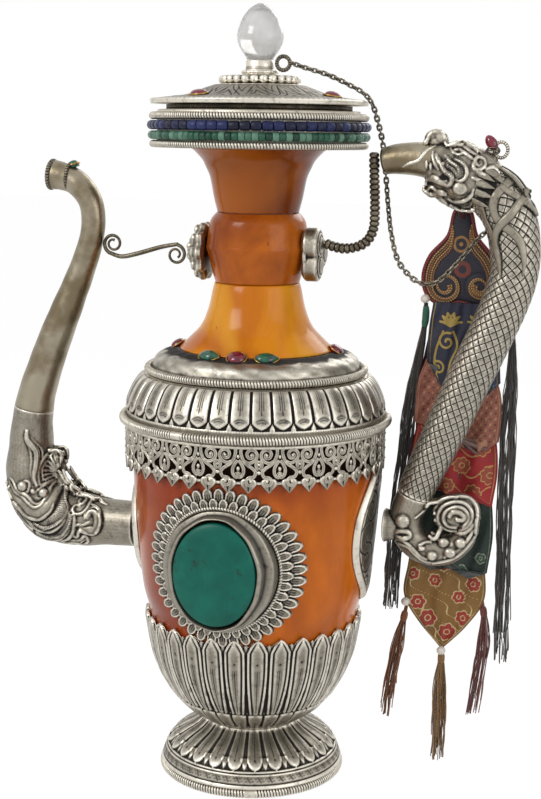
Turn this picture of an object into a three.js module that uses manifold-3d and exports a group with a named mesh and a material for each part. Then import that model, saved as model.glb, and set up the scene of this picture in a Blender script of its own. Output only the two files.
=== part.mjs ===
// Ritual kettle of silver and amber, with a makara spout and a dragon handle.
// Millimetres, +Z up. The spout points to -X, the handle to +X and the medallion to -Y.
// The origin is the centre of the foot, on the surface that the kettle stands on.

import * as THREE from 'three'
import { mergeVertices } from 'three/addons/utils/BufferGeometryUtils.js'
import Module from 'manifold-3d'

const wasm = await Module()
wasm.setup()

// Driving dimensions

const gap = 0.3 // between pieces that touch
const around = 28 // facets of a wide revolved piece
const roundNeck = 20 // facets of a slim one

const footRope = { radius: 44.4, wire: 4.6 }
const foot = { overhang: 1.6, waist: 24.3, height: 22.1, wall: 1.8, petals: 25 }
const basePlate = { thickness: 3 }
const cup = { height: 52.2, wall: 1.9, floor: 7, petals: 30, tip: 4 }
const belly = { low: 31.8, mid: 58.3, top: 61.6, height: 145.3, wall: 3.5 }
const gallery = { wall: 2.2, height: 22, lyres: 21, tip: 3.8 }
const galleryRope = { wire: 4.2 }
const shoulder = { rim: 63.6, top: 53.2, height: 19.6, wall: 1.8, inner: 38, petals: 40 }
const shoulderRope = { wire: 3.6 }
const collar = { lip: 39.4, seat: 30, height: 11.2, wall: 1.8 }
const flare = { bottom: 37.6, top: 20.8, height: 32.4 }
const neckBead = { end: 20.6, ridge: 25.2, height: 33.4 }
const trumpet = { bottom: 20.2, top: 32.6, height: 30 }
const neckBore = 14
const drum = { radius: 48.9, height: 17.8, well: 40.6, floor: 4 }
const lowerRope = { wire: 3.4 }
const turquoiseRing = { bead: 4.2 }
const lapisRing = { bead: 4.6 }
const upperRope = { wire: 3.6 }
const sleeve = { height: 10, wall: 1.6, flange: 44.5, flangeHeight: 2, clearance: 0.4 }
const lid = { radius: 52.2, rimHeight: 3, dome: 25.7, height: 9.6 }
const flutedRing = { radius: 19.5, height: 3.8, flutes: 20 }
const socket = { ring: 9, post: 6.7, height: 7 }
const finial = { radius: 11.2, height: 26.2, foot: 6.6 }

const medallion = { z: 118.5, width: 77, height: 79, plate: 2.6, scales: 40 }
const bezel = { width: 44.8, height: 54.2, wall: 2, stand: 8.4 }
const bezelFoot = { width: 54, height: 58, stand: 2.6 }
const stone = { dome: 3.4 }
const medallionRope = { wire: 2, inset: 5.6 }

const stoneRing = { radius: 38.2, round: 4.6, long: 6.4, slim: 3.7, stand: 3.4, spacing: 20.6 }
const lidStone = { radius: 4.6, stand: 3.2, from: 38, left: -122, right: -11 }

const spoutRoot = { z: 121, radius: 11.5 }
const spout = { wall: 1.4, headLength: 104, lipSeat: 2, lipRadius: 7.7, lipWire: 2.6, reach: 108.8, rise: 177.4, bore: 7 }
const spoutPlaque = { width: 40, height: 56 }
const handleRoot = { z: 131, boss: 7, bossFoot: 9, bossLength: 14 }
const plaque = { width: 42, height: 72, thickness: 3 }

const leftFlower = { radius: 14, stand: 10.8 }
const rightFlower = { radius: 12, stand: 8.4 }
const brace = { wire: 1.8, coil: 5 }
const strut = { wire: 1.8, bead: 5, beads: 26 }
const chain = { wire: 2.2 }
const lidRing = { radius: 3.2, wire: 2.2 }

// Levels, from the surface up

const footBase = footRope.wire + gap
const cupBase = footBase + foot.height + gap
const cupTop = cupBase + cup.height
const bellyBase = cupBase + cup.floor + gap
const bellyTop = bellyBase + belly.height
const galleryTop = bellyTop - 1
const ropeLevel = galleryTop + gap + galleryRope.wire / 2
const shoulderBase = ropeLevel + galleryRope.wire / 2 + gap
const shoulderTop = shoulderBase + shoulder.height
const shoulderRopeLevel = shoulderTop + gap + shoulderRope.wire / 2
const collarBase = shoulderTop + gap
const collarTop = collarBase + collar.height
const flareBase = collarTop + gap
const neckBeadBase = flareBase + flare.height + gap
const trumpetBase = neckBeadBase + neckBead.height + gap
const drumBase = trumpetBase + trumpet.height + gap
const drumTop = drumBase + drum.height
const lidBase = drumTop + gap + sleeve.flangeHeight + gap
const flutedBase = lidBase + lid.height + gap
const socketBase = flutedBase + flutedRing.height + gap
const finialBase = socketBase + socket.height + gap

// Materials

const silver = new THREE.MeshStandardMaterial({ color: 0xbfb8a2, metalness: 1, roughness: 0.34 })
const darkSilver = new THREE.MeshStandardMaterial({ color: 0x6f6a5e, metalness: 1, roughness: 0.45 })
const amber = new THREE.MeshStandardMaterial({ color: 0xc8640f, metalness: 0, roughness: 0.22 })
const turquoise = new THREE.MeshStandardMaterial({ color: 0x0d6a5f, metalness: 0, roughness: 0.35 })
const turquoiseBead = new THREE.MeshStandardMaterial({ color: 0x3f7c64, metalness: 0, roughness: 0.4 })
const lapis = new THREE.MeshStandardMaterial({ color: 0x1b2458, metalness: 0, roughness: 0.35 })
const ruby = new THREE.MeshStandardMaterial({ color: 0x8c1238, metalness: 0, roughness: 0.12 })
const emerald = new THREE.MeshStandardMaterial({ color: 0x07543a, metalness: 0, roughness: 0.12 })
const quartz = new THREE.MeshStandardMaterial({ color: 0xd9d4cc, metalness: 0, roughness: 0.15 })
const capCloth = new THREE.MeshStandardMaterial({ color: 0x5a2a22, metalness: 0, roughness: 0.85 })
const panelCloth = new THREE.MeshStandardMaterial({ color: 0x6d4526, metalness: 0, roughness: 0.8 })
const darkThread = new THREE.MeshStandardMaterial({ color: 0x2b211c, metalness: 0, roughness: 0.9 })
const goldThread = new THREE.MeshStandardMaterial({ color: 0x7a4a22, metalness: 0, roughness: 0.9 })

// Small sums

const radians = (degrees) => degrees * Math.PI / 180
const point = (x, y, z) => new THREE.Vector3(x, y, z)

// A smooth curve through a few points of the XZ plane, at one depth y.
function planeCurve(points, y = 0) {
  return new THREE.CatmullRomCurve3(points.map(([x, z]) => point(x, y, z)), false, 'centripetal')
}

// Radius of an outline, given as [radius, height] points, at a height.
function radiusAt(outline, z) {
  for (let i = 1; i < outline.length; i += 1) {
    const [r0, z0] = outline[i - 1]
    const [r1, z1] = outline[i]
    if (z <= z1) return r0 + (r1 - r0) * (z - z0) / (z1 - z0)
  }
  return outline[outline.length - 1][0]
}

// The inner side of a wall: every third point of its outline, moved in, in falling order.
function inner(outline, wall) {
  const last = outline.length - 1
  return outline.filter((_, i) => i % 3 === 0 || i === last).map(([r, z]) => [r - wall, z]).reverse()
}

// Value of a smooth ramp through evenly spaced values, for t from 0 to 1.
function ramp(values, t) {
  const place = Math.min(Math.max(t, 0), 1) * (values.length - 1)
  const i = Math.min(Math.floor(place), values.length - 2)
  const s = place - i
  return values[i] + (values[i + 1] - values[i]) * s * s * (3 - 2 * s)
}

// Solids

// Keeps the positions alone, merges them and turns every face outwards.
function closed(geometry) {
  const bare = geometry.clone()
  bare.deleteAttribute('normal')
  bare.deleteAttribute('uv')
  const solid = mergeVertices(bare, 1e-4)
  const position = solid.attributes.position
  const index = Array.from(solid.index.array)
  const corners = []
  let volume = 0
  const a = new THREE.Vector3()
  const b = new THREE.Vector3()
  const c = new THREE.Vector3()
  for (let i = 0; i < index.length; i += 3) {
    const [p, q, r] = [index[i], index[i + 1], index[i + 2]]
    if (p === q || q === r || r === p) continue
    a.fromBufferAttribute(position, p)
    b.fromBufferAttribute(position, q)
    c.fromBufferAttribute(position, r)
    volume += a.dot(b.cross(c))
    corners.push(p, q, r)
  }
  if (volume < 0) corners.reverse()
  solid.setIndex(corners)
  return solid
}

function toManifold(geometry) {
  const solid = closed(geometry)
  const vertProperties = new Float32Array(solid.attributes.position.array)
  const triVerts = new Uint32Array(solid.index.array)
  return new wasm.Manifold(new wasm.Mesh({ numProp: 3, vertProperties, triVerts }))
}

function fromManifold(body) {
  const mesh = body.getMesh()
  const geometry = new THREE.BufferGeometry()
  geometry.setAttribute('position', new THREE.BufferAttribute(new Float32Array(mesh.vertProperties), 3))
  geometry.setIndex(new THREE.BufferAttribute(new Uint32Array(mesh.triVerts), 1))
  return geometry
}

function fuse(first, ...others) {
  return fromManifold(others.reduce((sum, other) => sum.add(toManifold(other)), toManifold(first)))
}

function cut(first, ...others) {
  return fromManifold(others.reduce((rest, other) => rest.subtract(toManifold(other)), toManifold(first)))
}

function common(first, second) {
  return fromManifold(toManifold(first).intersect(toManifold(second)))
}

// Revolves a closed outline of [radius, height] points about Z.
function revolve(outline, facets = around) {
  const loop = outline.map(([r, z]) => new THREE.Vector2(Math.max(r, 0), z))
  const [start, end] = [outline[0], outline[outline.length - 1]]
  if (start[0] > 0 || end[0] > 0) loop.push(loop[0].clone())
  return closed(new THREE.LatheGeometry(loop, facets).rotateX(Math.PI / 2))
}

// Revolves an outline and moves its points in or out by a relief of angle and height.
function carve(outline, facets, relief) {
  const geometry = revolve(outline, facets)
  const position = geometry.attributes.position
  for (let i = 0; i < position.count; i += 1) {
    const [x, y, z] = [position.getX(i), position.getY(i), position.getZ(i)]
    const r = Math.hypot(x, y)
    if (r < 1) continue
    const moved = (r + relief(Math.atan2(y, x), z, r)) / r
    position.setXY(i, x * moved, y * moved)
  }
  return geometry
}

function ring(radius, wire, z, facets = around, sides = 4) {
  return closed(new THREE.TorusGeometry(radius, wire / 2, sides, facets).translate(0, 0, z))
}

// Skins rings of points, one after the other, and closes the two ends with a fan.
function skin(rings, closedLoop = false) {
  const sides = rings[0].length
  const points = rings.flat()
  const index = []
  const count = rings.length
  const spans = closedLoop ? count : count - 1
  for (let i = 0; i < spans; i += 1) {
    const next = (i + 1) % count
    for (let j = 0; j < sides; j += 1) {
      const k = (j + 1) % sides
      index.push(i * sides + j, i * sides + k, next * sides + k)
      index.push(i * sides + j, next * sides + k, next * sides + j)
    }
  }
  if (!closedLoop) {
    for (const [end, flip] of [[0, true], [count - 1, false]]) {
      const middle = points.length
      const centre = rings[end].reduce((sum, p) => sum.add(p), point(0, 0, 0)).divideScalar(sides)
      points.push(centre)
      for (let j = 0; j < sides; j += 1) {
        const k = (j + 1) % sides
        const [p, q] = [end * sides + j, end * sides + k]
        index.push(...(flip ? [middle, q, p] : [middle, p, q]))
      }
    }
  }
  const geometry = new THREE.BufferGeometry().setFromPoints(points)
  geometry.setIndex(index)
  return closed(geometry)
}

// A round bar along a curve, of a radius that changes on the way; flat squeezes it across.
function bar(curve, steps, sides, radius, flat = () => 1, loop = false) {
  const frames = curve.computeFrenetFrames(steps, loop)
  const rings = []
  for (let i = 0; i < (loop ? steps : steps + 1); i += 1) {
    const t = i / steps
    const centre = curve.getPointAt(t)
    const r = radius(t)
    const section = []
    for (let j = 0; j < sides; j += 1) {
      const angle = (j + 0.5) / sides * 2 * Math.PI
      const p = centre.clone()
      p.addScaledVector(frames.normals[i], r * Math.cos(angle))
      p.addScaledVector(frames.binormals[i], r * flat(t) * Math.sin(angle))
      section.push(p)
    }
    rings.push(section)
  }
  return skin(rings, loop)
}

// A domed stone on the XY plane, with a flat back at z 0.
function cabochon(halfLength, halfWidth, stand) {
  const outline = [[0, 0], [1, 0], [0.94, 0.45], [0.6, 0.88], [0, 1]]
  return revolve(outline, 8).scale(halfLength, halfWidth, stand)
}

const kettle = new THREE.Group()

function add(name, geometry, material, parent = kettle) {
  const mesh = new THREE.Mesh(geometry, material)
  mesh.name = name
  parent.add(mesh)
  return mesh
}

// Foot

const footRim = footRope.radius + foot.overhang
const footShape = [
  [footRim, 0], [footRim - 2.1, 0.25], [footRim - 5, 0.44],
  [foot.waist + 11.6, 0.62], [foot.waist + 4.1, 0.81], [foot.waist, 1],
].map(([r, t]) => [r, footBase + t * foot.height])

function footPetals(angle, z, r) {
  const t = (z - footBase) / foot.height
  if (t < 0.2 || t > 0.97 || r < radiusAt(footShape, z) - foot.wall / 2) return 0
  return 0.5 * Math.cos(foot.petals * angle) * Math.sin(Math.PI * Math.min(1, (t - 0.2) / 0.7))
}

function makeFoot() {
  const inside = inner(footShape, foot.wall + 1.6)
  add('foot_rope_ring', ring(footRope.radius, footRope.wire, footRope.wire / 2), silver)
  add('foot_pedestal', carve([...footShape, ...inside], foot.petals * 2, footPetals), silver)
  const plateRadius = footRope.radius - footRope.wire / 2 - gap
  const plate = [[0, 0], [plateRadius, 0], [plateRadius, basePlate.thickness], [0, basePlate.thickness]]
  add('base_plate', revolve(plate), darkSilver)
}

// Belly

const bellyShape = [
  [belly.low, 0], [belly.low + 6, 0.045], [belly.low + 12, 0.11], [belly.low + 16.8, 0.19],
  [belly.low + 19.2, 0.29], [belly.mid - 5.8, 0.35], [belly.mid - 2.6, 0.44],
  [belly.mid, 0.635], [belly.top - 1.4, 0.81], [belly.top, 1],
].map(([r, t]) => [r, bellyBase + t * belly.height])

function makeBelly() {
  const inside = inner(bellyShape, belly.wall).map(([r, z]) => [r, Math.max(z, bellyBase + belly.wall)])
  const outline = [[0, bellyBase], ...bellyShape, ...inside, [0, bellyBase + belly.wall]]
  const hole = new THREE.CylinderGeometry(spout.bore, spout.bore, belly.mid, 12).rotateZ(Math.PI / 2)
  hole.translate(-belly.mid, 0, spoutRoot.z)
  add('belly_shell', cut(revolve(outline), closed(hole)), amber)
}

// Lotus cup

const cupFloor = [[0, cupBase], [foot.waist, cupBase], [foot.waist + 6.2, cupBase + 0.6 * cup.floor]]

function cupPetals(angle, z, r) {
  return z > cupBase + cup.floor ? 0.4 * Math.cos(cup.petals * angle) : 0
}

function makeCup() {
  const thickness = gap + cup.wall
  const rim = [radiusAt(bellyShape, cupTop) + thickness, cupTop]
  const wall = bellyShape.filter(([, z]) => z < cupTop - cup.tip).map(([r, z]) => [r + thickness, z])
  const body = carve([...cupFloor, ...wall, rim, [0, cupTop]], cup.petals * 2, cupPetals)
  const position = body.attributes.position
  for (let i = 0; i < position.count; i += 1) {
    const [x, y, z] = [position.getX(i), position.getY(i), position.getZ(i)]
    if (z < cupTop - 0.01 || Math.hypot(x, y) < 1) continue
    position.setZ(i, z + (Math.cos(cup.petals * Math.atan2(y, x)) > 0 ? cup.tip : 0))
  }
  add('lotus_cup', cut(body, bellySolid(gap), medallionNotch()), silver)
}

// Gallery

// Two S scrolls stand back to back as a lyre and leave a heart between them. The next lyre begins
// beyond a bell. Half of each opening, as [across, below the top] from the axis that it is mirrored on.
const lyreHeart = [[0, 1.6], [1.9, 2.2], [2.9, 5.4], [0, 9.6]]
const lyreBell = [[0, 2], [1.5, 4], [4, 10.4], [3.4, 13.6], [0, 16]]

// The whole outline of a half, in shares of a width, so that what is as wide ends at 1 and -1.
function mirrored(half, width) {
  const back = half.slice(1, -1).reverse().map(([x, below]) => [-x, below])
  return [...half, ...back].map(([x, below]) => new THREE.Vector2(x / width, -below))
}

// A ring of flat pierced sides, each with a leaf tip at both lower corners. Its mitred ends stay open,
// so that all the sides close as one band.
function makeGallery() {
  const inner = belly.top + gap
  const outer = inner + gallery.wall
  const sides = gallery.lyres * 2
  const turn = Math.PI / sides
  const half = outer * Math.sin(turn)
  const rim = [[0, 0], [half, 0], [half, gallery.height], [0, gallery.height - gallery.tip]]
  const places = []
  for (let i = 0; i < sides; i += 1) {
    const shape = new THREE.Shape(mirrored(rim, half))
    shape.holes.push(new THREE.Shape(mirrored(i % 2 ? lyreBell : lyreHeart, half).reverse()))
    const side = new THREE.ExtrudeGeometry(shape, { depth: 1, bevelEnabled: false })
    const position = side.attributes.position
    for (let k = 0; k < position.count; k += 3) {
      const triangle = [k, k + 1, k + 2]
      if (triangle.every((j) => position.getX(j) === 1)) continue
      if (triangle.every((j) => position.getX(j) === -1)) continue
      for (const j of triangle) {
        const r = position.getZ(j) ? outer : inner
        const [x, y] = [position.getX(j) * r * Math.sin(turn), -r * Math.cos(turn)]
        const place = point(x, y, galleryTop + position.getY(j))
        places.push(...place.applyAxisAngle(point(0, 0, 1), 2 * turn * i))
      }
    }
  }
  const band = new THREE.BufferGeometry()
  band.setAttribute('position', new THREE.Float32BufferAttribute(places, 3))
  const leaf = leafPlate(1, handleRoot.z - 3, plaque.width + 2 * gap, plaque.height + 2 * gap)
  add('gallery_band', cut(closed(band), medallionNotch(), leaf), silver)
  add('gallery_rope_ring', ring(shoulder.rim + 1.6, galleryRope.wire, ropeLevel), silver)
}

// Shoulder

const shoulderShape = [
  [shoulder.rim, 0], [shoulder.rim - 1.7, 0.5], [shoulder.rim - 5.6, 0.86], [shoulder.top, 1],
].map(([r, t]) => [r, shoulderBase + t * shoulder.height])

const collarEdge = shoulder.top - shoulderRope.wire / 2 - gap
const collarShape = [
  [collarEdge, collarBase], [collarEdge - 0.6, shoulderRopeLevel + 2.4],
  [collarEdge - 4, collarTop - 2.4], [collar.lip, collarTop],
]
const collarUnder = [
  [collar.seat, collarTop], [collar.seat, collarTop - collar.wall], [collar.lip - 1, collarTop - collar.wall],
  [collarEdge - collar.wall - 1, collarBase],
]

function shoulderPetals(angle, z, r) {
  const t = (z - shoulderBase) / shoulder.height
  if (t < 0.2 || t > 0.98 || r < radiusAt(shoulderShape, z) - shoulder.wall / 2) return 0
  return 0.45 * Math.cos(shoulder.petals * angle)
}

function makeShoulder() {
  const seat = bellyTop + gap
  const outline = [
    [belly.top - belly.wall + 0.6, seat], [shoulder.rim - 1, seat], [shoulder.rim - 1, shoulderBase],
    ...shoulderShape, [shoulder.inner, shoulderTop], [shoulder.inner, shoulderTop - shoulder.wall],
  ]
  add('shoulder_dome', carve(outline, shoulder.petals * 2, shoulderPetals), silver)
  add('shoulder_rope_ring', ring(shoulder.top, shoulderRope.wire, shoulderRopeLevel), silver)
  add('shoulder_collar', revolve([...collarShape, ...collarUnder]), silver)
}

// Neck

const flareShape = [
  [flare.bottom, 0], [flare.bottom - 6, 0.13], [flare.top + 7.4, 0.26], [flare.top + 3.6, 0.5],
  [flare.top + 1.7, 0.74], [flare.top, 1],
].map(([r, t]) => [r, flareBase + t * flare.height])

const neckBeadShape = [
  [neckBead.end, 0], [neckBead.ridge, 0.48], [neckBead.ridge - 0.4, 0.58],
  [neckBead.ridge - 1.7, 0.83], [neckBead.end - 0.8, 1],
].map(([r, t]) => [r, neckBeadBase + t * neckBead.height])

const trumpetShape = [
  [trumpet.bottom - 0.4, 0], [trumpet.bottom + 1.8, 0.32], [trumpet.bottom + 3.4, 0.57],
  [trumpet.bottom + 7, 0.83], [trumpet.bottom + 10.5, 0.95], [trumpet.top, 1],
].map(([r, t]) => [r, trumpetBase + t * trumpet.height])

function pierced(outline) {
  const [low, high] = [outline[0][1], outline[outline.length - 1][1]]
  return revolve([[neckBore, low], ...outline, [neckBore, high]], roundNeck)
}

function makeNeck() {
  add('neck_flare', pierced(flareShape), amber)
  add('neck_bead', pierced(neckBeadShape), amber)
  add('neck_trumpet', pierced(trumpetShape), amber)
}

// Mouth

function makeMouth() {
  const outline = [
    [neckBore, drumBase], [drum.radius, drumBase], [drum.radius, drumTop], [drum.well, drumTop],
    [drum.well, drumBase + drum.floor + 3], [neckBore, drumBase + drum.floor],
  ]
  add('mouth_drum', revolve(outline), darkSilver)
  let level = drumBase
  const rings = [
    ['mouth_rope_ring_lower', lowerRope.wire, silver],
    ['turquoise_bead_ring', turquoiseRing.bead, turquoiseBead],
    ['lapis_bead_ring', lapisRing.bead, lapis],
    ['mouth_rope_ring_upper', upperRope.wire, silver],
  ]
  for (const [name, wire, material] of rings) {
    add(name, ring(drum.radius + gap + wire / 2, wire, level + wire / 2), material)
    level += wire + gap
  }
}

// Lid

const lidTop = lidBase + lid.height
const lidShape = [
  [0, lidBase], [lid.radius - 0.6, lidBase], [lid.radius, lidBase + lid.rimHeight - 0.8],
  [lid.radius - 9, lidBase + lid.rimHeight], [33, lidBase + lid.rimHeight + 1.2],
  [lid.dome, lidBase + lid.rimHeight + 4.2], [flutedRing.radius + 0.5, lidTop], [0, lidTop],
]

const finialShape = [
  [0, 0], [finial.foot, 0], [finial.radius - 1.5, 0.19], [finial.radius, 0.36],
  [finial.radius - 1.5, 0.62], [finial.radius - 3.2, 0.76], [finial.radius - 6.5, 0.92], [0, 1],
].map(([r, t]) => [r, finialBase + t * finial.height])

const lidRingCentre = {
  x: socket.post + gap + lidRing.radius + lidRing.wire / 2 + 0.2, z: socketBase + socket.height - 1.4,
}
const lidStoneSeat = lidBase + lid.rimHeight + 0.6

function makeLid() {
  const sleeveRadius = drum.well - sleeve.clearance
  const [flangeBase, flangeTop] = [drumTop + gap, drumTop + gap + sleeve.flangeHeight]
  const sleeveShape = [
    [0, flangeTop], [sleeve.flange, flangeTop], [sleeve.flange, flangeBase], [sleeveRadius, flangeBase],
    [sleeveRadius, flangeTop - sleeve.height], [sleeveRadius - sleeve.wall, flangeTop - sleeve.height],
    [sleeveRadius - sleeve.wall, flangeTop - sleeve.wall], [0, flangeTop - sleeve.wall],
  ]
  add('lid_sleeve', revolve(sleeveShape), darkSilver)
  add('lid_plate', revolve(lidShape), silver)
  const flutedOutline = [
    [0, flutedBase], [flutedRing.radius, flutedBase], [flutedRing.radius, flutedBase + 1.6],
    [flutedRing.radius - 6, flutedBase + flutedRing.height], [0, flutedBase + flutedRing.height],
  ]
  const flutes = (angle, z, r) => (r > flutedRing.radius - 1 ? 0.5 * Math.cos(flutedRing.flutes * angle) : 0)
  add('lid_fluted_ring', carve(flutedOutline, flutedRing.flutes * 2, flutes), silver)
  const socketShape = [
    [0, socketBase], [socket.ring, socketBase], [socket.ring, socketBase + 1.8],
    [socket.post, socketBase + 2],
    [socket.post, socketBase + socket.height], [0, socketBase + socket.height],
  ]
  add('finial_socket', revolve(socketShape, 16), silver)
  add('finial_crystal', revolve(finialShape, 18), quartz)
  for (const side of ['left', 'right']) {
    const stoneShape = cabochon(lidStone.radius, lidStone.radius, lidStone.stand)
    const angle = radians(lidStone[side])
    stoneShape.translate(lidStone.from * Math.cos(angle), lidStone.from * Math.sin(angle), lidStoneSeat)
    const under = lidShape.slice(1, -1).map(([r, z]) => [r + gap, z + gap])
    const seat = revolve([[0, lidBase - lid.height], ...under, [0, lidTop]])
    add(`lid_ruby_${side}`, cut(stoneShape, seat), ruby)
  }
  const chainRing = new THREE.TorusGeometry(lidRing.radius, lidRing.wire / 2, 4, 12).rotateX(Math.PI / 2)
  chainRing.translate(lidRingCentre.x, 0, lidRingCentre.z)
  add('lid_chain_ring', closed(chainRing), silver)
}

// Medallion

function ovalShape(width, height, lobes = 0, depth = 0, steps = 24) {
  const points = []
  const count = lobes ? lobes * 2 : steps
  for (let i = 0; i < count; i += 1) {
    const angle = i / count * 2 * Math.PI
    const swell = lobes ? 1 - depth * (0.5 - 0.5 * Math.cos(lobes * angle)) : 1
    points.push(new THREE.Vector2(width / 2 * swell * Math.cos(angle), height / 2 * swell * Math.sin(angle)))
  }
  return new THREE.Shape(points)
}

// A prism along Y, from its outline in the XZ plane, between two depths.
function prismAlongY(shape, from, to, z) {
  const solid = new THREE.ExtrudeGeometry(shape, { depth: to - from, bevelEnabled: false })
  return closed(solid.rotateX(Math.PI / 2).translate(0, to, z))
}

// A layer of the belly between two distances from its surface.
function bellyLayer(from, to) {
  const outer = bellyShape.map(([r, z]) => [r + to, z])
  const inner = bellyShape.map(([r, z]) => [r + from, z]).reverse()
  return revolve([...outer, ...inner])
}

function bellySolid(offset) {
  const outer = bellyShape.map(([r, z]) => [r + offset, z])
  return revolve([[0, bellyBase], ...outer, [0, bellyTop]])
}

// The place that the medallion's plate takes up, with its clearance.
function medallionNotch() {
  const outline = ovalShape(medallion.width + 2 * gap, medallion.height + 2 * gap)
  return prismAlongY(outline, -90, -20, medallion.z)
}

function makeMedallion() {
  const front = -(belly.mid + medallion.plate + bezel.stand)
  const outline = ovalShape(medallion.width, medallion.height, medallion.scales, 0.05)
  const plate = common(bellyLayer(gap, gap + medallion.plate), prismAlongY(outline, -90, -20, medallion.z))
  add('medallion_plate', plate, silver)
  const onPlate = bellySolid(2 * gap + medallion.plate)
  const oval = ovalShape(bezel.width, bezel.height)
  oval.holes.push(ovalShape(bezel.width - 2 * bezel.wall, bezel.height - 2 * bezel.wall))
  const foot = ovalShape(bezelFoot.width, bezelFoot.height)
  foot.holes.push(ovalShape(bezel.width - 2 * bezel.wall, bezel.height - 2 * bezel.wall))
  const footFront = -(belly.mid + medallion.plate + bezelFoot.stand)
  const step = prismAlongY(foot, footFront, -30, medallion.z)
  const bezelBody = fuse(prismAlongY(oval, front, -30, medallion.z), step)
  add('medallion_bezel', cut(bezelBody, onPlate), silver)
  const inset = 2 * (bezel.wall + gap)
  const stoneOval = ovalShape(bezel.width - inset, bezel.height - inset)
  const stoneBody = prismAlongY(stoneOval, front + 0.6, -30, medallion.z)
  const dome = revolve([[0, 0], [1, 0], [0.9, 0.42], [0.6, 0.82], [0, 1]], 24)
  dome.scale(bezel.width / 2 - inset / 2 - 0.2, bezel.height / 2 - inset / 2 - 0.2, stone.dome)
  dome.rotateX(Math.PI / 2).translate(0, front + 0.7, medallion.z)
  add('turquoise_cabochon', cut(fuse(stoneBody, dome), onPlate), turquoise)
  const rope = []
  for (let i = 0; i < 40; i += 1) {
    const angle = i / 40 * 2 * Math.PI
    const x = (medallion.width / 2 - medallionRope.inset) * Math.cos(angle)
    const z = medallion.z + (medallion.height / 2 - medallionRope.inset) * Math.sin(angle)
    const r = radiusAt(bellyShape, z) + medallion.plate + 2 * gap + medallionRope.wire / 2 + 0.15
    rope.push(point(x, -Math.sqrt(r * r - x * x), z))
  }
  const path = new THREE.CatmullRomCurve3(rope, true)
  add('medallion_rope_ring', bar(path, 30, 4, () => medallionRope.wire / 2, undefined, true), silver)
}

// Shoulder stones

function makeShoulderStones() {
  const places = [
    ['ruby_front', -88, stoneRing.round, stoneRing.round, ruby],
    ['emerald_front_left', -88 - stoneRing.spacing, stoneRing.long, stoneRing.slim, emerald],
    ['emerald_front_right', -88 + stoneRing.spacing, stoneRing.long, stoneRing.slim, emerald],
    ['ruby_left', -175, stoneRing.round, stoneRing.round, ruby],
    ['ruby_right', 5, stoneRing.round, stoneRing.round, ruby],
  ]
  const low = flareBase - collar.height
  const amberSide = flareShape.map(([r, z]) => [r + gap, z + gap])
  const neck = revolve([[0, low], [flare.bottom + gap, low], ...amberSide, [0, neckBeadBase]], roundNeck)
  const seat = collarShape.map(([r, z]) => [r + gap, z + gap])
  const rim = revolve([[0, collarBase], ...seat, [0, collarTop + gap]])
  for (const [name, degrees, long, wide, material] of places) {
    const body = cabochon(wide, long, stoneRing.stand + 2)
    body.rotateY(radians(34)).translate(stoneRing.radius, 0, collarTop - 2.4).rotateZ(radians(degrees))
    add(name, cut(body, neck, rim), material)
  }
}

// Spout

const spoutTop = [-spout.reach, spoutRoot.z + spout.rise - 1]
const spoutPath = planeCurve([
  [-belly.mid - 2 * gap - plaque.thickness, spoutRoot.z], [-86, spoutRoot.z], [-101, spoutRoot.z + 1.4],
  [-113, spoutRoot.z + 8],
  [-119.4, spoutRoot.z + 21], [-119.9, spoutRoot.z + 44], [-117.4, spoutRoot.z + 62],
  [-112, spoutRoot.z + 79], [-105.5, spoutRoot.z + 96], [-98.3, spoutRoot.z + 113],
  [-91.6, spoutRoot.z + 129], [-86.8, spoutRoot.z + 143], [-85.2, spoutRoot.z + 154],
  [-87, spoutRoot.z + 164], [-93.5, spoutRoot.z + 172], [-101.5, spoutRoot.z + 175.4], spoutTop,
])
const spoutRadius = [
  spoutRoot.radius, spoutRoot.radius + 0.3, 13.6, 15, 15, 13.6, 11.4, 10.2, 9.4,
  8.8, 8.4, 7.8, 7, 6.4, 6, 6, 6.4, 7.4,
]
const spoutLength = spoutPath.getLength()
const headEnd = spout.headLength / spoutLength
const spoutEnd = 1 - spout.lipSeat / spoutLength

// A stretch of the spout: a tube with its bore, between two shares of the path.
function spoutStretch(from, to, steps, sides, swell = () => 0) {
  const frames = spoutPath.computeFrenetFrames(60, false)
  const outside = []
  const inside = []
  for (let i = 0; i <= steps; i += 1) {
    const t = from + (to - from) * i / steps
    const k = Math.round(t * 60)
    const centre = spoutPath.getPointAt(t)
    const r = ramp(spoutRadius, t)
    for (const [rings, size] of [[outside, r], [inside, Math.max(r - spout.wall - swell(0, 0), 2)]]) {
      const section = []
      for (let j = 0; j < sides; j += 1) {
        const angle = (j + 0.5) / sides * 2 * Math.PI
        const wide = size + (rings === outside ? swell(t, angle) : 0)
        const p = centre.clone()
        p.addScaledVector(frames.normals[k], wide * Math.cos(angle))
        p.addScaledVector(frames.binormals[k], wide * Math.sin(angle))
        section.push(p)
      }
      rings.push(section)
    }
  }
  return skin([...outside, ...inside.reverse()], true)
}

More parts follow.
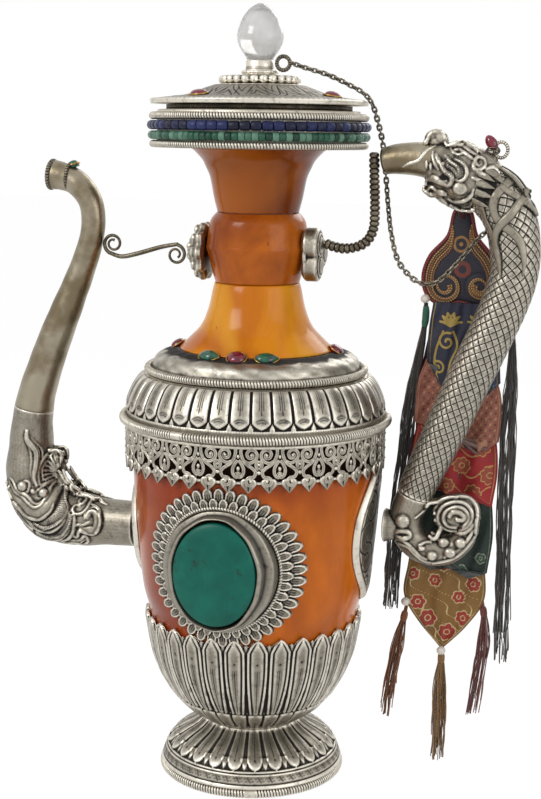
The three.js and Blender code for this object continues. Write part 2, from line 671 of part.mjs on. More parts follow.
function makeSpout() {
  const head = spoutStretch(0, headEnd, 12, 10)
  add('spout_makara_head', cut(head, bellySolid(2 * gap + plaque.thickness)), silver)
  const seam = gap / spoutLength
  add('spout_tube', spoutStretch(headEnd + seam, spoutEnd, 15, 8), silver)
  const out = spoutPath.getTangentAt(spoutEnd)
  const end = spoutPath.getPointAt(spoutEnd).addScaledVector(out, gap + spout.lipWire / 2)
  const lip = new THREE.TorusGeometry(spout.lipRadius - spout.lipWire / 2, spout.lipWire / 2, 4, 14)
  lip.applyQuaternion(new THREE.Quaternion().setFromUnitVectors(point(0, 0, 1), out))
  add('spout_lip_ring', closed(lip.translate(end.x, 0, end.z)), silver)
  const onTop = spoutPath.getPointAt(0.955)
  const gem = cabochon(3.2, 3.2, 2.6).rotateY(radians(-20))
  gem.translate(onTop.x + 2.6, 0, onTop.z + 6.6)
  add('spout_stone', cut(gem, bar(spoutPath, 30, 8, (t) => ramp(spoutRadius, t) + gap)), emerald)
  const leaf = leafPlate(-1, spoutRoot.z, spoutPlaque.width, spoutPlaque.height)
  const hole = new THREE.CylinderGeometry(spout.bore, spout.bore, 40, 12).rotateZ(Math.PI / 2)
  hole.translate(-belly.mid, 0, spoutRoot.z)
  add('spout_root_plaque', cut(leaf, closed(hole)), silver)
}

// A leaf-shaped plate that hugs the belly on the side of +X or -X.
function leafPlate(side, z, width, height) {
  const outline = new THREE.Shape()
  outline.moveTo(0, height / 2)
  outline.bezierCurveTo(width * 0.2, height * 0.36, width / 2, height * 0.25, width / 2, 0)
  outline.bezierCurveTo(width / 2, -height * 0.25, width * 0.2, -height * 0.36, 0, -height / 2)
  outline.bezierCurveTo(-width * 0.2, -height * 0.36, -width / 2, -height * 0.25, -width / 2, 0)
  outline.bezierCurveTo(-width / 2, height * 0.25, -width * 0.2, height * 0.36, 0, height / 2)
  const solid = new THREE.ExtrudeGeometry(outline, { depth: 60, bevelEnabled: false, curveSegments: 4 })
  solid.rotateX(Math.PI / 2).translate(0, 90, z).rotateZ(-side * Math.PI / 2)
  return common(bellyLayer(gap, gap + plaque.thickness), closed(solid))
}

// Handle

// Outlines of the handle and the pendant are drawn for a handle that is rooted at this height.
const drawnRoot = 131
const raise = ([x, z]) => [x, z - drawnRoot + handleRoot.z]

const bodyPath = planeCurve([
  [105, 298.6], [112.4, 293.4], [118.6, 286.4], [122.6, 277], [124.3, 265], [123.9, 255],
  [121, 244], [115.9, 230.5],
  [109.6, 216], [103.4, 201.5], [97.6, 187.4], [91.4, 173], [85.4, 159.5], [80.4, 147.4],
].map(raise))
const bodyRadius = [11, 12, 12, 11.6, 11, 10.8, 10.6, 10.6, 10.4, 10.2, 10, 9.6, 9.2, 8.6]

const headPath = planeCurve([
  [109.4, 295.4], [104, 299], [98, 301.6], [91, 304], [85, 306.6], [80.6, 307.8],
].map(raise))
const headRadius = [12.8, 14.6, 14.4, 12.6, 10.4, 7.6]
const headSolid = (extra) => bar(headPath, 9, 12, (t) => ramp(headRadius, t) + extra, () => 0.84)
const bodySolid = (extra) => bar(bodyPath, 18, 10, (t) => ramp(bodyRadius, t) + extra)
const tailPath = planeCurve([
  [80.2, 146.8], [77, 137], [78.6, 126.4], [86, 120.4], [96, 120], [104, 125.4],
  [106.6, 133.4], [103.6, 140.4], [97.6, 141.6], [94.4, 136.6], [97.6, 132.8],
].map(raise))
const tailRadius = [8.4, 8.2, 7.8, 7.4, 7.2, 6.6, 5.8, 5, 4.2, 3.4, 2.6]
const tailSolid = (extra) => bar(tailPath, 22, 8, (t) => ramp(tailRadius, t) + extra)
const snoutPath = planeCurve([[88, 306.8], [80.2, 307.9], [74, 308.2], [67, 307.9], [60.2, 306.6]].map(raise))

// A flat strap that lies on the dragon's neck and winds round it.
function strap(from, to, angleFrom, angleTo, width, thickness, steps) {
  const frames = bodyPath.computeFrenetFrames(100, false)
  const on = (s, lift) => {
    const t = from + (to - from) * s
    const k = Math.round(t * 100)
    const angle = angleFrom + (angleTo - angleFrom) * s
    const p = bodyPath.getPointAt(t)
    const r = ramp(bodyRadius, t) + 0.2 + gap + lift
    p.addScaledVector(frames.normals[k], r * Math.cos(angle))
    return p.addScaledVector(frames.binormals[k], r * Math.sin(angle))
  }
  const rings = []
  for (let i = 0; i <= steps; i += 1) {
    const s = i / steps
    const p = on(s, 0)
    const out = on(s, 1).sub(p).normalize()
    const along = on(Math.min(s + 0.02, 1), 0).sub(on(Math.max(s - 0.02, 0), 0)).normalize()
    const across = along.cross(out).normalize()
    const half = width / 2 * Math.sqrt(Math.sin(Math.PI * (0.04 + 0.92 * s)))
    const corner = (w, h) => p.clone().addScaledVector(across, w * half).addScaledVector(out, h * thickness)
    rings.push([corner(-1, 0), corner(1, 0), corner(0.8, 1), corner(-0.8, 1)])
  }
  return skin(rings)
}

function makeHandle() {
  add('dragon_body', cut(bodySolid(0), headSolid(gap)), silver)
  add('tail_scroll', tailSolid(0), silver)
  add('dragon_head', headSolid(0), silver)
  const snout = bar(snoutPath, 6, 10, (t) => ramp([8.6, 8.2, 7.6, 7, 6], t))
  add('handle_snout_tube', cut(snout, headSolid(gap)), silver)
  const straps = [
    strap(0.14, 0.42, -0.6, 3.6, 4.6, 1.5, 9), strap(0.14, 0.42, 1.1, -3.1, 4.6, 1.5, 9),
    strap(0.1, 0.33, 2.4, 5.6, 4.2, 1.5, 8),
  ]
  add('mane_straps', cut(fuse(...straps), bodySolid(gap), headSolid(gap)), silver)
  const crown = bodyPath.getPointAt(0.03)
  const gem = cabochon(4, 4, 7).translate(crown.x + 1, 0, crown.z + 11)
  const neckTop = [bodySolid(gap), headSolid(gap)]
  add('crown_stone', cut(gem, ...neckTop), ruby)
  const crownRing = new THREE.TorusGeometry(4.4, 1.2, 4, 14).rotateX(Math.PI / 2)
  crownRing.translate(crown.x + 11.4, 0, crown.z + 11)
  add('crown_ring', cut(closed(crownRing), ...neckTop), silver)
  const { boss, bossFoot, bossLength } = handleRoot
  const stub = new THREE.CylinderGeometry(boss, bossFoot, bossLength, 12).rotateZ(-Math.PI / 2)
  stub.translate(belly.mid + bossLength / 2 - 1, 0, handleRoot.z + 1)
  const leaf = fuse(leafPlate(1, handleRoot.z - 3, plaque.width, plaque.height), closed(stub))
  add('handle_root_plaque', cut(leaf, tailSolid(gap), bellySolid(gap)), silver)
}

// Neck medallions, brace and bead strut

const braceLevel = neckBeadBase + neckBead.height * 0.42
const flowerRoot = 3 // how far a medallion reaches round the neck bead

function makeNeckFittings() {
  const side = neckBeadShape.map(([r, z]) => [r + gap, z])
  const seat = revolve([[0, neckBeadBase - 5], ...side, [0, trumpetBase + 5]], roundNeck)
  for (const [way, size, name] of [[-1, leftFlower, 'left'], [1, rightFlower, 'right']]) {
    const depth = size.stand + flowerRoot
    const outline = [
      [0, 0], [size.radius, 0], [size.radius, depth - 4], [size.radius * 0.72, depth - 1.4],
      [size.radius * 0.3, depth], [0, depth],
    ]
    const lobes = (angle, z, r) => (r > size.radius - 1 ? 0.7 * Math.cos(8 * angle) : 0)
    const disc = carve(outline, 16, lobes)
    disc.rotateY(way * Math.PI / 2).translate(way * (neckBead.ridge - flowerRoot), 0, braceLevel)
    add(`neck_medallion_${name}`, cut(disc, seat), silver)
  }
}

// Where the spout's near side is, at a height.
function spoutEdgeAt(z) {
  let best = 1
  for (let i = 50; i <= 95; i += 1) {
    const t = i / 100
    if (Math.abs(spoutPath.getPointAt(t).z - z) < Math.abs(spoutPath.getPointAt(best).z - z)) best = t
  }
  return spoutPath.getPointAt(best).x + ramp(spoutRadius, best)
}

function makeBrace() {
  // A spiral about [0, 0] that winds in, and the place that it gets beside what it touches.
  const wound = (from, turns, least) => Array.from({ length: 17 }, (_, i) => {
    const angle = radians(from) + turns * 2 * Math.PI * i / 16
    const r = brace.coil + (least - brace.coil) * i / 16
    return [r * Math.cos(angle), r * Math.sin(angle)]
  })
  const seated = (spiral, side, edge, z) => {
    const reach = Math.max(...spiral.map(([x]) => -side * x)) + brace.wire / 2 + gap
    return spiral.map(([x, height]) => [edge + side * reach + x, z + height])
  }
  const left = seated(wound(250, -1.5, 1.8), 1, spoutEdgeAt(braceLevel + 2), braceLevel + 2)
  const right = seated(wound(90, -1.4, 1.7), -1, -neckBead.ridge - leftFlower.stand, braceLevel - 2.4)
  const [from, to] = [left[0], right[0]]
  const between = [[from[0] + 6, from[1] - 1.6], [from[0] + 14, from[1]], [to[0] - 8, to[1] - 1.6]]
  const wire = bar(planeCurve([...left.reverse(), ...between, ...right]), 38, 4, () => brace.wire / 2)
  const spoutSeat = bar(spoutPath, 30, 8, (t) => ramp(spoutRadius, t) + gap)
  add('spout_brace', cut(wire, spoutSeat), silver)
}

function makeStrut() {
  const path = planeCurve([
    [neckBead.ridge + rightFlower.stand + gap, braceLevel + 5.6], [37.6, braceLevel + 4.2],
    [43.3, braceLevel + 3.4], [49.6, braceLevel + 4.6], [54.4, braceLevel + 7.8],
    [57, braceLevel + 13.6], [57.4, braceLevel + 21],
    [57.2, braceLevel + 29], [56.8, braceLevel + 37], [56.4, braceLevel + 49],
  ])
  const steps = strut.beads * 2
  const radius = (t) => (Math.round(t * steps) % 2 ? strut.bead / 2 : strut.wire / 2)
  add('bead_strut', bar(path, steps, 4, radius), silver)
}

function makeChain() {
  const start = [lidRingCentre.x + lidRing.radius + lidRing.wire / 2 + gap, 0, lidRingCentre.z]
  const top = start[2] - 1.6
  const route = [
    start, [20.4, -0.6, top], [26, -1, top - 1.6], [34, -1, top - 4], [43, -1, top - 8],
    [50.4, -0.6, top - 12], [54.6, 1, top - 17], [57, 5, top - 26], [58.6, 9.6, top - 36],
    [60.2, 10.4, top - 50], [62, 8.6, top - 64],
    [64.6, 4.6, top - 77], [68.6, 0.6, top - 89], [74.4, -1.8, top - 96], [81, -3, top - 100],
    [88, -3.2, top - 99.4], [95, -3.2, top - 93], [101, -3, top - 86], [107.4, -2.6, top - 78],
    [113, -2.6, top - 74],
  ].map(([x, y, z]) => point(x, y, z))
  const links = bar(new THREE.CatmullRomCurve3(route, false, 'centripetal'), 27, 6, () => chain.wire / 2)
  add('lid_chain', cut(links, bodySolid(gap), headSolid(gap)), silver)
}

// Pendant

const pendantBack = 14.2 // front face of the cap, behind the handle
const capDepth = 6
const panel = { front: pendantBack + 0.6, depth: 3.4, cloth: 1.7, folds: 5 }
const tasselDepth = 3.6
const tasselGap = 0.7 // between a tassel and what it swings under

// A plate of an outline in the XZ plane, its edges chamfered.
function outlinePlate(points, from, thickness, bevel = 0) {
  const shape = new THREE.Shape(points.map(([x, z]) => new THREE.Vector2(x, z)))
  const edge = { bevelEnabled: bevel > 0, bevelThickness: bevel, bevelSize: bevel, bevelOffset: -bevel }
  const solid = new THREE.ExtrudeGeometry(shape, { depth: thickness - 2 * bevel, bevelSegments: 1, ...edge })
  return closed(solid.rotateX(Math.PI / 2).translate(0, from + thickness - bevel, 0))
}

// The same plate, grown on every side for a tassel that swings under it, as a cutter.
function plateSeat(points, from, thickness) {
  const shape = new THREE.Shape(points.map(([x, z]) => new THREE.Vector2(x, z)))
  const settings = { depth: thickness, bevelThickness: tasselGap, bevelSize: tasselGap, bevelSegments: 1 }
  const solid = new THREE.ExtrudeGeometry(shape, settings)
  return closed(solid.rotateX(Math.PI / 2).translate(0, from + thickness, 0))
}

// The two edges of the hanging cloth, as [x, z] from its top to its tip.
const clothLeft = [[84.4, 238], [76.6, 190.5], [72.4, 165.1], [73.8, 88.5], [93, 66.2]]
const clothRight = [[109.4, 238], [116, 207.6], [117.6, 153.1], [114.1, 88.5], [94.6, 66.2]]

// Across an edge of the cloth at a height.
function edgeAt(edge, z) {
  return radiusAt([...edge].reverse(), z)
}

// The hanging cloth: one sheet, with folds that run down it and open towards its lower end.
function foldedCloth() {
  const rows = 10
  const pointed = 2 // rows below the lower corners
  const columns = 10
  const middle = panel.front + panel.depth / 2
  const [top, corner, low] = [clothLeft[0][1], clothLeft[3][1], clothLeft[4][1]]
  const straight = rows - pointed
  const rings = []
  for (let i = 0; i <= rows; i += 1) {
    const under = Math.max(0, i - straight) / pointed
    const z = top + (corner - top) * Math.min(1, i / straight) + (low - corner) * under
    const [left, right] = [edgeAt(clothLeft, z), edgeAt(clothRight, z)]
    const swing = (panel.depth - panel.cloth) / 2 * Math.min(1, 0.2 + i / rows * 1.6) * (1 - under)
    const side = (back) => Array.from({ length: columns + 1 }, (_, j) => {
      const s = j / columns
      const y = middle + back * panel.cloth / 2 + swing * Math.sin(panel.folds * Math.PI * s + i / rows)
      return point(left + (right - left) * s, y, z)
    })
    rings.push([...side(-1), ...side(1).reverse()])
  }
  return skin(rings)
}

function makePendant() {
  const pendant = new THREE.Group()
  pendant.position.z = handleRoot.z - drawnRoot
  kettle.add(pendant)
  const cap = [
    [93.6, 284], [100.4, 284], [104, 272], [112, 262], [115.4, 252], [113, 243], [106, 238.6], [97, 240],
    [88, 238.6], [81, 243], [78.8, 252], [82, 262], [90.4, 271.9],
  ]
  const capBody = outlinePlate(cap, pendantBack, capDepth, 1.4)
  const tab = closed(new THREE.BoxGeometry(4, 8, 14).translate(97, pendantBack - 0.6, 286))
  add('brocade_cap', cut(fuse(capBody, tab), headSolid(gap)), capCloth, pendant)
  add('brocade_panels', foldedCloth(), panelCloth, pendant)
  const cloth = [...clothLeft, ...[...clothRight].reverse()]
  const seats = [plateSeat(cap, pendantBack, capDepth), plateSeat(cloth, panel.front, panel.depth)]
  const tassels = [
    ['tassel_upper_left', 8, darkThread, [[82, 243], [77, 231], [70.8, 196], [67, 168], [66.6, 96]]],
    ['tassel_upper_right', 8, darkThread, [[111.6, 246], [118, 232], [122.6, 204], [123.4, 160], [123, 62]]],
    ['tassel_lower_left', 7, goldThread, [[75, 91], [71.6, 76], [68.6, 56], [65.8, 25.8]]],
    ['tassel_centre', 9, goldThread, [[93.8, 69], [93.9, 54], [93.8, 36], [93.8, 6]]],
    ['tassel_lower_right', 7, goldThread, [[113, 92], [115, 76], [113, 56], [110.2, 32.6]]],
  ]
  for (const [name, width, material, points] of tassels) {
    const path = planeCurve(points, pendantBack + 2.3)
    const thick = (t) => tasselDepth / 2 * ramp([0.7, 0.8, 1, 1, 1], t)
    const flat = (t) => width / tasselDepth * ramp([0.5, 0.6, 0.9, 1, 0.9], t)
    add(name, cut(bar(path, 8, 6, thick, flat), ...seats), material, pendant)
  }
}

makeFoot()
makeBelly()
makeCup()
makeGallery()
makeShoulder()
makeNeck()
makeMouth()
makeLid()
makeMedallion()
makeShoulderStones()
makeSpout()
makeHandle()
makeNeckFittings()
makeBrace()
makeStrut()
makeChain()
makePendant()

export default kettle
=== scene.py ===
# Ritual kettle of silver and amber: its looks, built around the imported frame.
# Sizes are millimetres until a mesh is written. The spout points to -X and the medallion to -Y.
import math

import bpy
import numpy as np
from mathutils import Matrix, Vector
from mathutils.bvhtree import BVHTree


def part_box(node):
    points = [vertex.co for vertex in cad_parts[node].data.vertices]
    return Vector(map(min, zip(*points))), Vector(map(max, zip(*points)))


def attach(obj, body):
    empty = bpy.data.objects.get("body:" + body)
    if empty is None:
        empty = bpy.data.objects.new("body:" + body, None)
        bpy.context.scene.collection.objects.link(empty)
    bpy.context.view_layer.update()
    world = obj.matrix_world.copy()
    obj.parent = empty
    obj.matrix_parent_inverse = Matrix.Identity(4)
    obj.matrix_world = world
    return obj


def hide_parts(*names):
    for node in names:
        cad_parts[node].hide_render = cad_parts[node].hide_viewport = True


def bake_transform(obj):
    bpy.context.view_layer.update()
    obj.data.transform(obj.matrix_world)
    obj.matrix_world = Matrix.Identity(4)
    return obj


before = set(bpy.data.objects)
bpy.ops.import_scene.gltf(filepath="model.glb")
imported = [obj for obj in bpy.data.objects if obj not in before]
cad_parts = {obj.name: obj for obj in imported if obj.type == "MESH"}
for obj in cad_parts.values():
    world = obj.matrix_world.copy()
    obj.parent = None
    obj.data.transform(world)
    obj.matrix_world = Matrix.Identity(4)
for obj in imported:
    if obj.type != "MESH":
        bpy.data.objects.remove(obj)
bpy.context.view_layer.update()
mm = 0.001
turn = 2 * math.pi


# Places in the frame, in millimetres

def low(node):
    return np.array(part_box(node)[0]) / mm


def high(node):
    return np.array(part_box(node)[1]) / mm


def middle(node):
    return (low(node) + high(node)) / 2


def reach(node):
    return (high(node)[0] - low(node)[0]) / 2


# Sums on whole arrays

def rise(start, end, x):
    t = np.clip((np.asarray(x, float) - start) / (end - start), 0, 1)
    return t * t * (3 - 2 * t)


def ridge(x, width):
    return np.exp(-(np.asarray(x) / width) ** 2)


def fold(x):
    return x - np.round(x)


def smoothLine(points, count, closed=False):
    # a rounded curve through a few points, at even steps
    p = np.array(points, float)
    if closed:
        p = np.vstack([p[-1], p, p[:2]])
    else:
        p = np.vstack([2 * p[0] - p[1], p, 2 * p[-1] - p[-2]])
    fine = []
    for i in range(1, len(p) - 2):
        t = np.linspace(0, 1, 16, endpoint=False)[:, None]
        a, b, c, d = p[i - 1], p[i], p[i + 1], p[i + 2]
        fine.append(0.5 * (2 * b + (c - a) * t + (2 * a - 5 * b + 4 * c - d) * t ** 2
                           + (3 * b - a - 3 * c + d) * t ** 3))
    line = np.vstack(fine + [p[-2][None]])
    far = np.concatenate([[0], np.cumsum(np.linalg.norm(np.diff(line, axis=0), axis=1))])
    places = np.linspace(0, far[-1], count, endpoint=not closed)
    return np.stack([np.interp(places, far, line[:, k]) for k in range(p.shape[1])], 1)


def between(values, t):
    return np.interp(t, np.linspace(0, 1, len(values)), values)


def unit(rows):
    return rows / np.linalg.norm(rows, axis=-1)[..., None]


def lengthOf(line):
    return np.linalg.norm(np.diff(line, axis=0), axis=1).sum()


def roundAngles(count):
    return np.arange(count) / count * turn


# Meshes

def meshFrom(name, points, faces):
    data = bpy.data.meshes.new(name)
    rows = faces if isinstance(faces, list) else faces.tolist()
    data.from_pydata((np.asarray(points) * mm).tolist(), [], rows)
    data.validate()
    return data


def volumeOf(points, faces):
    total = 0.0
    for size in (3, 4):
        some = np.array([f for f in faces if len(f) == size])
        for k in range(2, size):
            if len(some):
                a, b, c = points[some[:, 0]], points[some[:, k - 1]], points[some[:, k]]
                total += np.einsum("ij,ij->", a, np.cross(b, c))
    return total


def skin(rings, loopAlong=False):
    # faces over rings of points; open ends get a cap with one point in the middle
    rings = np.asarray(rings, float)
    count, sides = rings.shape[:2]
    points = rings.reshape(-1, 3)
    index = np.arange(count * sides).reshape(count, sides)
    if loopAlong:
        index = np.vstack([index, index[:1]])
    a, b = index[:-1], index[1:]
    quads = np.stack([a, np.roll(a, -1, 1), np.roll(b, -1, 1), b], -1).reshape(-1, 4)
    faces = quads.tolist()
    if not loopAlong:
        first, last = len(points), len(points) + 1
        points = np.vstack([points, rings[0].mean(0), rings[-1].mean(0)])
        for j in range(sides):
            k = (j + 1) % sides
            faces.append([first, int(index[0][k]), int(index[0][j])])
            faces.append([last, int(index[-1][j]), int(index[-1][k])])
    if volumeOf(points, faces) < 0:
        faces = [f[::-1] for f in faces]
    return points, faces


def joined(parts):
    points, faces, start = [], [], 0
    for p, f in parts:
        points.append(p)
        faces += [[i + start for i in face] for face in f]
        start += len(p)
    return np.vstack(points), faces


def tube(path, radius, sides=8, flat=1.0, turned=0.0, loop=False, up=(0, 1, 0)):
    # a bar along a path; flat squeezes it across the side vector
    path = np.asarray(path, float)
    count = len(path)
    ahead = np.gradient(path, axis=0)
    if loop:
        ahead = np.roll(path, -1, 0) - np.roll(path, 1, 0)
    ahead /= np.linalg.norm(ahead, axis=1)[:, None] + 1e-9
    side = np.cross(ahead, np.array(up, float))
    side /= np.linalg.norm(side, axis=1)[:, None] + 1e-9
    for i in range(1, count):
        if side[i] @ side[i - 1] < 0:
            side[i] = -side[i]
    over = np.cross(side, ahead)
    # the radius may be one number, one for each point of the path, or one for each side as well
    radius = np.asarray(radius, float)
    radius = radius[:, None] if radius.ndim == 1 else radius
    radius = np.broadcast_to(radius, (count, sides))
    angle = np.arange(sides) / sides * turn + turned
    ring = (path[:, None] + radius[:, :, None] * (np.cos(angle)[None, :, None] * side[:, None]
            + flat * np.sin(angle)[None, :, None] * over[:, None]))
    return skin(ring, loop)


def ball(centre, size, facets=12):
    # an ellipsoid from rings between its two ends
    v = np.linspace(0, math.pi, facets // 2 + 1)[1:-1]
    u = roundAngles(facets)
    ring = np.stack([np.sin(v)[:, None] * np.cos(u), np.sin(v)[:, None] * np.sin(u),
                     np.repeat(np.cos(v)[:, None], facets, 1)], -1)
    points, faces = skin(ring * np.array(size) + np.array(centre))
    points[-2] = np.array(centre) + (0, 0, size[2])
    points[-1] = np.array(centre) - (0, 0, size[2])
    return points, faces


def revolve(outline, sides):
    outline = np.asarray(outline, float)
    u = roundAngles(sides)
    onAxis = outline[:, 0] < 1e-6
    rings = np.stack([outline[:, :1] * np.cos(u), outline[:, :1] * np.sin(u),
                      np.repeat(outline[:, 1:], sides, 1)], -1)
    if onAxis[0] and onAxis[-1]:
        points, faces = skin(rings[1:-1])
        points[-2] = (0, 0, outline[0, 1])
        points[-1] = (0, 0, outline[-1, 1])
        return points, faces
    return skin(rings, True)


def neighbours(data):
    edges = np.zeros(len(data.edges) * 2, np.int32)
    data.edges.foreach_get("vertices", edges)
    edges = edges.reshape(-1, 2)
    count = len(data.vertices)
    degree = np.bincount(edges.ravel(), minlength=count).astype(float)
    return edges, np.maximum(degree, 1)[:, None], count


def vectors(data, what):
    flat = np.zeros(len(data.vertices) * 3, np.float32)
    data.vertices.foreach_get(what, flat)
    return flat.reshape(-1, 3).astype(float)


def settle(values, edges, degree, count):
    total = np.zeros((count, values.shape[1]))
    for k in range(values.shape[1]):
        total[:, k] = (np.bincount(edges[:, 0], values[edges[:, 1], k], count)
                       + np.bincount(edges[:, 1], values[edges[:, 0], k], count))
    return total / degree


def setAttribute(data, name, values):
    made = data.attributes.get(name) or data.attributes.new(name, "FLOAT", "POINT")
    made.data.foreach_set("value", np.asarray(values, np.float32))


def markHollows(data, rounds=10):
    # how deep each point lies under its surroundings, in millimetres: tarnish and painted shade go there
    edges, degree, count = neighbours(data)
    start = vectors(data, "co") / mm
    calm = start
    for _ in range(rounds):
        calm = settle(calm, edges, degree, count)
    normal = vectors(data, "normal")
    setAttribute(data, "hollow", np.einsum("ij,ij->i", calm - start, normal))


def linked(name, data):
    made = bpy.data.objects.new(name, data)
    bpy.context.scene.collection.objects.link(made)
    return made


def finished(name, holder, *helpers):
    # the mesh that the holder's modifiers make; the holder and its helpers are taken away
    bpy.context.view_layer.update()
    graph = bpy.context.evaluated_depsgraph_get()
    result = bpy.data.meshes.new_from_object(holder.evaluated_get(graph), depsgraph=graph)
    result.name = name
    for made in (holder, *helpers):
        bpy.data.objects.remove(made)
    return result


def place(name, data, material, body, slotName, nodes=(), smooth=True, hollows=10):
    # puts a finished mesh in the scene, on its body
    if hollows:
        markHollows(data, hollows)
    if smooth:
        data.polygons.foreach_set("use_smooth", [True] * len(data.polygons))
    data.materials.clear()
    data.materials.append(material)
    piece = linked(name, data)
    if body:
        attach(piece, body)
    if nodes:
        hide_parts(*nodes)
    return piece


# Node trees

class Wire:
    def __init__(self, tree, socket):
        self.tree = tree
        self.socket = socket

    def work(self, operation, *values):
        return add(self.tree, "ShaderNodeMath", {"operation": operation}, list(values))

    def __add__(self, other):
        return self.work("ADD", self, other)

    def __radd__(self, other):
        return self.work("ADD", other, self)

    def __sub__(self, other):
        return self.work("SUBTRACT", self, other)

    def __rsub__(self, other):
        return self.work("SUBTRACT", other, self)

    def __mul__(self, other):
        return self.work("MULTIPLY", self, other)

    def __rmul__(self, other):
        return self.work("MULTIPLY", other, self)

    def __truediv__(self, other):
        return self.work("DIVIDE", self, other)

    def __rtruediv__(self, other):
        return self.work("DIVIDE", other, self)

    def __pow__(self, other):
        return self.work("POWER", self, other)

    def sine(self):
        return self.work("SINE", self)

    def clamp(self):
        return add(self.tree, "ShaderNodeClamp", {}, [self])

    def step(self, start, end):
        settings = {"interpolation_type": "SMOOTHSTEP"}
        return add(self.tree, "ShaderNodeMapRange", settings, [self, start, end, 0.0, 1.0])


def add(tree, kind, settings, values=(), output=0):
    node = tree.nodes.new(kind)
    for name, value in settings.items():
        if name == "stops":
            ramp = node.color_ramp
            for i, (place, color) in enumerate(value):
                stop = ramp.elements[i] if i < 2 else ramp.elements.new(place)
                stop.position = place
                stop.color = (*color, 1)
        else:
            setattr(node, name, value)
    pairs = values.items() if isinstance(values, dict) else enumerate(values)
    for name, value in pairs:
        if isinstance(value, Wire):
            tree.links.new(value.socket, node.inputs[name])
        elif value is not None:
            node.inputs[name].default_value = value
    return Wire(tree, node.outputs[output]) if len(node.outputs) else node


class Finish:
    # one material, with the few patterns that its colours are made from
    def __init__(self, name):
        self.material = bpy.data.materials.new(name)
        self.material.use_nodes = True
        self.tree = self.material.node_tree
        self.tree.nodes.clear()
        self.place = add(self.tree, "ShaderNodeTexCoord", {}, output=3)

    def add(self, kind, settings, values=(), output=0):
        return add(self.tree, kind, settings, values, output)

    def scaled(self, size):
        return self.add("ShaderNodeMapping", {}, {"Vector": self.place, "Scale": size})

    def noise(self, scale, detail=3.0, rough=0.55, where=None, twist=0.0):
        values = {"Vector": where or self.place, "Scale": scale, "Detail": detail, "Roughness": rough,
                  "Distortion": twist}
        return self.add("ShaderNodeTexNoise", {}, values)

    def cells(self, scale, feature="F1", where=None):
        values = {"Vector": where or self.place, "Scale": scale}
        return self.add("ShaderNodeTexVoronoi", {"feature": feature}, values)

    def attribute(self, name):
        return self.add("ShaderNodeAttribute", {"attribute_name": name}, output=2)

    def axes(self):
        split = self.add("ShaderNodeSeparateXYZ", {}, [self.place])
        outputs = split.socket.node.outputs
        return [Wire(self.tree, outputs[i]) for i in range(3)]

    def mix(self, share, a, b):
        a = (*a, 1) if isinstance(a, tuple) and len(a) == 3 else a
        b = (*b, 1) if isinstance(b, tuple) and len(b) == 3 else b
        return self.add("ShaderNodeMix", {"data_type": "RGBA"}, {0: share, 6: a, 7: b}, 2)

    def ramp(self, value, stops):
        return self.add("ShaderNodeValToRGB", {"stops": stops}, [value])

    def bump(self, height, strength, distance):
        values = {"Strength": strength, "Distance": distance * mm, "Height": height}
        return self.add("ShaderNodeBump", {}, values)

    def finish(self, color, roughness, metallic=0.0, normal=None, **extra):
        values = {"Base Color": (*color, 1) if isinstance(color, tuple) else color,
                  "Roughness": roughness, "Metallic": metallic, "Normal": normal}
        values.update(extra)
        shader = self.add("ShaderNodeBsdfPrincipled", {}, values)
        self.add("ShaderNodeOutputMaterial", {}, [shader])
        return self.material


# Silver

def agedSilver(name, bright=(0.235, 0.212, 0.17), dirt=(0.009, 0.007, 0.006), depth=8.0, tarnish=0.25,
               roughness=0.3, rubbedAndHighlit=5.0):
    f = Finish(name)
    hollow = f.attribute("hollow")
    ink = f.attribute("ink")
    grain = f.noise(900, 4)
    cloud = f.noise(70, 3)
    old = f.noise(330, 5, 0.65).step(0.5, 0.72) * 0.4
    # tarnish and painted shade: darker the deeper a point lies in a hollow; the ink marks and old patches
    # darken it too
    dark = ((hollow * depth + (grain - 0.5) * 0.6 - 0.08).clamp() + ink + old).clamp()
    # wear and a painted highlight: raised ridges are made brighter
    wornAndHighlit = (0 - hollow * rubbedAndHighlit + (grain - 0.5) * 0.6 + (cloud - 0.5) * 0.5).clamp()
    warm = f.mix(cloud.step(0.42, 0.66) * tarnish, bright, (0.13, 0.1, 0.06))
    polishedAndHighlit = f.mix(wornAndHighlit * 0.85, warm, (0.78, 0.735, 0.64))
    # the dirt colour stands for tarnish and painted shade in the hollows
    color = f.mix(dark, polishedAndHighlit, dirt)
    rough = roughness + dark * 0.4 + grain * 0.12 + cloud * 0.08
    dents = f.noise(260, 3)
    normal = f.bump(dents + grain * 0.3, 0.35, 0.25)
    return f.finish(color, rough.clamp(), 1 - dark * 0.6, normal)


def plainSilver(name, bright=(0.34, 0.3, 0.225)):
    # hammered and scratched, for the pieces without ornament
    f = Finish(name)
    hollow = f.attribute("hollow")
    dents = f.noise(150, 2)
    fine = f.noise(1400, 3)
    streak = f.noise(260, 4, where=f.scaled((1, 1, 0.12)))
    stain = f.noise(45, 4)
    # tarnish and painted shade: darker in the hollows; the ink marks and streaks darken it too
    dark = (hollow * 3.0 + f.attribute("ink") + (fine - 0.5) * 0.35 + (streak - 0.53) * 2.2).clamp()
    warm = f.mix(stain.step(0.38, 0.62) * 0.75, bright, (0.13, 0.093, 0.045))
    color = f.mix(dark * 0.8, warm, (0.035, 0.028, 0.02))
    normal = f.bump(dents + fine * 0.08, 0.5, 0.6)
    return f.finish(color, (0.28 + stain * 0.14 + dark * 0.3).clamp(), 1 - dark * 0.4, normal)


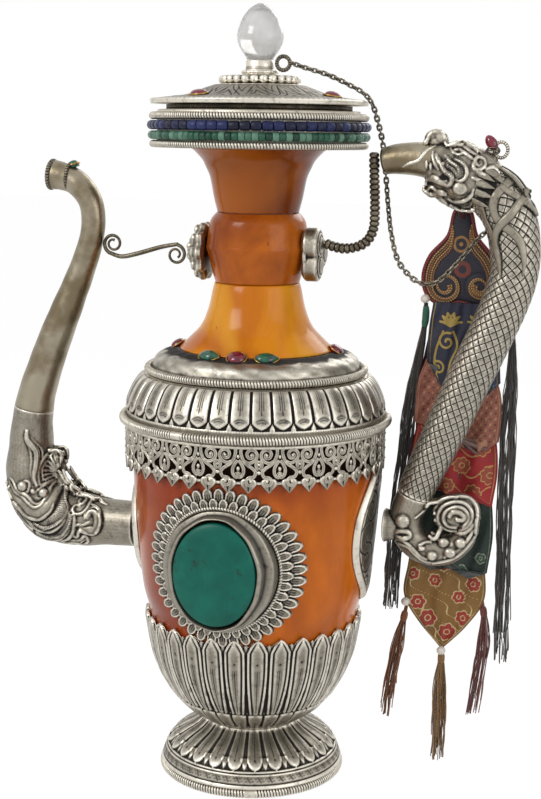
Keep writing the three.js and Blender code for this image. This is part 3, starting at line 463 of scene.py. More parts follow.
silver = agedSilver("agedSilver")
brightSilver = agedSilver("wornSilver", (0.32, 0.295, 0.245), tarnish=0.3)
castSilver = agedSilver("castSilver", (0.25, 0.225, 0.18), depth=9.0)
wireSilver = agedSilver("wireSilver", (0.3, 0.275, 0.22), depth=9.0, rubbedAndHighlit=2.0)
brownSilver = agedSilver("brownSilver", (0.085, 0.07, 0.045), depth=9.0, tarnish=0.6, rubbedAndHighlit=0.3)
gallerySilver = agedSilver("gallerySilver", (0.2, 0.18, 0.14), depth=12.0, rubbedAndHighlit=1.6)
plain = plainSilver("hammeredSilver")
darkSilver = agedSilver("tarnishedSilver", (0.05, 0.045, 0.038), (0.01, 0.009, 0.008), 3.0, 0.3, 0.42)


# Stage, camera and light first, then the chain

stage = {
    "eye": (200.3, -719.7, 320.7), "ahead": (-0.2549, 0.9513, -0.1731), "lens": 69.16, "lean": 0.8,
    "dayAround": 0.5, "floorHalf": 6000, "floorColor": (0.92, 0.92, 0.92, 1), "floorGlow": 1.12,
    "aim": (0, 0, 190),
    "lamps": [("keyLamp", (-520, -700, 760), 420, 4.6), ("fillLamp", (760, -420, 420), 520, 1.6),
              ("backLamp", (200, 700, 700), 500, 2.0)],
}


def seenRays(tree):
    # 1 for what the camera, a reflection or a clear stone sees, 0 for what lights the object
    path = tree.nodes.new("ShaderNodeLightPath")
    seen = Wire(tree, path.outputs["Is Camera Ray"]) + Wire(tree, path.outputs["Is Glossy Ray"])
    return (seen + Wire(tree, path.outputs["Is Transmission Ray"])).clamp()


def makeStage():
    camera = linked("camera", bpy.data.cameras.new("camera"))
    camera.data.lens = stage["lens"]
    camera.data.sensor_width = 36
    camera.data.clip_start = 0.01
    camera.location = Vector(stage["eye"]) * mm
    camera.rotation_euler = Vector(stage["ahead"]).to_track_quat("-Z", "Y").to_euler()
    camera.rotation_euler.rotate_axis("Z", math.radians(stage["lean"]))
    bpy.context.scene.camera = camera

    world = bpy.data.worlds.new("daylight")
    bpy.context.scene.world = world
    world.use_nodes = True
    world.node_tree.nodes.clear()
    tree = world.node_tree
    around = stage["dayAround"]
    strength = around + seenRays(tree) * (1 - around)
    glow = add(tree, "ShaderNodeBackground", {}, [(1, 1, 1, 1), strength])
    add(tree, "ShaderNodeOutputWorld", {}, [glow])

    half = stage["floorHalf"]
    corners = [(-half, -half, 0), (half, -half, 0), (half, half, 0), (-half, half, 0)]
    floor = linked("floor", meshFrom("floor", corners, [[0, 1, 2, 3]]))
    f = Finish("paleFloor")
    matt = f.add("ShaderNodeBsdfDiffuse", {}, {"Color": stage["floorColor"]})
    shine = f.add("ShaderNodeEmission", {}, {"Color": (1, 1, 1, 1), "Strength": stage["floorGlow"]})
    both = f.add("ShaderNodeMixShader", {}, [seenRays(f.tree) * 0.8, matt, shine])
    f.add("ShaderNodeOutputMaterial", {}, [both])
    floor.data.materials.append(f.material)

    for name, where, size, power in stage["lamps"]:
        light = bpy.data.lights.new(name, "AREA")
        light.size = size * mm
        light.energy = power
        lamp = linked(name, light)
        lamp.location = Vector(where) * mm
        aim = Vector(stage["aim"]) * mm - lamp.location
        lamp.rotation_euler = aim.to_track_quat("-Z", "Y").to_euler()
    bpy.context.scene.view_settings.view_transform = "Standard"
    print("stage ready")


makeStage()


# Pieces that repeat, set at places with their own up and along directions

def openTree(name, shape, inputs):
    # a tree with its inputs, their identifiers and the wires that come from them
    tree = bpy.data.node_groups.new(name, "GeometryNodeTree")
    face = tree.interface
    if shape:
        face.new_socket(shape, in_out="INPUT", socket_type="NodeSocketGeometry")
    names = {}
    for title, kind in inputs:
        names[title] = face.new_socket(title, in_out="INPUT", socket_type="NodeSocket" + kind).identifier
    face.new_socket("Geometry", in_out="OUTPUT", socket_type="NodeSocketGeometry")
    source = tree.nodes.new("NodeGroupInput")
    return tree, names, {s.name: Wire(tree, s) for s in source.outputs if s.name}


def closeTree(tree, shape, finish):
    real = add(tree, "GeometryNodeRealizeInstances", {}, [shape])
    done = add(tree, "GeometryNodeSetMaterial", {}, {"Geometry": real, "Material": finish})
    add(tree, "NodeGroupOutput", {}, [done])


def named(tree, title, kind="FLOAT_VECTOR"):
    return add(tree, "GeometryNodeInputNamedAttribute", {"data_type": kind}, [title])


def settingTree():
    tree, names, given = openTree("settingOfPieces", "Places", [
        ("Piece", "Object"), ("Size jitter", "Float"), ("Seed", "Int"), ("Finish", "Material")])
    up, along, size = named(tree, "up"), named(tree, "along"), named(tree, "size")
    facing = add(tree, "FunctionNodeAxesToRotation", {"primary_axis": "Z", "secondary_axis": "X"}, [up, along])
    piece = add(tree, "GeometryNodeObjectInfo", {}, {"Object": given["Piece"]})
    piece = Wire(tree, piece.socket.node.outputs["Geometry"])
    chance = {"Min": -1.0, "Max": 1.0, "Seed": given["Seed"]}
    luck = tree.nodes.new("FunctionNodeRandomValue")
    luck.data_type = "FLOAT"
    for socket in luck.inputs:
        if socket.enabled and socket.name in chance:
            value = chance[socket.name]
            if isinstance(value, Wire):
                tree.links.new(value.socket, socket)
            else:
                socket.default_value = value
    roll = [Wire(tree, o) for o in luck.outputs if o.enabled and o.name == "Value"][-1]
    grown = add(tree, "ShaderNodeVectorMath", {"operation": "SCALE"},
                {0: size, "Scale": roll * given["Size jitter"] + 1})
    spread = add(tree, "GeometryNodeInstanceOnPoints", {},
                 {"Points": given["Places"], "Instance": piece, "Rotation": facing, "Scale": grown})
    toned = add(tree, "GeometryNodeStoreNamedAttribute", {"data_type": "FLOAT", "domain": "INSTANCE"},
                {"Geometry": spread, "Name": "tone", "Value": roll * 0.5 + 0.5})
    closeTree(tree, toned, given["Finish"])
    return tree, names


settingGroup, settingInputs = settingTree()


def setPieces(name, source, places, ups, alongs, material, sizes=None, jitter=0.0, seed=1):
    # a plain mesh of one shape that is repeated at many places
    data = bpy.data.meshes.new(name + "Places")
    places = np.asarray(places, float)
    data.from_pydata((places * mm).tolist(), [], [])
    sizes = np.ones_like(places) if sizes is None else np.asarray(sizes, float) * np.ones_like(places)
    for key, values in (("up", ups), ("along", alongs), ("size", sizes)):
        made = data.attributes.new(key, "FLOAT_VECTOR", "POINT")
        spread = np.asarray(values, np.float32) * np.ones_like(places)
        made.data.foreach_set("vector", spread.ravel().astype(np.float32))
    holder, shape = linked(name + "Places", data), linked(name + "Shape", source)
    modifier = holder.modifiers.new("setting", "NODES")
    modifier.node_group = settingGroup
    values = {"Piece": shape, "Size jitter": float(jitter), "Seed": int(seed), "Finish": material}
    for key, value in values.items():
        modifier[settingInputs[key]] = value
    result = finished(name, holder, shape)
    for key in ("up", "along", "size"):
        if result.attributes.get(key):
            result.attributes.remove(result.attributes[key])
    return result


# Chain from the lid to the handle

chain = {"wire": 0.95, "long": 4.1, "wide": 2.9, "diameter": 2.2}


def chainRoute():
    # the points that the chain hangs along, from the ring beside the finial
    start = (15.8, 351.9)
    top = start[1] - 1.6
    return [(start[0], 0, start[1]), (20.4, -0.6, top), (26, -1, top - 1.6), (34, -1, top - 4),
            (43, -1, top - 8), (50.4, -0.6, top - 12), (54.6, 1, top - 17), (57, 5, top - 26),
            (58.6, 9.6, top - 36), (60.2, 10.4, top - 50), (62, 8.6, top - 64), (64.6, 4.6, top - 77),
            (68.6, 0.6, top - 89), (74.4, -1.8, top - 96), (81, -3, top - 100), (88, -3.2, top - 99.4),
            (95, -3.2, top - 93), (101, -3, top - 86), (107.4, -2.6, top - 78), (112.6, -2.2, top - 73.4)]


def linkShape():
    half = chain["long"] / 2 - chain["wire"] / 2
    wide = chain["wide"] / 2 - chain["wire"] / 2
    u = roundAngles(14)
    path = np.stack([wide * np.sin(u), 0 * u, (half - wide) * np.sign(np.cos(u)) + wide * np.cos(u)], 1)
    points, faces = tube(path, chain["wire"] / 2, 6, loop=True)
    return meshFrom("link", points, faces)


def makeChain():
    line = smoothLine(chainRoute(), 400)
    length = lengthOf(line)
    pitch = chain["long"] - 2 * chain["wire"] + 0.1
    count = int(length / pitch)
    spots = smoothLine(chainRoute(), count)
    ahead = unit(np.gradient(spots, axis=0))
    side = unit(np.cross(ahead, (0, 0, 1.0)))
    over = np.cross(side, ahead)
    lay = np.where((np.arange(count) % 2 == 0)[:, None], side + 0.6 * over, over - 0.6 * side)
    data = setPieces("lidChainLinks", linkShape(), spots, ahead, lay, brownSilver, jitter=0.05, seed=4)
    piece = place("lid_chain_links", data, brownSilver, None, "silver", ["lid_chain"], hollows=4)
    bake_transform(piece)
    path = [list(p * mm) for p in smoothLine(chainRoute(), 101)]
    print("chain", round(length, 1), "mm,", count, "links")


makeChain()


# Ropes of twisted wire

def ropeRadius(count, sides, radius, coils, depth=0.2):
    # a wound wire: every coil bulges, and its grooves lean once round the bar
    along = np.arange(count) / count * coils
    across = np.arange(sides) / sides
    phase = along[:, None] + across[None, :]
    return radius * (1 - depth + depth * np.abs(np.sin(math.pi * phase)) ** 0.7)


def roundPath(radius, z, count):
    u = roundAngles(count)
    return np.stack([radius * np.cos(u), radius * np.sin(u), np.full(count, z)], 1)


def ropeInk(count, sides, coils, patch=0.0):
    along = np.arange(count) / count * coils
    across = np.arange(sides) / sides
    deep = np.abs(np.sin(math.pi * (along[:, None] + across[None, :])))
    return rise(0.62, 0.2, deep) * (1 - patch)


def ropeBar(name, path, radius, coils, sides=10, depth=0.3, up=(0, 1, 0)):
    # a closed bar of wound wire, its grooves marked to be darkened
    points, faces = tube(path, ropeRadius(len(path), sides, radius, coils, depth), sides, loop=True, up=up)
    data = meshFrom(name, points, faces)
    setAttribute(data, "ink", ropeInk(len(path), sides, coils).ravel())
    return data


def ropeRing(node, pitch, joinAt=None):
    # joinAt is where the wire's ends were soldered, in degrees
    wire = high(node)[2] - low(node)[2]
    radius = reach(node) - wire / 2
    z = (high(node)[2] + low(node)[2]) / 2
    coils = round(turn * radius / pitch)
    sides, columns = 12, 8
    path = roundPath(radius, z, coils * columns)
    bulge = ropeRadius(coils * columns, sides, wire / 2, coils, 0.3)
    patch = np.zeros((len(path), 1))
    if joinAt is not None:
        away = np.abs(fold(np.arange(len(path)) / len(path) - joinAt / 360)) * turn * radius
        patch = 1 - rise(2.2, 3.0, away)[:, None]
        bulge = bulge * (1 - patch) + wire * 0.47 * patch
    points, faces = tube(path, bulge, sides, loop=True, up=(0, 0, 1))
    data = meshFrom(node, points, faces)
    setAttribute(data, "ink", ropeInk(len(path), sides, coils, patch).ravel())
    return place(node + "_coils", data, wireSilver, "lid" if node.startswith("lid") else "root",
                 "silver", [node], hollows=3)


ropePitch = 1.43
for node, joinAt in (("foot_rope_ring", -75), ("gallery_rope_ring", -108), ("shoulder_rope_ring", None),
                     ("mouth_rope_ring_lower", None), ("mouth_rope_ring_upper", None)):
    ropeRing(node, ropePitch, joinAt)
print("rope rings ready")


# Revolved walls with a relief

def reliefWall(outline, under, columns, relief):
    # outline and under are [radius, height] points, the outer side going up and the inner side going down
    line = np.asarray(outline, float)
    ahead = unit(np.gradient(line, axis=0))
    out = np.stack([ahead[:, 1], -ahead[:, 0]], 1)
    u = np.arange(columns) / columns
    height, ink = relief(u[None, :], line[:, 1][:, None], line[:, 0][:, None])
    height = height * np.ones((len(line), columns))
    r = line[:, :1] + out[:, :1] * height
    z = line[:, 1:] + out[:, 1:] * height
    for radius, level in under:
        r = np.vstack([r, np.full((1, columns), radius)])
        z = np.vstack([z, np.full((1, columns), level)])
    rings = np.stack([r * np.cos(turn * u), r * np.sin(turn * u), z], -1)
    points, faces = skin(rings, True)
    marks = np.zeros(len(points))
    marks[:len(line) * columns] = (ink * np.ones((len(line), columns))).ravel()
    return points, faces, marks


def carved(name, node, outline, under, columns, relief, material, slotName="silver", hollows=10):
    points, faces, marks = reliefWall(outline, under, columns, relief)
    data = meshFrom(name, points, faces)
    setAttribute(data, "ink", marks)
    body = "lid" if node.startswith("lid") or node.startswith("finial") else "root"
    return place(name, data, material, body, slotName, [node], hollows=hollows)


# Foot

foot = {
    "petals": 25, "columns": 28, "rows": 70, "tips": 12.8, "puff": 0.55,
    "petalsFrom": 12.6, "petalsTo": 26.5, "frets": 52, "fretFrom": 7.6, "fretTo": 10.4, "grooveAt": 6.8,
}


def footRelief(u, z, r):
    p = fold(u * foot["petals"])
    across = np.abs(p) * 2
    width = turn * r / foot["petals"]
    edge = 0.86 * np.sqrt(np.clip(1 - (np.clip(18 - z, 0, 9) / (18 - foot["tips"])) ** 2, 0, 1))
    inside = rise(0, 0.16, edge - across)
    petal = foot["puff"] * np.sqrt(np.clip(1 - (across / np.maximum(edge, 0.05)) ** 2, 0, 1)) * inside
    between = np.abs(fold(u * foot["petals"] + 0.5)) * 2
    tip = rise(0, 0.2, 0.5 * np.clip((z - foot["petalsFrom"]) / 4, 0, 1) - between) * (z < 17.5) * 0.4
    groove = -0.35 * (1 - inside) * (z > foot["petalsFrom"]) * (z < foot["petalsTo"]) + tip
    vein = ridge(np.abs(p) * width, 0.22) * (z > 17.2) * 1.2
    dot = ridge(np.hypot(p * width, z - 16.4), 0.5) * 1.2
    side = ridge(np.abs(np.abs(p) * width - 0.75), 0.16) * (z > 20) * 0.7
    lines = 0.35 * (ridge(z - 12.2, 0.35) + ridge(z - 11.0, 0.35)) - 0.3 * ridge(z - 11.6, 0.3)
    fret = fold(u * foot["frets"] + (z - 9.2) * 0.12)
    bars = ridge(np.abs(fret), 0.09) * (z > foot["fretFrom"]) * (z < foot["fretTo"])
    steps = ridge(np.abs(np.abs(fret) - 0.27), 0.1) * (ridge(z - 8.5, 0.3) + ridge(z - 9.7, 0.3))
    lowGroove = -0.45 * ridge(z - foot["grooveAt"], 0.4)
    return petal + groove + lines + lowGroove, vein + dot + side + 0.9 * np.clip(bars + steps, 0, 1)


def makeFoot():
    base, top = low("foot_pedestal")[2], high("foot_pedestal")[2]
    shape = [(46, 0), (45.3, 0.09), (43.8, 0.25), (41.0, 0.44), (36.0, 0.62), (28.8, 0.81), (25.2, 0.94),
             (24.3, 1)]
    outline = smoothLine([(r, base + t * (top - base)) for r, t in shape], foot["rows"])
    under = [(20, top), (22, top - 5), (33, top - 11), (41, base)]
    carved("foot_petals", "foot_pedestal", outline, under, foot["petals"] * foot["columns"], footRelief, silver)
    r, z0, z1 = reach("base_plate"), low("base_plate")[2], high("base_plate")[2]
    points, faces = revolve([(0, z0), (r - 0.5, z0), (r, z0 + 0.5), (r, z1 - 0.3), (r - 0.3, z1), (0, z1)], 96)
    place("base_disc", meshFrom("base", points, faces), darkSilver, "root", "dark_silver", ["base_plate"],
          smooth=False)


makeFoot()


# Lotus cup

cup = {
    "petals": 30, "columns": 22, "rows": 110, "top": 83.3, "valley": 79.6,
    # the lower row of petals runs from its root up to the upper row
    "low": 41.0, "root": 30.6, "edge": 29.0,
}


def petalEdge(t):
    # half width of a pointed petal against its length, both from 0 to 1
    body = np.minimum(1, 0.80 + 0.2 * np.sin(math.pi * np.clip(t, 0, 1) * 0.8))
    point = np.clip((1 - t) / 0.16, 0, 1)
    return body * point ** 0.55


def cupRelief(u, z, r):
    p = fold(u * cup["petals"])
    across = np.abs(p) * 2
    width = turn * r / cup["petals"]
    t = (z - cup["low"]) / (cup["top"] - cup["low"])
    edge = 0.93 * petalEdge(t) * (t > 0)
    gap = (edge - across) * width / 2
    inside = rise(-0.05, 0.35, gap)
    rim = ridge(gap - 0.6, 0.42) * 0.42
    trench = -0.55 * ridge(gap - 1.65, 0.42) * (gap > 0)
    panel = 0.12 * rise(1.9, 2.6, gap)
    upper = inside * (0.3 + panel) + rim + trench - 0.95 * (1 - inside)
    veins = (ridge(np.abs(p) * width, 0.18)
             + ridge(np.abs(np.abs(p) * width - 1.1), 0.17)) * (t < 0.62) * (t > 0.04)
    dot = ridge(np.hypot(p * width, (t - 0.7) * 42), 0.55) * 1.4
    ink = (veins * 0.9 + dot) * (gap > 1.6)
    small = np.abs(fold(u * cup["petals"] + 0.5)) * width
    tip = rise(0, 0.5, 1.3 * np.clip((z - 74) / 5, 0, 1) - small) * (z > 74) * (1 - inside)
    upper = upper + tip * 0.7
    # the row below: puffed petals with pointed ends that hang between the foot and the upper row
    s = (z - cup["root"]) / (cup["low"] - cup["root"])
    lowEdge = 0.95 * petalEdge(s)
    puff = (0.9 * np.sqrt(np.clip(1 - (across / np.maximum(lowEdge, 0.05)) ** 2, 0, 1))
            * np.sin(math.pi * np.clip(s * 0.8 + 0.1, 0, 1)))
    inLow = rise(0, 0.15, lowEdge - across)
    lower = puff * inLow - 0.7 * (1 - inLow)
    lowInk = ridge(np.abs(p) * width, 0.2) * (s < 0.5)
    isLow = rise(0.3, -0.3, z - cup["low"])
    edgeFade = rise(cup["edge"], cup["root"], z)
    return (upper * (1 - isLow) + lower * isLow) * edgeFade, ink * (1 - isLow) + lowInk * isLow


def makeCup():
    base = low("lotus_cup")[2]
    shape = [(24.3, base), (27.5, 29.2), (31.6, 32.6), (36.2, 36.8), (40.6, 41.8), (46.0, 50.6), (50.6, 62.2),
             (52.9, 74.0), (53.9, 80.0), (54.0, cup["top"])]
    outline = smoothLine(shape, cup["rows"])
    columns = cup["petals"] * cup["columns"]
    under = [(52.4, cup["top"]), (51.5, 72), (20, base + 6.8), (12, base)]
    points, faces, marks = reliefWall(outline, under, columns, cupRelief)
    # the rim follows the tips of the petals
    u = np.arange(columns) / columns
    across = np.abs(fold(u * cup["petals"])) * 2
    tips = cup["valley"] + (cup["top"] - cup["valley"]) * np.clip(1 - across / 0.75, 0, 1) ** 0.8
    small = cup["valley"] + 1.0 * np.clip(1 - np.abs(across - 1) / 0.2, 0, 1)
    line = np.maximum(tips, small)
    z = points[:, 2].reshape(-1, columns)
    z[:] = np.minimum(z, line[None, :] + (z - 79) * 0.001)
    points[:, 2] = z.ravel()
    data = meshFrom("cup", points, faces)
    setAttribute(data, "ink", marks)
    place("lotus_petals", data, silver, "root", "silver", ["lotus_cup"], hollows=8)


makeCup()


# Amber

def amberFinish(name, deep, clear, bright, along, seed, shade=None):
    f = Finish(name)
    x, _, z = f.axes()
    offset = (seed, seed * 2, seed)
    shifted = f.add("ShaderNodeMapping", {}, {"Vector": f.place, "Location": offset, "Scale": along})
    streak = f.noise(24, 5, 0.6, shifted, 0.6)
    patch = f.noise(11, 3, 0.5, shifted, 1.2)
    fine = f.noise(160, 4, 0.6, shifted)
    warm = f.mix(streak.step(0.32, 0.66), deep, clear)
    warm = f.mix(patch.step(0.5, 0.72) * 0.75, warm, bright)
    spots = f.cells(170, where=f.scaled((1, 1, 0.5)))
    specks = (1 - spots.step(0.05, 0.12)) * fine.step(0.55, 0.6)
    warm = f.mix(specks * 0.6, warm, (0.06, 0.015, 0.004))
    gloss = 0.15
    if shade:
        warm, gloss = shade(f, warm, x, z, fine)
    scratches = f.noise(1200, 2, where=f.scaled((1, 1, 0.06)))
    rough = 0.16 + fine * 0.1 + scratches.step(0.6, 0.8) * 0.15 + (0.15 - gloss) * 5.0
    normal = f.bump(patch * 2 + fine * 0.12, 0.25, 0.8)
    depth = {"Specular IOR Level": 0.16, "Coat Weight": gloss * 0.6, "Coat Roughness": 0.06,
             "Subsurface Weight": 0.06, "Subsurface Radius": (0.01, 0.004, 0.0015), "Subsurface Scale": 0.6}
    return f.finish(warm, rough, 0.0, normal, **depth)


def bellyShade(f, color, x, z, fine):
    # painted shade and dirt under the openwork and the petals, a painted shade of dark red just below it, and
    # painted light and shade from side to side
    # painted shade and dirt behind the openwork: near black above its lower edge, with no coat
    under = (z + (fine - 0.5) * 0.004).step(0.1585, 0.1612)
    # painted shade below the gallery: darker red towards it
    paintedShadeBelowGallery = z.step(0.138, 0.160)
    # painted light and shade: brighter to the right and darker to the left, partly the amber's own tone
    color = f.mix(x.step(0.0, 0.045) * 0.35, color, (0.82, 0.22, 0.007))
    color = f.mix(x.step(-0.02, -0.055) * 0.45, color, (0.2, 0.022, 0.004))
    color = f.mix(paintedShadeBelowGallery * 0.55, color, (0.28, 0.03, 0.006))
    return f.mix(under * 0.97, color, (0.008, 0.004, 0.002)), 0.15 - under * 0.15


# each with its deep, clear and bright colour, the stretch of its streaks and where the patterns start
amberBelly = amberFinish("amberBelly", (0.24, 0.032, 0.003), (0.62, 0.135, 0.006), (0.78, 0.24, 0.014),
                         (1, 1, 0.35), 0.3, bellyShade)
amberFlare = amberFinish("amberFlare", (0.5, 0.13, 0.004), (0.74, 0.26, 0.009), (0.86, 0.42, 0.03),
                         (1, 1, 0.5), 1.1)
amberBead = amberFinish("amberBead", (0.22, 0.04, 0.003), (0.5, 0.125, 0.007), (0.66, 0.3, 0.04),
                        (1, 1, 0.6), 2.2)
amberTrumpet = amberFinish("amberTrumpet", (0.1, 0.015, 0.002), (0.25, 0.05, 0.004), (0.4, 0.11, 0.01),
                           (1, 1, 0.5), 3.7)


def turned(name, node, outline, material, slotName, sides=160, body="root", hollows=0):
    points, faces = revolve(outline, sides)
    return place(name, meshFrom(name, points, faces), material, body, slotName, [node], hollows=hollows)


def makeAmber():
    z0, z1 = low("belly_shell")[2], high("belly_shell")[2]
    shape = [(31.8, 0), (37.8, 0.045), (43.8, 0.11), (48.6, 0.19), (51.0, 0.29), (52.5, 0.35), (55.7, 0.44),
             (58.3, 0.635), (60.2, 0.81), (61.5, 0.985)]
    outline = smoothLine([(r, z0 + t * (z1 - z0)) for r, t in shape], 90)
    inner = [(56, z1), (54, 100), (44, 60), (28, z0 + 4), (0, z0 + 4)]
    turned("belly_amber", "belly_shell", [(0, z0), *outline.tolist(), (60.5, z1), *inner], amberBelly, "amber",
           200)
    z0, z1 = low("neck_flare")[2], high("neck_flare")[2]
    shape = [(37.5, z0), (37.2, z0 + 0.8), (31.8, 221.2), (28.2, 225.0), (25.9, 228.9), (24.4, 232.8),
             (23.2, 236.7), (22.4, 240.6), (21.6, 244.5), (20.8, z1 - 0.3), (20.4, z1)]
    turned("flare_amber", "neck_flare", [*smoothLine(shape, 60).tolist(), (14, z1), (14, z0)], amberFlare,
           "amber")
    z0, z1 = low("neck_bead")[2], high("neck_bead")[2]
    shape = [(20.3, z0), (20.7, z0 + 0.4), (23.2, 257.5), (25.0, 263.6), (25.2, 264.5)]
    upper = [(25.2, 264.5), (24.9, 266.0), (23.6, 275.2), (22.6, 278.2), (20.4, z1 - 0.3), (20.0, z1)]
    outline = [*smoothLine(shape, 24).tolist(), *smoothLine(upper, 30)[1:].tolist(), (14, z1), (14, z0)]
    turned("bead_amber", "neck_bead", outline, amberBead, "amber")
    z0, z1 = low("neck_trumpet")[2], high("neck_trumpet")[2]
    shape = [(19.8, z0), (20.2, 283.3), (21.2, 287.1), (22.0, 291.0), (22.7, 294.8), (23.6, 298.6),
             (25.3, 302.4), (27.2, 306.2), (30.7, 310.0), (32.4, z1)]
    turned("trumpet_amber", "neck_trumpet", [*smoothLine(shape, 60).tolist(), (14, z1), (14, z0)], amberTrumpet,
           "amber")
    print("amber ready")


makeAmber()


# Shoulder

shoulder = {
    "petals": 40, "columns": 20, "rows": 64, "base": 184.6, "top": 203.0, "beadLine": 184.9, "beads": 300,
}


def shoulderRelief(u, z, r):
    base, top = shoulder["base"], shoulder["top"]
    p = fold(u * shoulder["petals"])
    across = np.abs(p) * 2
    width = turn * r / shoulder["petals"]
    t = (z - base) / (top - base)
    # the petals hang down: their pointed ends are at the rim
    edge = 0.9 * np.clip((t - 0.08) / 0.16, 0, 1) ** 0.6
    gap = (edge - across) * width / 2
    inside = rise(-0.05, 0.4, gap)
    dome = 0.55 * np.sqrt(np.clip(1 - (across / np.maximum(edge, 0.05)) ** 2, 0, 1))
    rim = 0.2 * ridge(gap - 0.5, 0.35)
    small = np.abs(fold(u * shoulder["petals"] + 0.5)) * width
    tip = rise(0, 0.5, 1.5 * np.clip((0.28 - t) / 0.18, 0, 1) - small) * (t > 0.06) * (t < 0.3) * (1 - inside)
    height = inside * (0.1 + dome) + rim - 0.6 * (1 - inside) * (t > 0.05) + 0.6 * tip
    lines = (ridge(np.abs(p) * width, 0.17) * (t > 0.42)
             + ridge(np.abs(np.abs(p) * width - 1.0), 0.16) * (t > 0.55)) * 0.9
    arc = (ridge(t - 0.33 + 0.18 * across ** 2, 0.022) * (across < 0.6)
           + ridge(t - 0.27 + 0.16 * across ** 2, 0.018) * (across < 0.5))
    bead = 0.35 * ridge(z - shoulder["beadLine"], 0.5) * (0.6 + 0.4 * np.cos(turn * u * shoulder["beads"]))
    fade = rise(0.99, 0.95, t)
    return height * fade * (z > 185.4) + bead, (lines + arc * 0.8) * inside * fade


def collarRelief(u, z, r):
    # worn and dented, darker along the amber and above the rope
    dent = (0.16 * np.sin(turn * u * 9 + 2) * np.sin(z * 0.9 + 5 * np.sin(turn * u * 4))
            + 0.07 * np.sin(turn * u * 31 + z))
    seam = rise(213.0 + 0.5 * np.sin(turn * u * 13) + 0.4 * np.sin(turn * u * 29), 213.9, z)
    line = 0.7 * ridge(z - 207.0 - 0.15 * np.sin(turn * u * 7), 0.35) + 0.5 * rise(205.4, 204.6, z)
    return dent, np.clip(seam + line, 0, 1)


def makeShoulder():
    z0, z1 = low("shoulder_dome")[2], high("shoulder_dome")[2]
    shape = [(63.4, z0), (63.6, z0 + 1.5), (63.1, 189.4), (61.6, 193.8), (59.6, 197.8), (57.0, 201.2),
             (53.2, 203.3)]
    outline = smoothLine(shape, shoulder["rows"])
    under = [(50, 202), (57, 197), (60.5, z0 + 4), (61.4, z0)]
    columns = shoulder["petals"] * shoulder["columns"]
    carved("shoulder_petals", "shoulder_dome", outline, under, columns, shoulderRelief, silver)
    z0, z1 = low("shoulder_collar")[2], high("shoulder_collar")[2]
    shape = [(50.8, z0 + 0.3), (50.9, 206.0), (50.5, 208.6), (49.2, 211.2), (46.6, 212.9), (43.0, 214.0),
             (39.4, z1)]
    outline = smoothLine(shape, 40)
    under = [(30, z1), (30, z1 - 1.6), (44, z1 - 2.6), (48.5, z0 + 0.3)]
    carved("collar_band", "shoulder_collar", outline, under, 480, collarRelief, brightSilver, hollows=6)
    print("shoulder ready")


makeShoulder()


# Gallery of lyres

gallery = {
    "lyres": 21, "wire": 0.5, "double": 0.62, "face": 64.0, "inside": 62.2, "leafHalf": 3.9, "leafLong": 6.6,
}

lyreStrokes = [
    [(8.0, -0.3), (8.3, -3.4), (6.6, -7.6), (3.2, -10.2), (1.7, -11.8), (1.7, -13.2), (2.6, -14.5),
     (4.4, -14.7), (5.7, -16.0), (5.3, -17.9), (3.6, -18.4), (2.5, -17.2), (3.0, -16.1), (4.0, -16.3)],
    [(6.9, -7.0), (4.6, -7.9), (2.0, -6.8), (0.9, -4.4), (2.0, -2.2), (4.2, -1.9), (5.5, -3.5), (4.9, -5.4),
     (3.3, -5.6), (2.8, -4.3), (3.6, -3.7)],
    [(9.3, -6.6), (7.9, -8.6), (7.0, -11.0), (7.4, -13.4), (8.9, -14.6), (9.4, -13.2), (8.7, -12.2)],
    [(0.3, -6.6), (1.3, -8.2), (1.1, -9.8), (0.2, -11.0)],
]


def bent(points, r):
    # a flat drawing laid round the axis: its x runs along the ring, its y stands out from it
    x, y, z = points[:, 0], points[:, 1], points[:, 2]
    return np.stack([(r + y) * np.sin(x / r), -(r + y) * np.cos(x / r), z], 1)


def roundArrayTree():
    inputs = [("Piece", "Object"), ("Count", "Int"), ("Finish", "Material")]
    tree, names, given = openTree("roundArray", None, inputs)
    line = add(tree, "GeometryNodeMeshLine", {}, {"Count": given["Count"], "Offset": (0.0, 0.0, 0.0)})
    index = add(tree, "GeometryNodeInputIndex", {})
    angle = index / given["Count"] * turn
    spin = add(tree, "ShaderNodeCombineXYZ", {}, {2: angle})
    piece = add(tree, "GeometryNodeObjectInfo", {}, {"Object": given["Piece"]})
    piece = Wire(tree, piece.socket.node.outputs["Geometry"])
    spread = add(tree, "GeometryNodeInstanceOnPoints", {},
                 {"Points": line, "Instance": piece, "Rotation": spin})
    closeTree(tree, spread, given["Finish"])
    return tree, names


roundArray, roundInputs = roundArrayTree()


def repeatRound(name, source, count, material):
    holder = linked(name + "Holder", bpy.data.meshes.new(name + "Holder"))
    shape = linked(name + "Shape", source)
    modifier = holder.modifiers.new("round", "NODES")
    modifier.node_group = roundArray
    modifier[roundInputs["Piece"]] = shape
    modifier[roundInputs["Count"]] = count
    modifier[roundInputs["Finish"]] = material
    return finished(name, holder, shape)


def doubleWire(path, radius, apart, sides=6):
    # two wires side by side on the drawing's plane
    ahead = unit(np.gradient(path, axis=0))
    across = np.cross(ahead, (0, 1.0, 0)) * apart
    thin = radius * between([1, 1, 1, 0.8], np.linspace(0, 1, len(path)))
    return [tube(path + across, thin, sides), tube(path - across, thin, sides)]


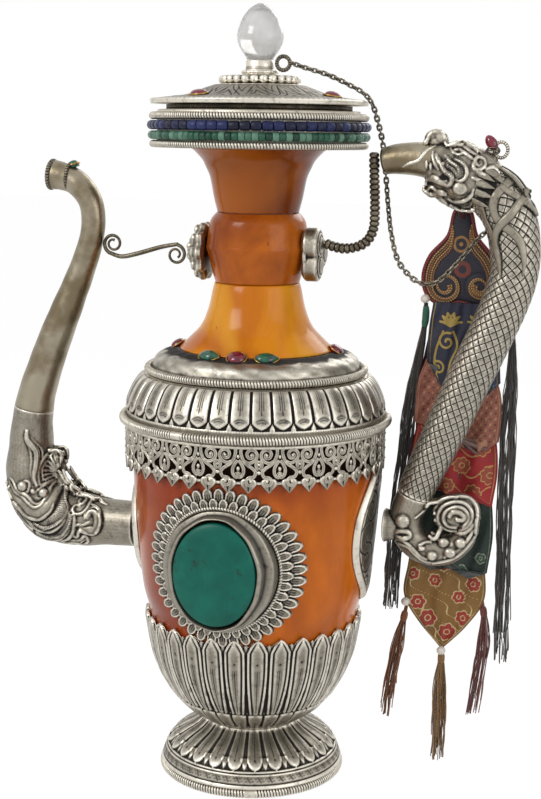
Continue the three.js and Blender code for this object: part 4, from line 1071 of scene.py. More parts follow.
def leafTip(half, length):
    # a small domed leaf that points down, with a vein
    rows = np.linspace(0, 1, 9)
    points = []
    for t in rows:
        wide = half * between([0.7, 1, 0.97, 0.7, 0.36, 0.05], t)
        s = np.linspace(-1, 1, 9)
        swell = (0.7 * (1 - s ** 2) ** 0.5 * (1 - 0.4 * t) + 0.5 * np.exp(-((np.abs(s) - 0.86) / 0.12) ** 2)
                 - 0.4 * np.exp(-(s / 0.14) ** 2))
        front = np.stack([wide * s, 0.5 - swell, -length * t * np.ones(9)], 1)
        back = np.stack([wide * s[::-1], 1.3 * np.ones(9), -length * t * np.ones(9)], 1)
        points.append(np.vstack([front, back]))
    return skin(np.array(points))


def makeGallery():
    top, bottom = high("gallery_band")[2], low("gallery_band")[2]
    pitch = turn / gallery["lyres"]
    parts = []
    r = gallery["face"] - 0.2
    for stroke in lyreStrokes:
        for side in (1, -1):
            flat = smoothLine([(x * side, 0, z) for x, z in stroke], 40)
            for points, faces in doubleWire(flat, gallery["wire"], gallery["double"] * 0.62):
                points = points + (0, 0, top)
                points[:, 1] = -points[:, 1]
                parts.append((bent(points, r), faces))
    # eyes of the spirals, and the small knot at the waist
    for x, z, size in ((3.5, -4.2, 0.8), (-3.5, -4.2, 0.8), (3.7, -16.5, 0.8), (-3.7, -16.5, 0.8),
                       (0, -12.4, 1.0), (0, -8.6, 0.8)):
        points, faces = ball((x, 0, top + z), (size, 0.9, size), 8)
        parts.append((bent(points, r), [f[::-1] for f in faces]))
    # a knob stands between two lyres
    for x, z, size in ((pitch * r / 2, -5.0, 0.8), (pitch * r / 2, -10.6, 0.9)):
        points, faces = ball((x, 0, top + z), (size, 0.7, size * 1.3), 8)
        parts.append((bent(points, r), [f[::-1] for f in faces]))
    # two leaves hang below each lyre
    for k in (-0.25, 0.25):
        points, faces = leafTip(gallery["leafHalf"], gallery["leafLong"])
        points = points + (k * pitch * r, 0, bottom + gallery["leafLong"])
        points[:, 1] = -points[:, 1] + 0.3
        parts.append((bent(points, r), faces))
    points, faces = joined(parts)
    lyre = meshFrom("lyre", points, faces)
    data = repeatRound("gallery_lyres", lyre, gallery["lyres"], silver)
    place("gallery_lyres", data, gallerySilver, "root", "silver", ["gallery_band"], hollows=3)
    # the rails that the lyres are soldered to
    inside, face = gallery["inside"], gallery["face"]
    upper = [(inside, top - 1.6), (face, top - 1.6), (face + 0.3, top - 0.8), (face, top), (inside, top)]
    lower = [(inside, bottom + 3.8), (face - 0.9, bottom + 3.8), (face - 0.7, bottom + 4.4),
             (face - 0.9, bottom + 5.0), (inside, bottom + 5.0)]
    points, faces = joined([revolve(upper, 160), revolve(lower, 160)])
    place("gallery_rails", meshFrom("rails", points, faces), darkSilver, "root", "silver")
    print("gallery ready")


makeGallery()


# Mouth

def beadShape(radius, half, sides=12):
    outline = [(0, -half), (radius * 0.8, -half), (radius, -half * 0.8), (radius, half * 0.8),
               (radius * 0.8, half), (0, half)]
    points, faces = revolve(outline, sides)
    return meshFrom("bead", points, faces)


def beadRing(node, count, material, slotName, seed):
    size = high(node)[2] - low(node)[2]
    radius = reach(node) - size / 2
    z = (high(node)[2] + low(node)[2]) / 2
    u = (np.arange(count) + 0.5) / count * turn
    spots = np.stack([radius * np.cos(u), radius * np.sin(u), np.full(count, z)], 1)
    ahead = np.stack([-np.sin(u), np.cos(u), 0 * u], 1)
    length = turn * radius / count
    source = beadShape(size / 2 * 0.97, length * 0.49)
    data = setPieces(node + "_beads", source, spots, ahead, spots / radius, material, jitter=0.035, seed=seed)
    return place(node + "_beads", data, material, "root", slotName, [node], hollows=0)


def beadStone(name, a, b, c, dirt):
    f = Finish(name)
    tone = f.attribute("tone")
    spot = f.noise(420, 3)
    color = f.ramp(tone + (spot - 0.5) * 0.5, [(0.1, a), (0.5, b), (0.9, c)])
    color = f.mix(spot.step(0.62, 0.72) * 0.7, color, dirt)
    return f.finish(color, 0.3 + spot * 0.2, 0.0, f.bump(spot, 0.3, 0.2), **{"Specular IOR Level": 0.3})


turquoiseBeads = beadStone("turquoiseBeads", (0.008, 0.045, 0.026), (0.025, 0.105, 0.065), (0.12, 0.24, 0.17),
                           (0.04, 0.03, 0.012))
lapisBeads = beadStone("lapisBeads", (0.002, 0.003, 0.018), (0.004, 0.007, 0.05), (0.02, 0.03, 0.12),
                       (0.006, 0.006, 0.01))


mouth = {"turquoises": 106, "lapises": 64, "bore": 14.2, "well": 40.6, "sleeve": 38.6}


def makeMouth():
    beadRing("turquoise_bead_ring", mouth["turquoises"], turquoiseBeads, "turquoise_beads", 11)
    beadRing("lapis_bead_ring", mouth["lapises"], lapisBeads, "lapis_beads", 12)
    bore, well, sleeve = mouth["bore"], mouth["well"], mouth["sleeve"]
    z0, z1 = low("mouth_drum")[2], high("mouth_drum")[2]
    r = reach("mouth_drum")
    outline = [(bore, z0), (32.6, z0), (r - 2, z0), (r, z0 + 1), (r, z1 - 0.6), (r - 0.6, z1), (40.8, z1),
               (well, z1 - 0.4), (well, z0 + 4.2), (bore, z0 + 4)]
    turned("drum_wall", "mouth_drum", outline, darkSilver, "dark_silver", hollows=3)
    z0, z1 = low("lid_sleeve")[2], high("lid_sleeve")[2]
    r = reach("lid_sleeve")
    outline = [(sleeve, z0), (40.1, z0), (40.2, z0 + 0.4), (40.2, z1 - 2.1), (r, z1 - 2), (r, z1), (sleeve, z1)]
    turned("sleeve_wall", "lid_sleeve", outline, darkSilver, "dark_silver", body="lid")
    print("mouth ready")


makeMouth()


# Lid

lid = {
    "columns": 640, "flutes": 26, "rim": 52, "top": 21, "leaves": 14, "stems": 28, "grains": 150,
    "notches": 120,
}


def lidRelief(u, z, r):
    # engraved leaves between two plain borders, from the dome's foot to its top
    t = (lid["rim"] - r) / (lid["rim"] - lid["top"])
    swing = fold(u * lid["leaves"] + 0.09 * np.sin(t * 9))
    scroll = np.sin(turn * (t * 2.1 + np.abs(swing) * 2.2))
    leaf = ridge(np.abs(scroll), 0.32) * rise(0.36, 0.42, t) * rise(0.95, 0.88, t)
    stem = ridge(np.abs(fold(u * lid["stems"] + 0.5 * t)), 0.07) * rise(0.42, 0.5, t) * rise(0.9, 0.8, t)
    border = ridge(t - 0.3, 0.012) + ridge(t - 0.37, 0.012) + ridge(t - 0.95, 0.01)
    grain = 0.22 * ridge(t - 0.335, 0.02) * (0.5 + 0.5 * np.cos(turn * u * lid["grains"]))
    edge = 0.3 * ridge(t - 0.015, 0.012) * (0.5 + 0.5 * np.cos(turn * u * lid["notches"]))
    return grain + edge - 0.12 * leaf, np.clip(leaf * 0.9 + stem * 0.6 + border, 0, 1)


def fluteRelief(u, z, r):
    return -1.2 * (1 - np.abs(np.cos(math.pi * u * lid["flutes"]))) * (r > 12) * (r / 20), 0 * u


def makeLid():
    z0, z1 = low("lid_plate")[2], high("lid_plate")[2]
    shape = [(51.8, z0 + 0.2), (52.1, z0 + 1.2), (51.9, z0 + 2.3), (46, z0 + 3.2), (40, z0 + 3.8),
             (34, z0 + 4.9), (29, z0 + 6.8), (25.2, z0 + 8.2), (21.0, z1)]
    outline = smoothLine(shape, 90)
    carved("lid_dome", "lid_plate", outline, [(0.01, z1), (0.01, z0 + 0.2)], lid["columns"], lidRelief, silver,
           hollows=6)
    z0, z1 = low("lid_fluted_ring")[2], high("lid_fluted_ring")[2]
    shape = [(18.4, z0), (19.4, z0 + 0.6), (19.6, (z0 + z1) / 2), (19.2, z1 - 0.5), (17.0, z1), (10, z1)]
    carved("lid_flutes", "lid_fluted_ring", smoothLine(shape, 22), [(0.01, z1), (0.01, z0)], lid["flutes"] * 12,
           fluteRelief, brightSilver, hollows=5)
    z0, z1 = low("finial_socket")[2], high("finial_socket")[2]
    outline = [(0, z0), (8.2, z0), (8.4, z0 + 0.5), (6.9, z0 + 2.6), (6.6, z0 + 4), (6.7, z1 - 0.4), (6.3, z1),
               (0, z1)]
    points, faces = revolve(outline, 48)
    coil = ropeRadius(120, 10, 0.95, 20, 0.25)
    ring = tube(roundPath(8.0, z0 + 1.3, 120), coil, 10, loop=True, up=(0, 0, 1))
    points, faces = joined([(points, faces), ring])
    place("socket_wound", meshFrom("socket", points, faces), silver, "lid", "silver", ["finial_socket"],
          hollows=4)
    z0, z1 = low("finial_crystal")[2], high("finial_crystal")[2]
    shape = [(6.4, z0), (6.9, z0 + 1.3), (9.6, z0 + 5.2), (11.0, z0 + 9), (10.9, z0 + 12.6), (9.8, z0 + 16.3),
             (8.1, z0 + 20.0), (5.2, z0 + 23.6), (1.8, z0 + 25.8)]
    outline = [(0, z0), *smoothLine(shape, 40).tolist(), (0, z1)]
    turned("quartz_drop", "finial_crystal", outline, quartz, "quartz", 64, "lid")
    # the ring that the chain hangs on, wound with wire
    centre = middle("lid_chain_ring")
    u = roundAngles(90)
    radius = (high("lid_chain_ring")[2] - low("lid_chain_ring")[2]) / 2 - 1.1
    path = np.stack([centre[0] + radius * np.cos(u), 0 * u, centre[2] + radius * np.sin(u)], 1)
    place("lid_ring_wound", ropeBar("ring", path, 1.08, 18, 8), brownSilver, "lid", "silver",
          ["lid_chain_ring"], hollows=3)
    print("lid ready")


def quartzFinish():
    f = Finish("quartz")
    cloud = f.noise(60, 4)
    crack = f.noise(180, 3)
    color = f.mix(cloud.step(0.4, 0.7), (0.82, 0.81, 0.8), (0.62, 0.6, 0.58))
    rough = 0.06 + cloud * 0.12
    return f.finish(color, rough, 0.0, f.bump(crack, 0.15, 0.4), **{"Transmission Weight": 0.55, "IOR": 1.5})


quartz = quartzFinish()
makeLid()


# Stones

def gem(name, color, deep):
    f = Finish(name)
    spot = f.noise(380, 3)
    shade = f.mix(spot.step(0.4, 0.7), color, deep)
    return f.finish(shade, 0.1 + spot * 0.1, 0.0, f.bump(spot, 0.1, 0.2),
                    **{"Coat Weight": 0.35, "Coat Roughness": 0.05})


rubyStone = gem("ruby", (0.2, 0.002, 0.022), (0.06, 0.001, 0.008))
emeraldStone = gem("emerald", (0.0, 0.11, 0.055), (0.0, 0.03, 0.02))


def goldWire():
    f = Finish("goldWire")
    return f.finish(f.mix(f.noise(500), (0.55, 0.36, 0.1), (0.3, 0.17, 0.04)), 0.3, 1.0)


gold = goldWire()


def setStone(name, node, centre, size, tilt, azimuth, material, slotName, body, drop=0.0):
    # a cabochon on a slope, in a thin bezel; size is half its width down the slope, half its length, its height
    wide, long, tall = size
    v = np.linspace(0, 1, 9)[:, None]
    u = roundAngles(28)
    pinch = 1 - drop * np.clip(np.sin(u), 0, 1) ** 2 * 0.6
    rr = np.cos(v * math.pi / 2) ** 0.8
    dome = np.stack([wide * rr * np.cos(u) * pinch, long * rr * np.sin(u),
                     tall * np.sin(v * math.pi / 2) + 0 * u], -1)
    skirt = np.stack([wide * np.cos(u) * pinch, long * np.sin(u), np.full(28, -1.2)], -1)[None]
    stone = skin(np.vstack([skirt, dome]))
    rim = np.stack([(wide + 0.35) * np.cos(u) * pinch, (long + 0.35) * np.sin(u), np.full(28, 0.25)], 1)
    rimWire = tube(rim, 0.42, 6, loop=True, up=(0, 0, 1))
    a, t = math.radians(azimuth), math.radians(tilt)
    out = np.array([math.cos(a), math.sin(a), 0])
    side = np.array([-math.sin(a), math.cos(a), 0])
    normal = out * math.sin(t) + np.array([0, 0, math.cos(t)])
    down = out * math.cos(t) - np.array([0, 0, math.sin(t)])
    for part, finish, label, nodes in ((stone, material, name, [node]), (rimWire, gold, name + "_bezel", [])):
        p = np.array(centre) + part[0] @ np.stack([down, side, normal])
        place(label, meshFrom(label, p, part[1]), finish, body, slotName, nodes, hollows=0)


shoulderStones = [
    # piece, half width and half length, how much it narrows to a drop
    ("ruby_front", (4.0, 4.4), 0), ("emerald_front_left", (3.3, 5.4), 1),
    ("emerald_front_right", (3.3, 5.4), 1), ("ruby_left", (3.8, 4.2), 0), ("ruby_right", (3.8, 4.2), 0),
]


def makeStones():
    for node, size, drop in shoulderStones:
        centre = middle(node)
        centre[2] -= 0.6
        kind = (rubyStone, "ruby") if "ruby" in node else (emeraldStone, "emerald")
        azimuth = math.degrees(math.atan2(centre[1], centre[0]))
        setStone(node + "_stone", node, centre, (*size, 2.6), 34, azimuth, *kind, "root", drop)
    for node in ("lid_ruby_left", "lid_ruby_right"):
        centre = middle(node)
        centre[2] = low(node)[2] + 0.8
        azimuth = math.degrees(math.atan2(centre[1], centre[0]))
        setStone(node + "_stone", node, centre, (3.9, 4.4, 2.2), 10, azimuth, rubyStone, "ruby", "lid")
    print("stones ready")


makeStones()


# Medallion

medallion = {
    "scales": 40, "columns": 14, "outer": (38.5, 39.5), "inner": (27.4, 29.4), "plate": 2.6,
    # where the inner row of scales ends and the outer row begins, from 0 at the bezel to 1 at the rim
    "innerTo": 0.55, "outerFrom": 0.42,
    "grainedWire": (28.0, 30.3), "bezel": (22.4, 27.1), "stone": (19.9, 24.6),
    # out from the bezel's face, back from its frontmost plane, and how much it is darkened there
    "bezelSteps": [(-2.0, 0.5, 0.5), (-1.6, 0.0, 0.1), (-0.9, -0.1, 0), (-0.2, 0.5, 0), (0.1, 1.6, 0.1),
                   (0.0, 3.4, 0.5), (0.6, 5.4, 0.9), (1.6, 6.0, 0.3), (3.4, 6.0, 0), (4.3, 6.4, 0),
                   (4.6, 7.4, 0.2), (4.6, 15.0, 0.6), (-2.0, 15.0, 0.6)],
}


def bellyRadius(z):
    levels = [34.6, 41.1, 50.6, 62.2, 76.7, 85.5, 98.5, 126.9, 152.3, 179.9]
    radii = [31.8, 37.8, 43.8, 48.6, 51.0, 52.5, 55.7, 58.3, 60.2, 61.6]
    return np.interp(z, levels, radii)


def onBelly(x, z, stand):
    r = bellyRadius(z) + stand
    return np.stack([x, -np.sqrt(np.maximum(r * r - x * x, 1)), z], -1)


def scaleRow(p, v, shift):
    # one row of overlapping scales; p counts the scales, v goes from 0 at the root to 1 at the tip
    across = np.abs(fold(p + shift)) * 2
    edge = np.where(v > 0.4, np.sqrt(np.clip(1 - ((v - 0.4) / 0.6) ** 2, 0, 1)), 1.0) * 0.95
    inside = rise(0.0, 0.14, edge - across) * (v < 1)
    rim = ridge(edge - across - 0.2, 0.12) * 0.5
    dome = 0.5 * np.sqrt(np.clip(1 - (across / np.maximum(edge, 0.05)) ** 2, 0, 1))
    ink = (ridge(across, 0.12) + ridge(across - 0.42, 0.08)) * (v < 0.55) * (v > 0.05)
    edgeInk = rise(0.16, 0.0, edge - across) * (v < 1)
    return inside * (dome * 0.7 + 0.35) + rim * inside, inside, np.maximum(ink * inside, edgeInk)


def makeMedallion():
    zc = middle("medallion_plate")[2]
    innerTo, outerFrom = medallion["innerTo"], medallion["outerFrom"]
    columns = medallion["scales"] * medallion["columns"]
    u = np.arange(columns) / columns
    rows = np.linspace(0, 1, 44)[:, None]
    count = medallion["scales"]
    outer = scaleRow(u * count, (rows - outerFrom) / (1 - outerFrom), 0.0)
    inner = scaleRow(u * count, (rows - 0.04) / 0.5, 0.5)
    height = np.where(inner[1] * (rows < innerTo) > 0.5, 0.9 + inner[0],
                      np.where(rows > outerFrom, outer[0] * (rows > outerFrom), 0))
    height = height - 0.5 * (rows > outerFrom) * (1 - outer[1]) * (inner[1] < 0.5)
    # the outer edge follows the scales: points beyond a tip are drawn back to it
    across = np.abs(fold(u * count)) * 2
    tipRow = outerFrom + (1 - outerFrom) * (0.4 + 0.6 * np.sqrt(np.clip(1 - (across / 0.97) ** 2, 0, 1)))
    limit = np.minimum(rows, tipRow[None, :] + 0.015)
    ax = medallion["inner"][0] + (medallion["outer"][0] - medallion["inner"][0]) * limit
    az = medallion["inner"][1] + (medallion["outer"][1] - medallion["inner"][1]) * limit
    x, z = ax * np.cos(turn * u), zc + az * np.sin(turn * u)
    front = onBelly(x, z, 1.3 + height)
    back = onBelly(x[::-1], z[::-1], 0.35)
    points, faces = skin(np.vstack([front, back[:1], back[-1:]]), True)
    data = meshFrom("scales", points, faces)
    marks = np.zeros(len(points))
    ground = (inner[1] < 0.5) * (outer[1] < 0.5) * (rows < 0.93)
    engraved = np.where(inner[1] * (rows < innerTo) > 0.5, inner[2], outer[2])
    marks[:front.shape[0] * columns] = np.maximum(engraved, ground).ravel()
    setAttribute(data, "ink", marks)
    place("medallion_scales", data, silver, "root", "silver", ["medallion_plate"], hollows=5)

    # the grained wire between the scales and the bezel
    u = roundAngles(900)
    a, b = medallion["grainedWire"]
    path = onBelly(a * np.cos(u), zc + b * np.sin(u), medallion["plate"] + 0.7)
    place("medallion_grained_wire", ropeBar("wire", path, 1.0, 126, 8), wireSilver, "root", "silver",
          ["medallion_rope_ring"], hollows=3)

    # stepped foot and tall rounded bezel
    front = low("medallion_bezel")[1]
    u = roundAngles(160)
    wobble = 0.18 * np.sin(5 * u + 1) + 0.12 * np.sin(11 * u)
    rings = []
    for out, stand, _ in medallion["bezelSteps"]:
        a, b = medallion["bezel"][0] + out, medallion["bezel"][1] + out * 0.45
        bulge = wobble if stand < 8 else 0
        rings.append(np.stack([(a + bulge) * np.cos(u), np.full(160, front + stand),
                               zc + (b + bulge) * np.sin(u)], 1))
    points, faces = skin(np.array(rings), True)
    data = meshFrom("bezel", points, faces)
    # the bezel is darker in its inner corners, by the amounts in its steps
    setAttribute(data, "ink", np.repeat([dirt for _, _, dirt in medallion["bezelSteps"]], 160))
    place("medallion_setting", data, brightSilver, "root", "silver", ["medallion_bezel"], hollows=0)

    # the stone is a low dome
    face = low("turquoise_cabochon")[1]
    v = np.linspace(0, 1, 26)[:, None]
    rr = np.sin(v * math.pi / 2)
    swell = 3.2 * np.sqrt(np.clip(1 - rr ** 2.6, 0, 1))
    a, b = medallion["stone"]
    y = face + 3.4 - swell + 0 * u
    top = np.stack([a * rr * np.cos(u), y, zc + b * rr * np.sin(u)], -1)[1:]
    rim = np.stack([a * np.cos(u), np.full(160, face + 9), zc + b * np.sin(u)], -1)[None]
    points, faces = skin(np.vstack([top, rim]))
    points[-2] = (0, face + 0.2, zc)
    place("turquoise_stone", meshFrom("stone", points, faces), turquoise, "root", "turquoise_stone",
          ["turquoise_cabochon"], hollows=0)
    print("medallion ready")


def turquoiseFinish():
    f = Finish("turquoise")
    x, _, z = f.axes()
    cloud = f.noise(45, 4, 0.6)
    vein = f.noise(75, 5, 0.65, twist=1.4)
    fine = f.noise(700, 3)
    scratch = f.noise(900, 2, where=f.scaled((1, 1, 0.05)))
    color = f.mix(cloud.step(0.35, 0.65), (0.0, 0.085, 0.062), (0.001, 0.13, 0.09))
    color = f.mix((vein - 0.5).step(0.11, 0.2) * 0.8, color, (0.015, 0.02, 0.012))
    corner = (x * 0.9 - z + 0.1).step(0.004, 0.022) * vein.step(0.44, 0.56)
    color = f.mix(corner * 0.85, color, (0.03, 0.018, 0.01))
    color = f.mix(scratch.step(0.62, 0.78) * 0.2, color, (0.03, 0.18, 0.13))
    return f.finish(color, 0.26 + fine * 0.22, 0.0, f.bump(cloud * 0.5 + scratch * 0.06, 0.4, 0.6),
                    **{"Specular IOR Level": 0.25})


turquoise = turquoiseFinish()
makeMedallion()


# Sculpted pieces: a smooth core, strokes laid on it from both sides, then one skin round them all

def treeOf(parts):
    points, faces = joined(parts)
    return BVHTree.FromPolygons(points.tolist(), faces)


skinVoxel = {"cast": 0.42, "boss": 0.4}
rayStart = 90
nearSide = 6


def onSurface(tree, x, z, side):
    # the surface seen from the side, or else its nearest point
    hit, normal, _, _ = tree.ray_cast(Vector((x, side * rayStart, z)), Vector((0, -side, 0)))
    if hit is None:
        hit, normal, _, _ = tree.find_nearest(Vector((x, side * nearSide, z)))
    return np.array(hit), np.array(normal)


def laid(tree, line, side, sunk, count=None):
    # brings an [x, z] line to the surface, seen from the side; sunk is how deep its middle lies
    flat = smoothLine(line, count or max(8, 5 * len(line)))
    points = []
    for x, z in flat:
        hit, normal = onSurface(tree, x, z, side)
        out = hit - normal * sunk
        points.append((x * 0.5 + out[0] * 0.5, out[1], z * 0.5 + out[2] * 0.5))
    points = np.array(points)
    points[1:-1] = (points[:-2] + 2 * points[1:-1] + points[2:]) / 4
    return points


def stroke(tree, line, radius, side, sunk=0.3, taper=(0.5, 1, 1, 0.9, 0.45), flat=1.0, sides=8):
    path = laid(tree, line, side, sunk)
    thick = radius * between(taper, np.linspace(0, 1, len(path)))
    return tube(path, thick, sides, flat)


def band(tree, line, side, width, thick, lift, taper=(1, 1), count=60):
    # a flat strap on the surface, its edges marked to be darkened
    path = laid(tree, line, side, -lift, count)
    out = np.array([tree.find_nearest(Vector(p))[1] for p in path])
    for _ in range(3):
        out[1:-1] = (out[:-2] + out[1:-1] + out[2:]) / 3
    ahead = unit(np.gradient(path, axis=0))
    across = unit(np.cross(out, ahead))
    out = np.cross(ahead, across)
    a = roundAngles(16)
    wide = width / 2 * between(taper, np.linspace(0, 1, count))[:, None]
    c, s = np.cos(a)[None], np.sin(a)[None]
    r = (np.abs(c / wide) ** 5 + np.abs(s / (thick / 2)) ** 5) ** -0.2
    ring = path[:, None] + (r * c)[..., None] * across[:, None] + (r * s)[..., None] * out[:, None]
    points, faces = skin(ring)
    ink = np.zeros(len(points))
    ink[:count * 16] = (rise(0.5, 0.1, np.abs(s)) * np.ones_like(wide)).ravel()
    return points, faces, ink


def hatch(points, line, half, spacing):
    # engraved bars across a drawn line
    dense = smoothLine(line, 160)
    far = np.linspace(0, lengthOf(dense), 160)
    gap = np.hypot(points[:, 0][:, None] - dense[:, 0], points[:, 2][:, None] - dense[:, 1])
    near = gap.argmin(1)
    return ridge(fold(far[near] / spacing), 0.2) * (gap.min(1) < half)


def knob(tree, at, size, side, sunk=0.0):
    hit, normal = onSurface(tree, at[0], at[1], side)
    return ball(hit - normal * sunk, size, 14)


def oneSkin(name, parts, voxel):
    # melts overlapping parts into one closed skin
    points, faces = joined(parts)
    data = meshFrom(name + "Parts", points, faces)
    rough = linked(name + "Parts", data)
    remesh = rough.modifiers.new("skin", "REMESH")
    remesh.mode = "VOXEL"
    remesh.voxel_size = voxel * mm
    ease = rough.modifiers.new("ease", "SMOOTH")
    ease.factor = 0.5
    ease.iterations = 1
    return finished(name, rough)


def taperedCore(path, radii, count=60, sides=32, flat=1.0, start=0.0, end=1.0):
    line = smoothLine([(x, 0, z) for x, z in path], 400)
    t = np.linspace(start, end, count)
    far = np.linspace(0, 1, 400)
    spine = np.stack([np.interp(t, far, line[:, k]) for k in range(3)], 1)
    # the radii lie at even shares of the length, eased between two
    step = t * (len(radii) - 1)
    i = np.minimum(step.astype(int), len(radii) - 2)
    part = step - i
    part = part * part * (3 - 2 * part)
    r = np.array(radii)[i] * (1 - part) + np.array(radii)[i + 1] * part
    return spine, r, tube(spine, r, sides, flat)


# Spout

spout = {
    "path": [(-61.9, 121), (-86, 121), (-101, 122.4), (-113, 129), (-119.4, 142), (-119.9, 165), (-117.4, 183),
             (-112, 200), (-105.5, 217), (-98.3, 234), (-91.6, 250), (-86.8, 264), (-85.2, 275), (-87, 285),
             (-93.5, 293), (-101.5, 296.4), (-108.8, 297.4)],
    "radii": [11.5, 11.8, 13.6, 15, 15, 13.6, 11.4, 10.2, 9.4, 8.8, 8.4, 7.8, 7, 6.4, 6, 6, 6.4, 7.4],
    "head": 104.0, "tubeEnd": 0.988, "hatch": 0.95, "earHub": (-102.2, 146.2), "earReach": 7.6,
}

makaraFills = [
    (3.6, [(-127.6, 138.2), (-124.3, 134.6), (-120.6, 131.4), (-116.8, 128.8), (-113, 126.6), (-109.4, 127.0),
           (-105.8, 130.2), (-104.0, 135.0), (-102.6, 140.0)]),
    (3.0, [(-125.6, 130.6), (-120.6, 124.6), (-115.0, 121.0), (-109.4, 119.8), (-103.6, 122.0), (-99.4, 126.6),
           (-98.6, 133.0), (-100.6, 138.6)]),
    (2.6, [(-121, 120), (-113.4, 115.4), (-106.2, 113.6), (-99.6, 115.0), (-94.8, 120.2), (-93.4, 126.6)]),
    (3.2, [(-103.6, 144.4), (-105.4, 148.0), (-105.2, 152.4), (-103.0, 156.0)]),
    (2.0, [(-85.4, 125.0), (-83.6, 127.8), (-80.8, 126.8), (-79.4, 123.4), (-80.6, 119.8), (-84.4, 119.2),
           (-88.6, 119.4)]),
    (1.7, [(-98.6, 110.8), (-94.4, 111.8), (-89.6, 112.6), (-86.0, 114.4)]),
]

makaraHatch = [
    (2.3, [(-125.6, 130.6), (-120.6, 124.6), (-115.0, 121.0), (-109.4, 119.8), (-103.6, 122.0), (-99.4, 126.6),
           (-98.6, 133.0), (-100.6, 138.6)]),
    (1.9, [(-113.4, 115.4), (-106.2, 113.6), (-99.6, 115.0), (-94.8, 120.2), (-93.4, 126.6)]),
]

